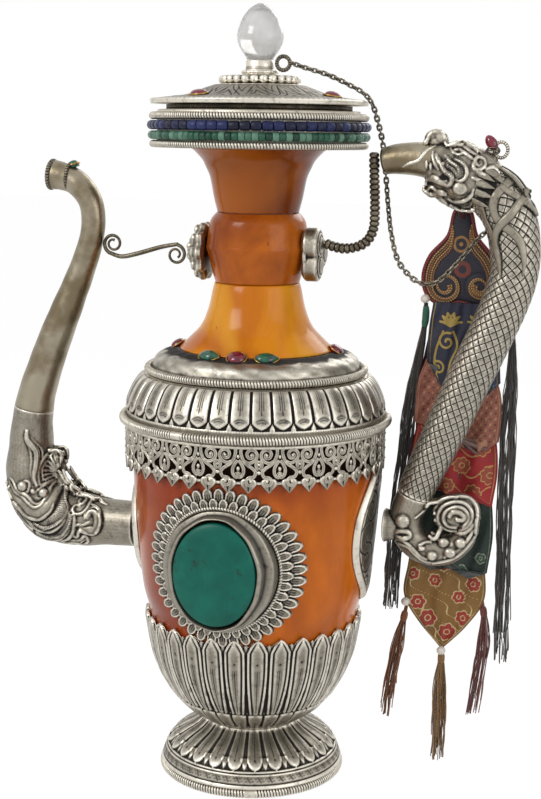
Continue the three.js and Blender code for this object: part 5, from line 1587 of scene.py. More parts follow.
makaraStrokes = [
    (2.0, [(-118.0, 168.4), (-117.8, 164.0), (-115.4, 160.2), (-113.4, 156.5), (-113.1, 150.0), (-113.6, 144.0),
           (-111.9, 139.9)]),
    (0.7, [(-118.4, 167.5), (-118.2, 163.6), (-116.4, 158.5), (-115.3, 153.0), (-115.3, 146.5),
           (-114.2, 141.0)]),
    (0.7, [(-116.7, 165.3), (-113.7, 161.6), (-111.3, 157.9), (-111.0, 153.4), (-111.8, 146.8),
           (-111.2, 142.3)]),
    (1.2, [(-102.4, 160.8), (-106.9, 158.2), (-110.3, 153.4), (-111.8, 148.1), (-111.5, 142.9),
           (-110.5, 140.3)]),
    (0.8, [(-102.8, 158.5), (-106.2, 156.0), (-109.3, 151.5), (-110.4, 147.5), (-109.5, 142.4)]),
    (0.8, [(-110.5, 140.0), (-107.8, 141.2), (-104.3, 142.8), (-103.6, 143.5)]),
    (1.1, [(-104.1, 159.9), (-101.0, 158.5), (-99.7, 155.3), (-100.4, 151.3)]),
    (1.2, [(-127.1, 143.1), (-125.0, 141.2), (-123.0, 138.1), (-120.3, 136.3), (-116.1, 134.7), (-113.4, 131.6),
           (-110.6, 130.8), (-107.9, 132.7), (-106.1, 135.4), (-105.7, 139.4), (-105.0, 142.1)]),
    (1.0, [(-128.2, 141.0), (-125.8, 138.6), (-123.0, 136.1), (-118.9, 134.1), (-115.5, 131.4), (-112.0, 129.4),
           (-108.6, 131.0), (-106.5, 134.1)]),
    (1.3, [(-127.6, 135.8), (-124.5, 131.4), (-120.4, 127.8), (-117.0, 124.7), (-113.5, 123.4), (-109.4, 123.4),
           (-105.2, 126.3), (-103.1, 129.1), (-102.4, 131.8)]),
    (0.9, [(-129.7, 141.3), (-130.1, 138.7), (-129.1, 136.4), (-127.6, 138.9), (-128.6, 140.8)]),
    (1.2, [(-127.6, 135.8), (-122.5, 128.9), (-117.7, 123.4), (-112.2, 118.5), (-106.7, 116.3), (-101.8, 118.0),
           (-97.0, 122.4), (-94.2, 127.9)]),
    (1.0, [(-117.0, 124.7), (-112.2, 120.5), (-106.7, 119.0), (-101.1, 121.1), (-97.0, 125.0), (-95.6, 129.7),
           (-98.2, 135.4), (-100.2, 138.5)]),
    (0.8, [(-128.6, 131.0), (-124.0, 123.6), (-118.0, 118.0), (-111.0, 114.2), (-104.5, 112.8)]),
    (1.2, [(-100.3, 111.3), (-96.1, 113.0), (-92.7, 116.6), (-91.3, 121.9), (-91.9, 126.5), (-93.9, 128.9)]),
    (0.8, [(-104.0, 113.2), (-98.4, 115.0), (-94.3, 120.0), (-92.9, 124.7)]),
    (0.7, [(-99.9, 142.4), (-98.1, 143.2), (-95.1, 141.5), (-94.8, 137.6), (-96.2, 136.2), (-98.9, 138.0),
           (-99.9, 141.1)]),
    (1.1, [(-102.6, 147.2), (-99.9, 144.8), (-95.8, 142.5), (-93.8, 139.4), (-94.5, 135.4), (-93.2, 134.9)]),
    (1.0, [(-98.9, 147.6), (-94.9, 144.2), (-91.8, 140.9), (-92.3, 137.5), (-93.5, 134.6)]),
    (0.7, [(-122.7, 139.2), (-120.6, 141.3), (-116.1, 142.0), (-116.2, 137.1), (-119.3, 137.2),
           (-122.1, 138.3)]),
    (0.7, [(-112.6, 136.3), (-109.9, 139.1), (-105.0, 142.1), (-106.4, 138.0), (-109.2, 133.9),
           (-112.0, 134.3)]),
    (0.9, [(-92.9, 133.6), (-91.8, 135.6), (-88.4, 135.9), (-87.4, 133.4), (-89.1, 131.3), (-91.2, 132.4),
           (-90.1, 134.1)]),
    (1.0, [(-89.5, 138.9), (-85.4, 135.3), (-85.5, 130.0), (-88.2, 127.2), (-91.6, 126.9), (-93.0, 128.8),
           (-92.3, 130.8), (-89.5, 130.7)]),
    (1.2, [(-91.7, 138.2), (-86.2, 136.0), (-80.8, 132.5), (-76.4, 131.2)]),
    (0.9, [(-79.5, 129.4), (-83.5, 131.0), (-86.2, 131.8)]),
    (1.1, [(-85.9, 124.5), (-86.2, 127.1), (-83.1, 130.0), (-79.7, 128.9), (-77.7, 123.9), (-79.1, 119.1),
           (-82.5, 116.9), (-85.9, 117.9), (-88.7, 118.4), (-90.1, 115.0), (-92.1, 115.4), (-92.1, 119.4),
           (-90.0, 121.5), (-86.6, 121.5), (-83.2, 123.4)]),
    (1.1, [(-99.8, 110.2), (-97.0, 112.4), (-92.8, 112.7), (-88.7, 113.7), (-86.0, 116.0), (-85.0, 113.4),
           (-86.7, 111.3), (-90.1, 111.0), (-93.5, 111.4), (-97.0, 109.7)]),
]

makaraKnobs = [((-102.0, 154.4), 1.4), ((-101.7, 150.1), 1.5), ((-100.6, 156.9), 1.2), ((-97.2, 139.7), 1.9),
               ((-98.4, 150.8), 1.2), ((-119.2, 139.6), 2.7), ((-108.6, 136.4), 2.6), ((-113.6, 137.4), 1.3),
               ((-129.8, 139.6), 1.5)]


def makeSpout():
    line = smoothLine([(x, 0, z) for x, z in spout["path"]], 400)
    length = lengthOf(line)
    share = spout["head"] / length
    _, _, core = taperedCore(spout["path"], spout["radii"], 90, 40, start=0.0, end=share)
    tree = treeOf([core])
    parts = [core]
    for radius, points in makaraFills:
        for side in (-1, 1):
            parts.append(stroke(tree, points, radius, side, sunk=-0.1, taper=(0.55, 1, 1, 0.9, 0.6),
                                flat=0.42, sides=16))
    tree = treeOf(parts)
    for radius, points in makaraStrokes:
        for side in (-1, 1):
            parts.append(stroke(tree, points, radius, side, sunk=0.15 * radius))
    for at, size in makaraKnobs:
        for side in (-1, 1):
            parts.append(knob(tree, at, (size, size * 0.8, size), side))
    # the ear is a fan of ribs between its hub and its rim
    hub = np.array(spout["earHub"])
    rim = smoothLine([(-104.4, 158.4), (-107.4, 154.6), (-109.6, 150.6), (-110.0, 146.4), (-109.0, 142.6)], 8)
    for tip in rim:
        for side in (-1, 1):
            start = hub + (tip - hub) * 0.25
            parts.append(stroke(tree, [start, (start + tip) / 2, tip], 0.75, side, sunk=0.1,
                                taper=(0.6, 1, 0.9)))
    data = oneSkin("makara", parts, skinVoxel["cast"])
    p = vectors(data, "co") / mm
    lines = sum(hatch(p, line, half, spout["hatch"]) for half, line in makaraHatch)
    rays = np.arctan2(p[:, 2] - hub[1], p[:, 0] - hub[0])
    near = np.hypot(p[:, 0] - hub[0], p[:, 2] - hub[1]) < spout["earReach"]
    fan = ridge(fold(rays * 5.5), 0.14) * near * (p[:, 2] > 145) * (p[:, 0] < -101.5)
    setAttribute(data, "ink", np.clip(lines * 0.8 + fan * 0.6, 0, 1))
    place("makara_head", data, castSilver, "root", "silver", ["spout_makara_head"], hollows=6)

    spine, radius, tubeBody = taperedCore(spout["path"], spout["radii"], 150, 48, start=share + 0.0008,
                                          end=spout["tubeEnd"])
    place("spout_bar", meshFrom("spoutBar", *tubeBody), plain, "root", "silver", ["spout_tube"], hollows=12)
    # two wound rings on the lip, and a small cup with its green stone
    ahead = spine[-1] - spine[-2]
    ahead /= np.linalg.norm(ahead)
    over = np.cross(ahead, (0, 1, 0))
    for name, behind, r, wire in (("lip_ring", -1.1, 6.6, 1.3), ("lip_ring_behind", 8.6, 6.7, 0.9)):
        centre = spine[-1] - ahead * behind
        u = roundAngles(240)
        path = centre + r * (np.cos(u)[:, None] * np.array([0, 1.0, 0]) + np.sin(u)[:, None] * over)
        data = ropeBar(name, path, wire, 32, 10, up=tuple(ahead))
        place(name, data, brownSilver, "root", "silver", ["spout_lip_ring"], hollows=3)
    centre = middle("spout_stone")
    centre[2] = low("spout_stone")[2] + 0.6
    setStone("lip_stone", "spout_stone", centre, (2.7, 3.0, 2.4), -20, 0, emeraldStone, "emerald", "root")
    print("spout ready")


makeSpout()


# Leaf plaques that carry the spout and the handle

def leafOutline(width, height, count):
    s = np.linspace(0, 1, count // 4 + 1)[:-1]
    aside = (0 * s + 3 * (1 - s) ** 2 * s * 0.2 * width + 3 * (1 - s) * s ** 2 * 0.5 * width
             + s ** 3 * 0.5 * width)
    upward = ((1 - s) ** 3 * 0.5 * height + 3 * (1 - s) ** 2 * s * 0.36 * height
              + 3 * (1 - s) * s ** 2 * 0.25 * height)
    top = np.stack([aside, upward], 1)
    bottom = top[::-1] * (1, -1)
    right = np.vstack([top, [[width / 2, 0]], bottom[:-1]])
    left = right[::-1] * (-1, 1)
    return np.vstack([right, [[0, -height / 2]], left[:-1]])


def strokesInk(x, z, lines, width):
    # nearness to a set of drawn lines, as an engraving of that width
    dense = np.vstack([smoothLine(line, 60) for line in lines])
    best = np.full(x.shape, 99.0)
    for i in range(0, len(dense), 60):
        part = dense[i:i + 60]
        d = np.sqrt((x[..., None] - part[:, 0]) ** 2 + (z[..., None] - part[:, 1]) ** 2).min(-1)
        best = np.minimum(best, d)
    return ridge(best, width)


def coilLine(x, z, radius, turns, start, count=14):
    t = np.linspace(0, 1, count)
    a = start + turns * turn * t
    r = radius * (1 - 0.86 * t)
    return np.stack([x + r * np.cos(a), z + r * np.sin(a)], 1)


def makePlaque(name, node, side):
    zc = middle(node)[2]
    _, width, height = high(node) - low(node)
    outline = leafOutline(width, height, 320)
    rows = np.linspace(0.002, 1, 60)[:, None, None]
    flat = outline[None] * rows
    y, z = flat[..., 0], flat[..., 1]
    coils = []
    for k, level in enumerate(np.linspace(-0.36, 0.36, 5)):
        away = width * 0.24 * (1 - (level / 0.5) ** 2)
        for s in (-1, 1):
            begin = math.pi / 2 if k % 2 else -math.pi / 2
            coils.append(coilLine(s * away, level * height, away * 0.9 + 1.2, s * 1.4, begin))
    ink = strokesInk(y, z, coils, 0.5) * (rows[..., 0] < 0.86)
    t = rows[..., 0]
    relief = (1.6 * rise(1.0, 0.96, t) + 0.55 * ridge(t - 0.93, 0.03) - 0.5 * ridge(t - 0.87, 0.018)
              - 0.35 * ink + 0.35 * (t < 0.85))
    r = bellyRadius(z + zc) + 0.9 + relief
    x = np.sqrt(np.maximum(r * r - y * y, 1))
    front = np.stack([side * x, side * y, z + zc], -1)
    edgeY, edgeZ = flat[-1, :, 0], flat[-1, :, 1]
    rb = bellyRadius(edgeZ + zc) + 0.35
    back = np.stack([side * np.sqrt(rb ** 2 - edgeY ** 2), side * edgeY, edgeZ + zc], -1)[None]
    deep = back * np.array([0.98, 0.1, 1.0])
    deep[..., 2] = zc + (back[..., 2] - zc) * 0.1
    deep[..., 0] = side * (bellyRadius(zc) + 0.3)
    points, faces = skin(np.vstack([front, back, deep]))
    data = meshFrom(name, points, faces)
    marks = np.zeros(len(points))
    marks[:ink.size] = ink.ravel()
    setAttribute(data, "ink", marks)
    place(name, data, silver, "root", "silver", [node], hollows=6)


makePlaque("handle_leaf", "handle_root_plaque", 1)
makePlaque("spout_leaf", "spout_root_plaque", -1)
print("plaques ready")


# Handle

handle = {
    "path": [(105, 298.6), (112.4, 293.4), (118.6, 286.4), (122.6, 277), (124.3, 265), (123.9, 255), (121, 244),
             (115.9, 230.5), (109.6, 216), (103.4, 201.5), (97.6, 187.4), (91.4, 173), (85.4, 159.5),
             (80.4, 147.4)],
    "radii": [11, 12, 12, 11.6, 11, 10.8, 10.6, 10.6, 10.4, 10.2, 10, 9.6, 9.2, 8.6],
    "scaleLong": 4.5, "around": 16, "step": 0.3,
    "tailPath": [(80.2, 146.8), (77, 137), (78.6, 126.4), (86, 120.4), (96, 120), (104, 125.4), (106.6, 133.4),
                 (103.6, 140.4), (97.6, 141.6), (94.4, 136.6), (97.6, 132.8)],
    "tailRadii": [8.4, 8.2, 7.8, 7.4, 7.2, 6.6, 5.8, 5, 4.2, 3.4, 2.6],
    "headPath": [(109.4, 295.4), (104, 299), (98, 301.6), (91, 304), (85, 306.6), (80.6, 307.8)],
    "headRadii": [12.8, 14.6, 14.4, 12.6, 10.4, 7.6],
    "snoutPath": [(88, 306.8), (80.2, 307.9), (74, 308.2), (67, 307.9), (60.2, 306.6)],
    "snoutRadii": [8.6, 8.2, 7.6, 7.0, 6.0],
}


def makeDragonBody():
    line = smoothLine([(x, 0, z) for x, z in handle["path"]], 400)
    length = lengthOf(line)
    count = int(length / handle["step"])
    sides = handle["around"] * 14
    spine, radius, _ = taperedCore(handle["path"], handle["radii"], count, 8)
    s = np.linspace(0, length, count)[:, None] / handle["scaleLong"]
    a = np.arange(sides)[None, :] / sides * handle["around"]
    # overlapping rhombs: each rises towards its lower point
    best = np.full((count, sides), -9.0)
    ink = np.zeros((count, sides))
    for shift in (0.0, 0.5):
        u, v = fold(a + shift), fold(s + shift)
        d = np.abs(u) * 2 + np.abs(v) * 2
        inside = rise(1.03, 0.9, d)
        raised = inside * (0.32 + 0.42 * (v + 0.5) + 0.25 * (1 - d).clip(0, 1)) - 0.45 * (1 - inside)
        ink = np.where(raised > best, ridge(d - 0.99, 0.09) * 0.9, ink)
        best = np.maximum(best, raised)
    bulge = radius[:, None] - 0.35 + best * 0.8
    points, faces = tube(spine, bulge, sides)
    data = meshFrom("scales", points, faces)
    marks = np.zeros(len(points))
    marks[:ink.size] = ink.ravel()
    shade = rise(6.4, 4.4, np.hypot(points[:, 0] - 111.2, (points[:, 2] - 295.2) * 0.8))
    setAttribute(data, "ink", np.clip(marks + shade, 0, 1))
    place("dragon_scales", data, silver, "root", "silver", ["dragon_body"], hollows=6)
    return spine, radius


strapThick = 1.5

bandLines = [
    # width, lift, taper, line
    (4.3, 0.5, (1, 1, 1, 0.9, 0.1), [(122.0, 299.7), (118.7, 296.4), (115.6, 292.2), (114.6, 287.7),
                                     (116.0, 283.0), (119.6, 279.1), (123.5, 276.3), (127.1, 272.4),
                                     (128.8, 267.7), (129.5, 261.5), (129.0, 256)]),
    (4.3, 1.3, (1, 1, 1, 0.9, 0.1), [(129.6, 296.0), (128.4, 292.6), (126.1, 289.5), (123.1, 284.4),
                                     (119.1, 280.1), (116.7, 276.3), (116.2, 271.8), (117.3, 266.9),
                                     (118.7, 261.2), (119.4, 255)]),
    (3.8, 0.9, (0.8, 1, 1), [(117.8, 296.6), (120.2, 294.7), (124.8, 291.9), (129.9, 288.1), (132.6, 284.4)]),
    (3.8, 1.1, (0.5, 1, 1, 0.2), [(108.4, 305.0), (111.5, 303.2), (115.0, 301.0), (118.4, 297.6)]),
    (3.6, 0.8, (0.4, 1, 1), [(113.6, 306.4), (117.6, 304.8), (121.4, 302.4), (124.7, 299.3), (128.7, 293.5)]),
    (3.4, 0.4, (1, 1, 0.9, 0.1), [(108.9, 287.6), (109.9, 284.6), (111.2, 281.0), (113.2, 277.4),
                                  (114.6, 273.3), (115.0, 266)]),
    (3.4, 0.9, (1, 0.9, 0.1), [(106.4, 302.6), (110.2, 301.0), (114.6, 298.4)]),
    (3.4, 0.9, (1, 0.9, 0.1), [(106.6, 298.4), (110.6, 297.0), (115.1, 295.4)]),
    (3.4, 0.9, (1, 0.9, 0.1), [(106.4, 294.2), (110.4, 292.8), (114.6, 291.6)]),
    (3.2, 0.9, (1, 0.9, 0.1), [(105.0, 290.4), (108.8, 288.8), (112.8, 287.4)]),
]


def makeMane(spine, radius):
    tree = treeOf([tube(spine, radius - 0.1, 40)])
    parts, ink = [], []
    for width, lift, taper, line in bandLines:
        for side in (-1, 1):
            points, faces, marks = band(tree, line, side, width, strapThick, lift, taper)
            parts.append((points, faces))
            ink.append(marks)
    data = meshFrom("mane", *joined(parts))
    setAttribute(data, "ink", np.concatenate(ink))
    place("mane_bands", data, wireSilver, "root", "silver", ["mane_straps"], hollows=0)


headStrokes = [
    (1.4, [(80.3, 315.2), (81.1, 317.5), (82.8, 320.1), (85.7, 322.0), (88.0, 321.0), (89.3, 318.5),
           (91.4, 315.9)]),
    (1.3, [(91.1, 315.6), (94.8, 316.0), (98.3, 315.5), (102.4, 314.1), (107.7, 311.5)]),
    (1.0, [(70.8, 304.2), (74.0, 306.0), (76.9, 306.9), (79.2, 308.1), (81.4, 311.0), (83.7, 313.3),
           (86.5, 314.4)]),
    (1.0, [(85.2, 312.2), (85.6, 309.0), (86.8, 306.2), (88.6, 303.6)]),
    (1.4, [(88.3, 309.1), (89.3, 306.3), (91.7, 302.9), (94.7, 301.0), (95.2, 299.0), (93.7, 296.7),
           (91.0, 297.2), (87.8, 298.3), (84.3, 299.0), (82.0, 298.1), (81.2, 296.4)]),
    (0.8, [(86.8, 311.1), (88.1, 307.4), (90.0, 304.0)]),
    (1.2, [(80.5, 296.3), (79.4, 294.0), (81.3, 292.0), (84.2, 291.2), (87.1, 291.9), (88.0, 293.1),
           (86.6, 294.6), (85.0, 295.4), (83.7, 294.8), (83.8, 293.3), (85.2, 293.1)]),
    (1.1, [(87.7, 292.4), (90.7, 289.6), (93.4, 286.8), (97.0, 284.0), (99.9, 282.9)]),
    (1.3, [(105.5, 295.3), (104.5, 292.4), (102.2, 290.4), (99.4, 289.2), (95.9, 289.1), (93.0, 290.2)]),
    (0.9, [(109.3, 299.9), (108.9, 294.8), (106.8, 290.2), (104.1, 287.3), (100.1, 286.6)]),
    (0.8, [(92.6, 314.3), (94.9, 314.0), (97.3, 313.2), (99.6, 311.5), (97.3, 310.6), (95.0, 311.6),
           (92.9, 313.6)]),
    (1.2, [(92.3, 315.1), (96.3, 314.9), (100.4, 313.5), (103.3, 311.6), (106.8, 310.0)]),
    (1.0, [(97.3, 312.7), (99.6, 311.8), (102.5, 309.9), (104.9, 308.3)]),
    (1.0, [(110.1, 307.2), (108.9, 308.9), (106.0, 309.4), (105.5, 307.2), (107.3, 305.5), (108.4, 306.6)]),
    (1.0, [(104.9, 308.3), (105.0, 304.9), (107.3, 303.8), (109.8, 305.5), (110.0, 307.8)]),
    (1.2, [(105.8, 303.8), (107.5, 302.7), (109.8, 301.6), (112.8, 299.4), (115.1, 296.7)]),
    (1.2, [(104.6, 300.4), (108.6, 298.8), (112.4, 296.4), (114.7, 293.3)]),
    (1.3, [(110.2, 304.1), (113.0, 305.0), (116.2, 302.6), (118.6, 299.5)]),
    (1.3, [(110.1, 293.2), (113.7, 291.0), (110.9, 288.6), (108.1, 287.4), (105.2, 286.8)]),
    (1.1, [(100.5, 283.1), (105.1, 284.1), (109.0, 285.7), (110.7, 287.4)]),
    (0.9, [(96.0, 308.6), (99.6, 307.0), (101.8, 304.0), (101.6, 300.6), (99.2, 298.6), (96.6, 299.4)]),
    (0.8, [(91.0, 310.4), (94.0, 307.4), (97.4, 305.2), (98.6, 302.4)]),
]

headFills = [
    (2.6, [(81.0, 316.4), (83.4, 318.6), (86.4, 319.6), (88.8, 317.4), (90.6, 314.6)]),
    (1.9, [(82.6, 299.2), (86.6, 299.6), (90.4, 298.0), (93.6, 298.2)]),
    (2.3, [(81.6, 293.6), (85.0, 292.6), (88.8, 293.4), (92.6, 292.6)]),
    (2.4, [(92.4, 316.0), (97.0, 315.4), (101.6, 313.6), (106.0, 311.4)]),
]

headKnobs = [((96.1, 312.6), (1.3, 1.0, 1.0)), ((99.2, 295.4), (3.6, 1.6, 3.2)),
             ((86.5, 319.4), (1.4, 1.2, 1.1)), ((90.6, 306.2), (1.0, 0.9, 1.0)),
             ((82.6, 306.0), (0.8, 1.2, 2.2)), ((84.6, 305.0), (0.7, 1.2, 1.8))]


def makeDragonHead():
    _, _, head = taperedCore(handle["headPath"], handle["headRadii"], 40, 40, 0.84)
    cheek = ball((100.5, 0, 297.2), (10, 11.4, 12), 28)
    jaw = ball((96, 0, 293.5), (11, 8.2, 7.2), 24)
    chin = ball((87.5, 0, 295.5), (6.5, 6.2, 4.2), 20)
    nose = ball((86.0, 0, 317.0), (4.6, 5.0, 4.0), 20)
    cores = [head, jaw, chin, nose, cheek]
    snoutPath = smoothLine([(x, 0, z) for x, z in handle["snoutPath"]], 60)
    snoutRadius = between(handle["snoutRadii"], np.linspace(0, 1, 60))
    snoutRadius[-3:] = snoutRadius[-3:] * (0.98, 0.9, 0.7)
    snout = tube(snoutPath, snoutRadius, 40, 0.94)
    tree = treeOf(cores + [snout])
    parts = list(cores)
    for radius, points in headFills:
        for side in (-1, 1):
            parts.append(stroke(tree, points, radius, side, sunk=-0.1, taper=(0.5, 1, 1, 0.9, 0.5),
                                flat=0.45, sides=16))
    for radius, points in headStrokes:
        for side in (-1, 1):
            parts.append(stroke(tree, points, radius, side, sunk=0.1 * radius))
    for at, size in headKnobs:
        for side in (-1, 1):
            parts.append(knob(tree, at, size, side))
    data = oneSkin("dragonHead", parts, skinVoxel["cast"])
    p = vectors(data, "co") / mm
    bars = hatch(p, [(109.3, 299.9), (108.0, 294.2), (105.4, 289.6), (101.4, 287.4), (96.5, 287.2),
                     (92.6, 289.4)], 1.5, 0.85)
    # small rings stamped on the cheek
    a, b = (p[:, 0] - 96) / 2.1, (p[:, 2] - 304) / 1.85
    row = np.round(b)
    ring = ridge(np.hypot(fold(a + 0.5 * (row % 2)) * 2.1, (b - row) * 1.85) - 0.72, 0.2)
    ring = ring * (np.hypot((p[:, 0] - 95.4) / 5.6, (p[:, 2] - 304.6) / 6.6) < 1)
    # painted shade inside the open mouth
    mouth = rise(2.3, 1.2, np.hypot(p[:, 0] - 90.9, (p[:, 2] - 300.2) * 1.2))
    setAttribute(data, "ink", np.clip(bars * 0.85 + ring * 0.7 + mouth, 0, 1))
    place("dragon_face", data, castSilver, "root", "silver", ["dragon_head"], hollows=6)
    # smooth tube of the snout
    place("snout_bar", meshFrom("snout", *snout), plain, "root", "silver", ["handle_snout_tube"], hollows=8)
    # crown: a stone in rough wire, and a ring behind it
    centre = np.array([111.4, middle("crown_stone")[1], 316.2])
    bead = ball((0, 0, 0), (2.7, 2.7, 4.0), 16)
    lean = math.radians(-34)
    spin = np.array([[math.cos(lean), 0, math.sin(lean)], [0, 1, 0], [-math.sin(lean), 0, math.cos(lean)]])
    place("crown_gem", meshFrom("crownGem", bead[0] @ spin.T + centre, bead[1]), rubyStone, "root", "ruby",
          ["crown_stone"], hollows=0)
    wires = []
    for k in range(4):
        u = roundAngles(40)
        tilt = k * math.pi / 4
        loop = np.stack([3.0 * np.cos(u), 2.6 * np.sin(u) * math.sin(tilt),
                         1.9 * np.sin(u) * math.cos(tilt)], 1)
        wires.append(tube(loop + centre + (0.8, 0, -3.6), 0.42, 6, loop=True, up=(0.3, 0.9, 0.1)))
    place("crown_wires", meshFrom("crownWires", *joined(wires)), brownSilver, "root", "silver", hollows=3)
    u = roundAngles(160)
    path = np.stack([115.9 + 3.1 * np.cos(u), 0 * u, 313.0 + 3.6 * np.sin(u)], 1)
    place("crown_coil", ropeBar("crownCoil", path, 0.95, 20, 8), wireSilver, "root", "silver", ["crown_ring"],
          hollows=3)


tailStrokes = [
    (1.3, [(89.7, 138.3), (91.4, 142.2), (95.5, 146.2), (101.4, 148.2), (106.8, 147.7), (110.5, 144.3),
           (111.3, 139.5), (109.1, 134.4), (105.6, 131.0), (101.4, 130.6)]),
    (1.2, [(102.0, 131.3), (97.2, 131.5), (93.4, 134.3), (92.7, 138.6), (95.0, 143.1), (99.7, 145.6),
           (104.5, 145.7), (108.2, 142.9), (109.2, 138.7), (107.3, 134.2), (103.2, 131.7)]),
    (1.2, [(101.9, 133.2), (97.7, 133.7), (95.5, 137.0), (96.5, 140.7), (100.4, 143.2), (104.6, 143.2),
           (107.1, 140.3), (107.2, 136.7), (104.9, 133.7)]),
    (1.5, [(98.0, 138.2), (99.8, 140.8), (103.2, 141.0), (105.6, 139.0), (104.6, 137.4), (101.6, 137.2)]),
    (1.4, [(72.3, 128.6), (74.9, 130.4), (79.0, 130.2), (80.0, 128.0), (76.4, 126.6), (73.0, 127.6)]),
    (1.3, [(89.5, 135.8), (92.6, 134.4), (93.3, 130.9), (91.2, 128.3), (89.6, 130.3)]),
    (1.1, [(74.1, 123.8), (79.1, 122.6), (82.8, 119.2), (86.6, 116.4), (90.3, 115.3)]),
    (1.0, [(72.8, 126.0), (77.4, 125.2), (81.5, 121.9), (85.3, 118.3), (88.8, 117.2)]),
    (1.2, [(113.0, 140.2), (112.3, 133.7), (110.1, 128.6), (107.3, 124.2), (103.2, 119.8), (98.0, 117.0),
           (91.0, 115.0)]),
    (1.0, [(110.9, 137.3), (109.6, 132.3), (108.0, 128.4), (105.0, 124.4)]),
    (1.0, [(82.0, 136.8), (85.2, 139.8), (88.6, 142.6), (91.9, 146.2), (96.4, 148.6), (102.0, 149.3)]),
    (0.9, [(84.4, 123.4), (87.2, 125.2), (90.3, 125.0)]),
]

tailKnobs = [((76.3, 135.4), (3.7, 2.6, 3.6)), ((95.5, 127.1), (2.9, 2.0, 2.9)),
             ((104.3, 126.3), (2.8, 2.0, 2.6)), ((99.5, 121.2), (2.9, 1.9, 2.5)),
             ((90.9, 119.2), (2.7, 1.9, 2.4)), ((85.8, 122.4), (1.8, 1.4, 1.3))]


def makeTail():
    _, _, core = taperedCore(handle["tailPath"], handle["tailRadii"], 80, 32, 0.96)
    disc = ball((101.4, 0, 139.2), (11.2, 4.6, 9.8), 30)
    tree = treeOf([core, disc])
    parts = [core, disc]
    for radius, points in tailStrokes:
        for side in (-1, 1):
            parts.append(stroke(tree, points, radius, side, sunk=0.2 * radius, taper=(0.8, 1, 1, 1, 0.7)))
    for at, size in tailKnobs:
        for side in (-1, 1):
            parts.append(knob(tree, at, size, side, 0.3))
    # short bars across the rim
    rim = smoothLine([(112.6, 138.6), (111.6, 133.2), (109.4, 128.4), (106.4, 124.0), (102.4, 120.4),
                      (97.0, 118.0)], 26)
    inward = np.array([100.5, 133.0])
    for x, z in rim:
        for side in (-1, 1):
            step = (inward - (x, z)) / np.linalg.norm(inward - (x, z)) * 2.0
            parts.append(stroke(tree, [(x, z), (x + step[0] / 2, z + step[1] / 2), (x + step[0], z + step[1])],
                                0.45, side, 0.0))
    # a short rod ties the scroll to the plaque
    parts.append(tube([(66.0, 0, 131.0), (68.5, 0, 131.0), (72, 0, 131.0), (76, 0, 131.0)],
                      [8.6, 7.4, 7.0, 6.6], 32))
    data = oneSkin("tail", parts, skinVoxel["cast"])
    place("tail_leaves", data, castSilver, "root", "silver", ["tail_scroll"], hollows=6)


spine, radius = makeDragonBody()
makeMane(spine, radius)
makeDragonHead()
makeTail()
print("handle ready")


# Neck fittings

def boss(centre, facing, profile, petals=0, depth=0.0, sides=120):
    # a turned boss on the X axis, facing +X or -X, with lobes on its rim
    u = roundAngles(sides)
    rings = []
    for r, stand in profile:
        lobed = r * (1 - depth * (0.5 - 0.5 * np.cos(petals * u)) * (r > 0.6 * profile[0][0]))
        rings.append(np.stack([np.full(sides, centre[0] + facing * stand), centre[1] + lobed * np.cos(u),
                               centre[2] + lobed * np.sin(u)], 1))
    return skin(np.array(rings))


neck = {"bossRoot": 24.0, "petals": 10, "seeds": 6}


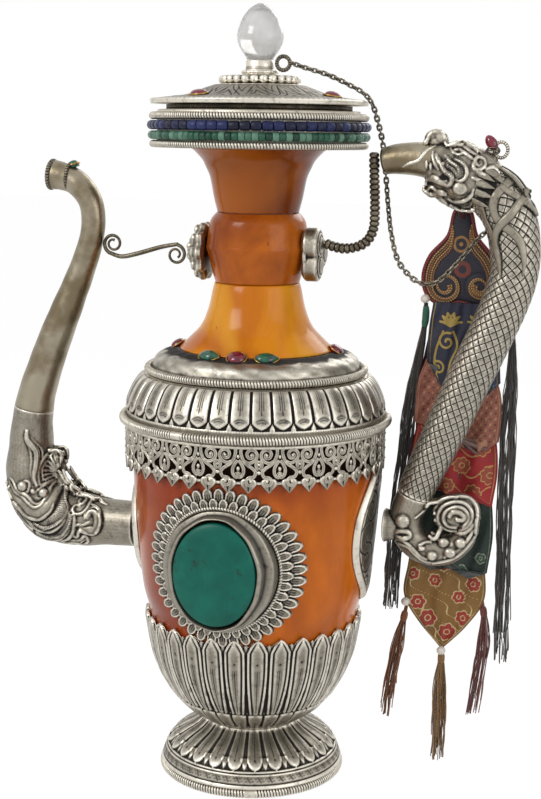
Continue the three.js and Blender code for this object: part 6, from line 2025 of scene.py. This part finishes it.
def makeNeckFittings():
    box = low("neck_medallion_left"), high("neck_medallion_left")
    zc = (box[0][2] + box[1][2]) / 2
    start = -neck["bossRoot"]
    span = start - box[0][0]
    radius = (box[1][2] - box[0][2]) / 2
    steps = [(radius * 0.82, 0), (radius * 0.98, 1.2), (radius, 3.2), (radius * 0.93, 4.6), (radius * 0.7, 5.4),
             (radius * 0.62, 5.0), (radius * 0.55, 6.0), (radius * 0.42, span - 2.4),
             (radius * 0.2, span - 1.2)]
    parts = [boss((start, 0, zc), -1, steps, neck["petals"], 0.12)]
    for k in range(neck["petals"]):
        a = k / neck["petals"] * turn
        parts.append(ball((start - 5.6, radius * 0.74 * math.cos(a), zc + radius * 0.74 * math.sin(a)),
                          (1.6, 2.7, 2.7), 14))
    for k in range(neck["seeds"]):
        a = (k + 0.5) / neck["seeds"] * turn
        parts.append(ball((start - span + 2.8, radius * 0.33 * math.cos(a), zc + radius * 0.33 * math.sin(a)),
                          (1.8, 1.9, 1.9), 12))
    parts.append(ball((start - span + 1.9, 0, zc), (1.9, 1.8, 1.8), 12))
    place("left_flower", oneSkin("leftFlower", parts, skinVoxel["boss"]), castSilver, "root", "silver",
          ["neck_medallion_left"], hollows=6)

    box = low("neck_medallion_right"), high("neck_medallion_right")
    zc = (box[0][2] + box[1][2]) / 2
    start = neck["bossRoot"]
    span = box[1][0] - start
    radius = (box[1][2] - box[0][2]) / 2
    parts = []
    for y, z, r in ((-3.4, 4.8, 8.2), (-3.0, -4.9, 7.8), (5.4, 0.4, 7.4)):
        rings = [(r * 0.8, 0), (r, 1.5), (r, span - 2.8), (r * 0.88, span - 1.7), (r * 0.76, span - 1.9),
                 (r * 0.66, span - 1.0), (r * 0.54, span - 1.4), (r * 0.42, span - 0.6), (r * 0.2, span - 0.3)]
        parts.append(boss((start, y, zc + z), 1, rings))
    parts.append(boss((start, 0, zc), 1, [(radius * 0.7, 0), (radius * 0.86, 1.0), (radius * 0.86, 2.4),
                                          (radius * 0.6, 3.2)]))
    place("right_bosses", oneSkin("rightBosses", parts, skinVoxel["boss"]), castSilver, "root", "silver",
          ["neck_medallion_right"], hollows=6)

    # the wire brace, a spiral at each end
    lo, hi = low("spout_brace"), high("spout_brace")

    def wound(startAngle, turns, least):
        t = np.linspace(0, 1, 40)
        a = math.radians(startAngle) + turns * turn * t
        r = 5 + (least - 5) * t
        return np.stack([r * np.cos(a), r * np.sin(a)], 1)

    left, right = wound(250, -1.5, 1.8), wound(90, -1.4, 1.7)
    left = left + (lo[0] + 0.9 - left[:, 0].min(), 263.8)
    right = right + (hi[0] - 0.9 - right[:, 0].max(), 259.4)
    a, b = left[0], right[0]
    mid = [(a[0] + 6, a[1] - 1.6), (a[0] + 14, a[1]), (b[0] - 8, b[1] - 1.6)]
    line = np.vstack([left[::-1], mid, right])
    path = smoothLine([(x, 0, z) for x, z in line], 260)
    t = np.linspace(0, 1, 260)
    thick = 0.62 + 0.55 * np.sin(math.pi * t) ** 2
    thick[:2] = thick[:2] * 1.3
    place("brace_wire", meshFrom("brace", *tube(path, thick, 12)), brownSilver, "root", "silver",
          ["spout_brace"], hollows=4)
    print("neck fittings ready")


makeNeckFittings()


# Bead strut

strut = {"level": 261.8, "beads": 26, "wire": 0.8}


def makeStrut():
    level, count = strut["level"], strut["beads"]
    inner = low("bead_strut")[0]
    points = [(inner, 0, level + 5.6), (37.6, 0, level + 4.2), (43.3, 0, level + 3.4), (49.6, 0, level + 4.6),
              (54.4, 0, level + 7.8), (57, 0, level + 13.6), (57.4, 0, level + 21), (57.2, 0, level + 29),
              (56.8, 0, level + 37), (56.4, 0, level + 49)]
    points = [(max(x, inner), y, z) for x, y, z in points]
    line = smoothLine(points, 200)
    spots = smoothLine(points, count * 2 + 1)[1::2]
    ahead = unit(np.gradient(spots, axis=0))
    outline = [(1.3, -1.45), (2.2, -0.9), (2.5, 0), (2.2, 0.9), (1.3, 1.45)]
    p, faces = revolve(smoothLine(outline, 13).tolist(), 16)
    shape = meshFrom("rondelle", p, faces)
    data = setPieces("strutBeads", shape, spots, ahead, (0, 1.0, 0), brownSilver, jitter=0.04, seed=3)
    place("strut_beads", data, brownSilver, "root", "silver", ["bead_strut"], hollows=3)
    wire = meshFrom("strutWire", *tube(line, strut["wire"], 8))
    place("strut_wire", wire, darkSilver, "root", "silver", hollows=0)
    print("strut ready")


makeStrut()


# Pendant: cloth that hangs from the handle's collar

def brocade(name, ground, thread, other, sheen=0.3, weave=1900):
    # woven silk: the ink is the pattern's first colour, the second is its other colour
    f = Finish(name)
    across = f.attribute("across")
    down = f.attribute("down")
    first = f.attribute("ink")
    second = f.attribute("second")
    flatCloth = f.add("ShaderNodeCombineXYZ", {}, [across * 0.001, down * 0.001, 0.0])
    grain = f.noise(weave, 2, where=flatCloth)
    fade = f.noise(90, 3)
    warp = (across * 9.0).sine() * 0.5 + 0.5
    weft = (down * 7.0).sine() * 0.5 + 0.5
    woven = f.mix((grain - 0.35).clamp() * 0.7 + warp * 0.18, ground, tuple(c * 0.35 for c in ground))
    frayed = (first + (grain - 0.5) * 0.5).step(0.35, 0.6)
    tinted = f.mix((second + (grain - 0.5) * 0.4).step(0.35, 0.6), woven, other)
    color = f.mix(frayed, tinted, thread)
    color = f.mix(fade.step(0.55, 0.75) * 0.35, color, (0.06, 0.04, 0.03))
    height = warp * 0.3 + weft * 0.3 + frayed * 0.9 + grain * 0.4
    return f.finish(color, 0.62 - frayed * 0.18, 0.0, f.bump(height, 0.6, 0.25),
                    **{"Sheen Weight": sheen, "Sheen Roughness": 0.4})


def threadFinish(name, dark, light):
    f = Finish(name)
    tone = f.attribute("tone")
    spot = f.noise(700, 2)
    return f.finish(f.mix((tone * 0.8 + spot * 0.3).clamp(), dark, light), 0.7, 0.0, f.bump(spot, 0.3, 0.1),
                    **{"Sheen Weight": 0.3})


def couched(name, dark, light):
    # a cord wound with thread, in fine slanting bands
    f = Finish(name)
    along = f.attribute("along")
    around = f.attribute("around")
    slant = (along * 5.2 + around * turn).sine() * 0.5 + 0.5
    return f.finish(f.mix(slant, dark, light), 0.45, 0.25, f.bump(slant, 0.5, 0.15), **{"Sheen Weight": 0.2})


navyBrocade = brocade("navyBrocade", (0.010, 0.012, 0.035), (0.36, 0.25, 0.05), (0.05, 0.11, 0.2))
roseBrocade = brocade("roseBrocade", (0.3, 0.1, 0.06), (0.42, 0.2, 0.12), (0.11, 0.03, 0.02), weave=1300)
redBrocade = brocade("redBrocade", (0.4, 0.016, 0.02), (0.5, 0.28, 0.09), (0.3, 0.06, 0.03))
greenBrocade = brocade("greenBrocade", (0.012, 0.03, 0.022), (0.3, 0.32, 0.24), (0.03, 0.08, 0.05))
mustardBrocade = brocade("mustardBrocade", (0.24, 0.12, 0.022), (0.56, 0.42, 0.2), (0.3, 0.025, 0.015))
wineSilk = brocade("wineSilk", (0.06, 0.006, 0.008), (0.12, 0.02, 0.02), (0.02, 0.004, 0.004))
capBrocade = brocade("capBrocade", (0.012, 0.010, 0.022), (0.3, 0.15, 0.04), (0.16, 0.03, 0.02))
goldCord = couched("goldCord", (0.12, 0.055, 0.015), (0.5, 0.3, 0.1))
copperCord = couched("copperCord", (0.08, 0.03, 0.015), (0.3, 0.13, 0.05))
redPiping = couched("redPiping", (0.09, 0.006, 0.006), (0.22, 0.02, 0.016))
darkThread = threadFinish("darkThread", (0.006, 0.005, 0.005), (0.045, 0.03, 0.02))
rustThread = threadFinish("rustThread", (0.05, 0.015, 0.006), (0.3, 0.11, 0.035))
goldThread = threadFinish("goldThread", (0.07, 0.035, 0.01), (0.34, 0.18, 0.06))
wineThread = threadFinish("wineThread", (0.04, 0.006, 0.006), (0.2, 0.05, 0.035))
greenThread = threadFinish("greenThread", (0.004, 0.03, 0.02), (0.02, 0.13, 0.08))


def pearlFinish():
    f = Finish("pearl")
    cloud = f.noise(300, 2)
    return f.finish(f.mix(cloud, (0.78, 0.74, 0.68), (0.62, 0.55, 0.48)), 0.22, 0.0, None,
                    **{"Coat Weight": 0.4})


pearl = pearlFinish()


def cordAlong(path, radius, sides=8, loop=False, up=(0, 1, 0)):
    points, faces = tube(path, radius, sides, loop=loop, up=up)
    far = np.concatenate([[0], np.cumsum(np.linalg.norm(np.diff(path, axis=0), axis=1))])
    extra = len(points) - len(path) * sides
    along = np.concatenate([np.repeat(far, sides), np.zeros(extra)])
    around = np.concatenate([np.tile(np.arange(sides) / sides, len(path)), np.zeros(extra)])
    return points, faces, along, around


def placeCords(name, cords, material, body, slotName):
    points, faces = joined([(p, f) for p, f, _, _ in cords])
    data = meshFrom(name, points, faces)
    setAttribute(data, "along", np.concatenate([c[2] for c in cords]))
    setAttribute(data, "around", np.concatenate([c[3] for c in cords]))
    return place(name, data, material, body, slotName, hollows=0)


# Cap: a stuffed shape with piping and couched cords

cap = {
    "outline": [(93.6, 284), (100.4, 284), (104, 272), (112, 262), (115.4, 252), (113, 243), (106, 238.6),
                (97, 240), (88, 238.6), (81, 243), (78.8, 252), (82, 262), (90.4, 271.9)],
    "middle": 17.2, "half": 3.2, "centre": (97, 256), "edge": 0.7,
}


def capEdge():
    line = smoothLine(cap["outline"], 240, closed=True) - cap["centre"]
    angle = np.unwrap(np.arctan2(line[:, 1], line[:, 0]))
    order = np.argsort(np.mod(angle, turn))
    return np.mod(angle, turn)[order], np.linalg.norm(line, axis=1)[order]


capAngles, capRadii = capEdge()


def capReach(x, z):
    angle = np.mod(np.arctan2(z - cap["centre"][1], x - cap["centre"][0]), turn)
    return np.interp(angle, capAngles, capRadii, period=turn)


def capDepth(x, z):
    far = np.hypot(x - cap["centre"][0], z - cap["centre"][1]) / capReach(x, z)
    return cap["edge"] + (cap["half"] - cap["edge"]) * np.sqrt(np.clip(1 - far ** 3, 0, 1))


def capInset(distance, start, end, count):
    # a line that runs inside the edge, between two angles in degrees
    a = np.radians(np.linspace(start, end, count))
    r = np.interp(np.mod(a, turn), capAngles, capRadii, period=turn) - distance
    return np.stack([cap["centre"][0] + r * np.cos(a), cap["centre"][1] + r * np.sin(a)], 1)


def makeCap():
    u = np.linspace(0, turn, 160, endpoint=False)
    t = np.concatenate([np.linspace(0.02, 0.9, 34), np.linspace(0.92, 1, 8)])[:, None]
    r = np.interp(u, capAngles, capRadii, period=turn)[None] * t
    x, z = cap["centre"][0] + r * np.cos(u), cap["centre"][1] + r * np.sin(u)
    depth = capDepth(x, z)
    # quilting pulls the cloth in beside the cords
    pulled = (depth - 0.35 * ridge(np.hypot(x - 91, z - 247.6) - 6.2, 0.6)
              - 0.35 * ridge(np.hypot(x - 106, z - 247.8) - 6.4, 0.6))
    front = np.stack([x, cap["middle"] - pulled, z], -1)
    back = np.stack([x, cap["middle"] + depth, z], -1)[::-1]
    points, faces = skin(np.vstack([front, back]))
    data = meshFrom("cap", points, faces)
    px, pz = points[:, 0], points[:, 2]
    setAttribute(data, "across", px)
    setAttribute(data, "down", pz)
    motif = ridge(np.hypot(px - 97, pz - 268) - 3.4, 0.7) + ridge(np.hypot(px - 97, pz - 268), 1.2)
    setAttribute(data, "ink", motif + ridge(fold((px + pz) / 5.5), 0.09) * 0.4 * (pz < 250))
    setAttribute(data, "second", ridge(np.hypot(px - 98, pz - 256) - 3.0, 1.2))
    piece = place("cap_cloth", data, capBrocade, "pendant", "cap_brocade", ["brocade_cap"], hollows=0)
    edge = capInset(0.1, 0, 358, 200)
    piping = cordAlong(np.insert(edge, 1, cap["middle"] - 1.2, 1), 1.05, 8, loop=True)
    placeCords("cap_piping", [piping], redPiping, "pendant", "cap_brocade")
    golds, coppers = [], []
    for side in (-1, 1):
        for k, inset in enumerate((1.9, 3.1, 4.3, 5.5)):
            start, end = (78, -34) if side > 0 else (102, 214)
            line = capInset(inset, start, end, 26)
            # the run ends in a flat coil on the lower lobe
            hub = np.array([106.4, 247.8]) if side > 0 else np.array([90.2, 247.6])
            if k < 3:
                first = line[-1] - hub
                a0 = math.atan2(first[1], first[0])
                r0 = np.linalg.norm(first)
                ts = np.linspace(0, 1, 40)[1:]
                a = a0 - side * turn * 1.55 * ts
                rr = r0 * (1 - ts) + (1.0 + 0.9 * k) * ts
                coil = np.stack([hub[0] + rr * np.cos(a), hub[1] + rr * np.sin(a)], 1)
                line = np.vstack([line, coil])
            smooth = smoothLine(line, 150)
            depth = capDepth(smooth[:, 0], smooth[:, 1])
            for face in (-1, 1):
                path = np.insert(smooth, 1, cap["middle"] + face * (depth + 0.2), 1)
                (golds if k % 2 == 0 else coppers).append(cordAlong(path, 0.52, 6))
    placeCords("cap_gold_cords", golds, goldCord, "pendant", "gold_thread")
    placeCords("cap_copper_cords", coppers, copperCord, "pendant", "gold_thread")
    strap = tube([(97, 16.2, 279.5), (97, 13.8, 285), (97, 12.6, 289), (97, 12.4, 292.4)], [2.2, 2.2, 2.2, 1.8],
                 12, 0.55)
    strapData = meshFrom("strap", *strap)
    spread = vectors(strapData, "co") / mm
    setAttribute(strapData, "across", spread[:, 0])
    setAttribute(strapData, "down", spread[:, 2])
    place("cap_strap", strapData, wineSilk, "pendant", "cap_brocade", hollows=0)
    print("cap ready")


makeCap()


# Cloths: each hangs over the one below it, folded

def flower(x, z, at, size, petals, twist=0.0):
    # the outline of a blossom and its heart
    dx, dz = x - at[0], z - at[1]
    a, r = np.arctan2(dz, dx), np.hypot(dx, dz)
    rim = size * (0.78 + 0.22 * np.abs(np.cos(petals / 2 * (a + twist))))
    return ridge(r - rim, 0.35) + ridge(r - size * 0.3, 0.3), (r < rim).astype(float)


def blossoms(x, z, spots, size, petals=6):
    line, inside = np.zeros(x.shape), np.zeros(x.shape)
    for k, at in enumerate(spots):
        a, b = flower(x, z, at, size * (0.85 + 0.3 * (k % 3) / 2), petals, k)
        line, inside = np.maximum(line, a), np.maximum(inside, b)
    return line, inside


def navyPattern(x, z):
    # a lotus over scrolls, in couched gold
    coils = [(92, 221, 4.6, 1.3, 1.2), (88, 208, 3.4, -1.3, 2), (99, 213, 3.6, -1.4, 0.4),
             (108, 222, 4.4, 1.4, 1), (112, 206, 3.6, -1.4, 3)]
    lines = [coilLine(*facts) for facts in coils]
    lines += [[(90, 226), (87, 218), (86, 210), (88, 202)], [(95, 226), (97, 219), (94, 211), (93, 203)],
              [(104, 226), (103, 218), (107, 210), (110, 202)]]
    lotus = []
    for at in ((93.4, 231.6), (107, 232)):
        for a in np.linspace(0.1, math.pi - 0.1, 6):
            tip = (at[0] + 5.2 * math.cos(a), at[1] + 5.0 * math.sin(a) - 1.5)
            lotus.append([(at[0], at[1] - 3), ((at[0] + tip[0]) / 2 + 0.9, (at[1] + tip[1]) / 2 - 0.8), tip])
            lotus.append([(at[0], at[1] - 3), ((at[0] + tip[0]) / 2 - 0.9, (at[1] + tip[1]) / 2 - 0.8), tip])
    ink = strokesInk(x, z, lines + lotus, 0.62)
    aside, level = fold(x / 2.7 + 0.4 * np.sin(z * 1.7)), fold(z / 3.1 + 0.3 * np.sin(x))
    flecks = ridge(aside, 0.13) * ridge(level, 0.16) * (x > 104) * (z < 212)
    return ink, flecks * 2


def rosePattern(x, z):
    # a lattice of small lozenges that fades in and out
    a, b = fold((x + z * 0.8) / 4.4), fold((x - z * 0.8) / 4.4)
    lattice = np.maximum(ridge(a, 0.085), ridge(b, 0.085)) * 0.8
    heart = ridge(np.hypot(a, b), 0.14)
    pale = rise(176, 170, z) * (x > 98) * (x < 113)
    return np.clip(lattice * 0.7 + heart + pale * 0.9, 0, 1), ridge(np.hypot(fold(a + 0.5), fold(b + 0.5)), 0.2)


def redPattern(x, z):
    spots = [(88, 170), (101, 160), (110, 170), (94, 150), (107, 147), (115, 156), (85, 156)]
    line, inside = blossoms(x, z, spots, 4.2, 8)
    vine = ridge(fold((z + 3.2 * np.sin(x / 3.2)) / 10.5) * 10.5, 0.45)
    return np.clip(line + vine * (1 - inside), 0, 1), inside * 0.6


def greenPattern(x, z):
    swirl = ridge(fold((z + 2.6 * np.sin(x / 2.3) + 1.2 * np.sin(x / 0.9)) / 4.6) * 4.6, 0.28)
    spots = [(90, 140), (108, 134), (98, 122), (112, 114), (86, 112), (102, 106)]
    line, inside = blossoms(x, z, spots, 3.2, 5)
    return np.clip(line * 0.9 + swirl * 0.5 * (1 - inside), 0, 1), inside


def mustardPattern(x, z):
    spots = [(89.4, 100.2), (81.2, 88.5), (86.4, 80.4), (101.5, 92.4), (108.6, 100), (96.2, 74), (78.4, 103),
             (104, 82), (94, 110)]
    line, inside = blossoms(x, z, spots, 4.0, 6)
    vine = ridge(fold((x * 0.7 + z + 2.4 * np.sin(z / 2.1)) / 8.5) * 8.5, 0.35)
    return np.clip(line + vine * (1 - inside) * 0.8, 0, 1), inside


def plainPattern(x, z):
    return 0.5 * ridge(fold(x / 1.6), 0.1), 0 * x


clothThick = 0.55

cloths = [
    # name, finish, pattern, left and right edge, hem, depth, lean, pleats, how far they swing
    ("wine_backing", wineSilk, plainPattern, [(85, 238), (78, 200), (77, 165), (79, 130), (80, 96)],
     [(109, 238), (114.6, 205), (116, 165), (114, 130), (110, 96)], [0, 4, 0, -3, 0], 18.2, 0.0, 2, 0.9),
    ("mustard_cloth", mustardBrocade, mustardPattern,
     [(78, 124), (75.6, 108), (73.9, 92), (82, 78), (93.2, 65.6)],
     [(112, 124), (114, 108), (114.2, 92), (106, 78), (94.6, 65.6)], [0, 0, 0, 0, 0], 16.4, -0.4, 2.5, 1.1),
    ("green_cloth", greenBrocade, greenPattern, [(80, 156), (77.6, 140), (76.6, 124), (77.4, 108)],
     [(114, 156), (116.6, 140), (117.4, 124), (115.4, 106)], [4, -2, 5, -4, 1], 15.6, -1.0, 2.2, 1.3),
    ("red_cloth", redBrocade, redPattern, [(80, 186), (77, 172), (75.6, 160), (77, 148)],
     [(114, 186), (117.6, 172), (118.4, 158), (116.4, 143)], [0, 5, -3, 3, -3], 14.6, -1.1, 2.6, 1.3),
    ("rose_cloth", roseBrocade, rosePattern, [(82, 212), (78.6, 202), (77.6, 190), (77.4, 179)],
     [(112, 212), (117.6, 200), (119.4, 188), (118.6, 170)], [2, 7, -4, -6, 3], 13.8, -1.1, 2.3, 1.2),
    ("navy_cloth", navyBrocade, navyPattern, [(84.6, 240), (83.2, 230), (82.4, 220), (82.6, 211)],
     [(109.4, 240), (114.4, 228), (117.2, 216), (118.4, 204)], [0, -14, 8, -13, -2], 13.0, -0.9, 2.1, 1.0),
]


def makeCloth(name, material, pattern, left, right, hem, depth, lean, pleats, swing):
    rows, columns = 110, 72
    # left and right are its side edges, going down; the hem moves the lower edge up or down across the width
    s = np.linspace(0, 1, rows)[:, None]
    t = np.linspace(0, 1, columns)[None]
    a, b = smoothLine(left, rows), smoothLine(right, rows)
    drop = between(hem, t)
    x = a[:, :1] * (1 - t) + b[:, :1] * t
    z = a[:, 1:] * (1 - t) + b[:, 1:] * t + drop * s ** 2
    wave = np.sin(turn * (t * pleats + 0.12 * np.sin(s * 3) + depth)) * (0.35 + 0.65 * s)
    small = 0.25 * np.sin(turn * (t * 5.3 + s * 2.1 + depth))
    narrow = np.clip((b[:, :1] - a[:, :1]) / 14, 0, 1)
    y = depth + lean * s ** 1.5 + (swing * wave + small) * narrow
    front = np.stack([x + 0 * y, y, z], -1)
    back = front + (0, clothThick, 0)
    points, faces = skin(np.concatenate([front, back[:, ::-1]], 1))
    data = meshFrom(name, points, faces)
    px, pz = points[:, 0], points[:, 2]
    stretch = 1.0 + 0.25 * np.sin(pz / 17.0)
    setAttribute(data, "across", px * stretch)
    setAttribute(data, "down", pz)
    ink, second = pattern(px, pz)
    border = np.zeros(len(points))
    edge = np.minimum(t * (b[:, :1] - a[:, :1]), (1 - t) * (b[:, :1] - a[:, :1])) * np.ones_like(x)
    edge = np.minimum(edge, (1 - s) * 60)
    border[:rows * columns * 2] = np.concatenate([edge, edge[:, ::-1]], 1).ravel()
    hemLine = ridge(border - 1.3, 0.3) * (name != "wine_backing")
    setAttribute(data, "ink", np.clip(ink * (border > 2.0) + hemLine * 0.8, 0, 1))
    setAttribute(data, "second", np.clip(second, 0, 1) * (border > 2.0))
    piece = place(name, data, material, "pendant", "panel_brocade", ["brocade_panels"], hollows=0)
    across = np.linalg.norm(np.diff(front, axis=1), axis=2)
    downward = np.linalg.norm(np.diff(front, axis=0), axis=2)
    area = (across[:-1] * downward[:, :-1]).sum()
    width, length = across.sum(1).max(), downward.sum(0).max()
    share = min(1.0, max(0.3, area / (width * length)))
    share * width * length * mm * mm
    print(name, round(width, 1), "by", round(length, 1), "mm flat")
    return piece


for facts in cloths:
    makeCloth(*facts)


# Tassels: threads that follow a guide line, each with its own way and length

def threadTree():
    tree, names, given = openTree("threads", "Guide", [
        ("Threads", "Int"), ("Spread", "Float"), ("Depth", "Float"), ("Thickness", "Float"),
        ("Wander", "Float"), ("Uneven", "Float"), ("Seed", "Int"), ("Finish", "Material")])

    def chance(kind, least, most, seedStep, identity):
        node = tree.nodes.new("FunctionNodeRandomValue")
        node.data_type = kind
        for socket in node.inputs:
            if socket.enabled and socket.name == "Min":
                socket.default_value = least
            if socket.enabled and socket.name == "Max":
                socket.default_value = most
            if socket.enabled and socket.name == "ID":
                tree.links.new(identity.socket, socket)
            if socket.enabled and socket.name == "Seed":
                tree.links.new((given["Seed"] + seedStep).socket, socket)
        return [Wire(tree, o) for o in node.outputs if o.enabled][-1]

    curve = add(tree, "GeometryNodeMeshToCurve", {}, [given["Guide"]])
    curve = add(tree, "GeometryNodeResampleCurve", {}, {"Curve": curve, "Count": 24})
    copies = add(tree, "GeometryNodeDuplicateElements", {"domain": "SPLINE"},
                 {"Geometry": curve, "Amount": given["Threads"]})
    index = Wire(tree, copies.socket.node.outputs["Duplicate Index"])
    marked = add(tree, "GeometryNodeStoreNamedAttribute", {"data_type": "INT", "domain": "CURVE"},
                 {"Geometry": copies, "Name": "thread", "Value": index})
    thread = named(tree, "thread", "INT")
    parameter = add(tree, "GeometryNodeSplineParameter", {})
    opened = 0.22 + parameter.step(0.0, 0.4) * 0.78
    aside = chance("FLOAT_VECTOR", (-1, -1, 0), (1, 1, 0), 1, thread)
    wide = add(tree, "ShaderNodeCombineXYZ", {}, [given["Spread"] * opened, given["Depth"] * opened, 0.0])
    offset = add(tree, "ShaderNodeVectorMath", {"operation": "MULTIPLY"}, {0: aside, 1: wide})
    where = add(tree, "GeometryNodeInputPosition", {})
    own = add(tree, "ShaderNodeCombineXYZ", {}, [thread * 3.71, thread * 1.37, thread * 2.11])
    moved = add(tree, "ShaderNodeVectorMath", {"operation": "SCALE"}, {0: where, "Scale": 34.0})
    moved = add(tree, "ShaderNodeVectorMath", {"operation": "ADD"}, {0: moved, 1: own})
    drift = add(tree, "ShaderNodeTexNoise", {}, {"Vector": moved, "Scale": 1.0, "Detail": 2.0}, 1)
    drift = add(tree, "ShaderNodeVectorMath", {"operation": "SUBTRACT"}, {0: drift, 1: (0.5, 0.5, 0.5)})
    drift = add(tree, "ShaderNodeVectorMath", {"operation": "SCALE"},
                {0: drift, "Scale": given["Wander"] * parameter.step(0.02, 0.3)})
    offset = add(tree, "ShaderNodeVectorMath", {"operation": "ADD"}, {0: offset, 1: drift})
    bentThreads = add(tree, "GeometryNodeSetPosition", {}, {"Geometry": marked, "Offset": offset})
    short = 1 - chance("FLOAT", 0.0, 1.0, 2, thread) ** 2.0 * given["Uneven"]
    cut = tree.nodes.new("GeometryNodeTrimCurve")
    tree.links.new(bentThreads.socket, cut.inputs["Curve"])
    ends = [s for s in cut.inputs if s.name == "End" and s.enabled]
    tree.links.new(short.socket, ends[0])
    tone = chance("FLOAT", 0.0, 1.0, 3, thread)
    toned = add(tree, "GeometryNodeStoreNamedAttribute", {"data_type": "FLOAT", "domain": "CURVE"},
                {"Geometry": Wire(tree, cut.outputs["Curve"]), "Name": "tone", "Value": tone})
    ring = add(tree, "GeometryNodeCurvePrimitiveCircle", {}, {"Resolution": 3, "Radius": given["Thickness"]})
    solid = add(tree, "GeometryNodeCurveToMesh", {}, {"Curve": toned, "Profile Curve": ring, "Fill Caps": True})
    closeTree(tree, solid, given["Finish"])
    return tree, names


threadGroup, threadInputs = threadTree()


def threads(name, guide, material, count, spread, depth, thickness, wander, uneven, seed):
    data = bpy.data.meshes.new(name + "Guide")
    line = smoothLine(guide, 40)
    data.from_pydata((line * mm).tolist(), [(i, i + 1) for i in range(39)], [])
    holder = linked(name + "Guide", data)
    modifier = holder.modifiers.new("threads", "NODES")
    modifier.node_group = threadGroup
    values = {"Threads": count, "Spread": spread * mm, "Depth": depth * mm, "Thickness": thickness * mm,
              "Wander": wander * mm, "Uneven": uneven, "Seed": seed, "Finish": material}
    for key, value in values.items():
        modifier[threadInputs[key]] = value
    return finished(name, holder), line


tassels = [
    # name, guide in x and z, finish, slot, threads, spread, uneven, pearl, wrap
    ("tassel_upper_left",
     [(80.6, 239), (80.4, 229), (76.6, 204), (74.4, 182), (71.4, 150), (68.6, 112), (67.6, 84)],
     darkThread, "dark_thread", 54, 3.8, 0.22, (80.4, 241.2), greenThread),
    ("tassel_upper_right",
     [(115.4, 242), (122.4, 229), (123.2, 204), (122.6, 180), (122.8, 144), (123.4, 104), (123.4, 62)],
     darkThread, "dark_thread", 54, 3.5, 0.25, None, greenThread),
    ("tassel_lower_left", [(75.4, 86), (74.2, 79), (71.4, 66), (68.6, 48), (66.6, 27)],
     rustThread, "gold_thread", 40, 3.0, 0.3, (75.2, 88.4), rustThread),
    ("tassel_centre", [(93.9, 66), (93.9, 59), (93.6, 44), (93.9, 26), (93.9, 6.6)],
     goldThread, "gold_thread", 60, 3.6, 0.28, (93.9, 64.6), goldThread),
    ("tassel_lower_right", [(113.2, 92), (114.6, 82), (114.2, 66), (112.6, 50), (110.6, 33)],
     wineThread, "gold_thread", 40, 2.9, 0.3, None, wineThread),
]


pearlSize = (2.35, 2.35, 2.2)
tasselDepth = 16.4
pearlDepth = 14.6


def makeTassel(name, guide, material, slotName, count, spread, uneven, pearlAt, wrap, seed):
    body = name + "_body"
    line3 = [(x, tasselDepth - 0.4 * i, z) for i, (x, z) in enumerate(guide)]
    wander = 5.5 if len(guide) > 6 else 4.0
    data, line = threads(name, line3, material, count, spread, 1.7, 0.3, wander, uneven, seed)
    piece = place(name + "_threads", data, material, body, slotName, [name], hollows=0)
    length = lengthOf(line)
    if pearlAt:
        p, faces = ball((pearlAt[0], pearlDepth, pearlAt[1]), pearlSize, 16)
        bead = place(name + "_pearl", meshFrom("pearl", p, faces), pearl, body, slotName, hollows=0)
    # thread wound round the top
    shares = np.linspace(0.055, 0.14, 40) if length < 90 else np.linspace(0.01, 0.075, 40)
    far = np.linspace(0, 1, len(line))
    path = np.stack([np.interp(shares, far, line[:, k]) for k in range(3)], 1)
    radius = 1.9 - 0.5 * np.abs(np.linspace(-1, 1, 40)) ** 3
    bound = cordAlong(path, ropeRadius(40, 10, 1, 13, 0.22) * radius[:, None], 10)
    data = meshFrom("wrap", bound[0], bound[1])
    setAttribute(data, "tone", np.full(len(bound[0]), 0.6))
    place(name + "_wrap", data, wrap, body, slotName, hollows=0)
    shown = line[:-1]
    length = lengthOf(shown)
    (2 * spread + wander * 0.4) * mm
    print(name, round(length, 1), "mm")


for seed, facts in enumerate(tassels):
    makeTassel(*facts, seed + 21)
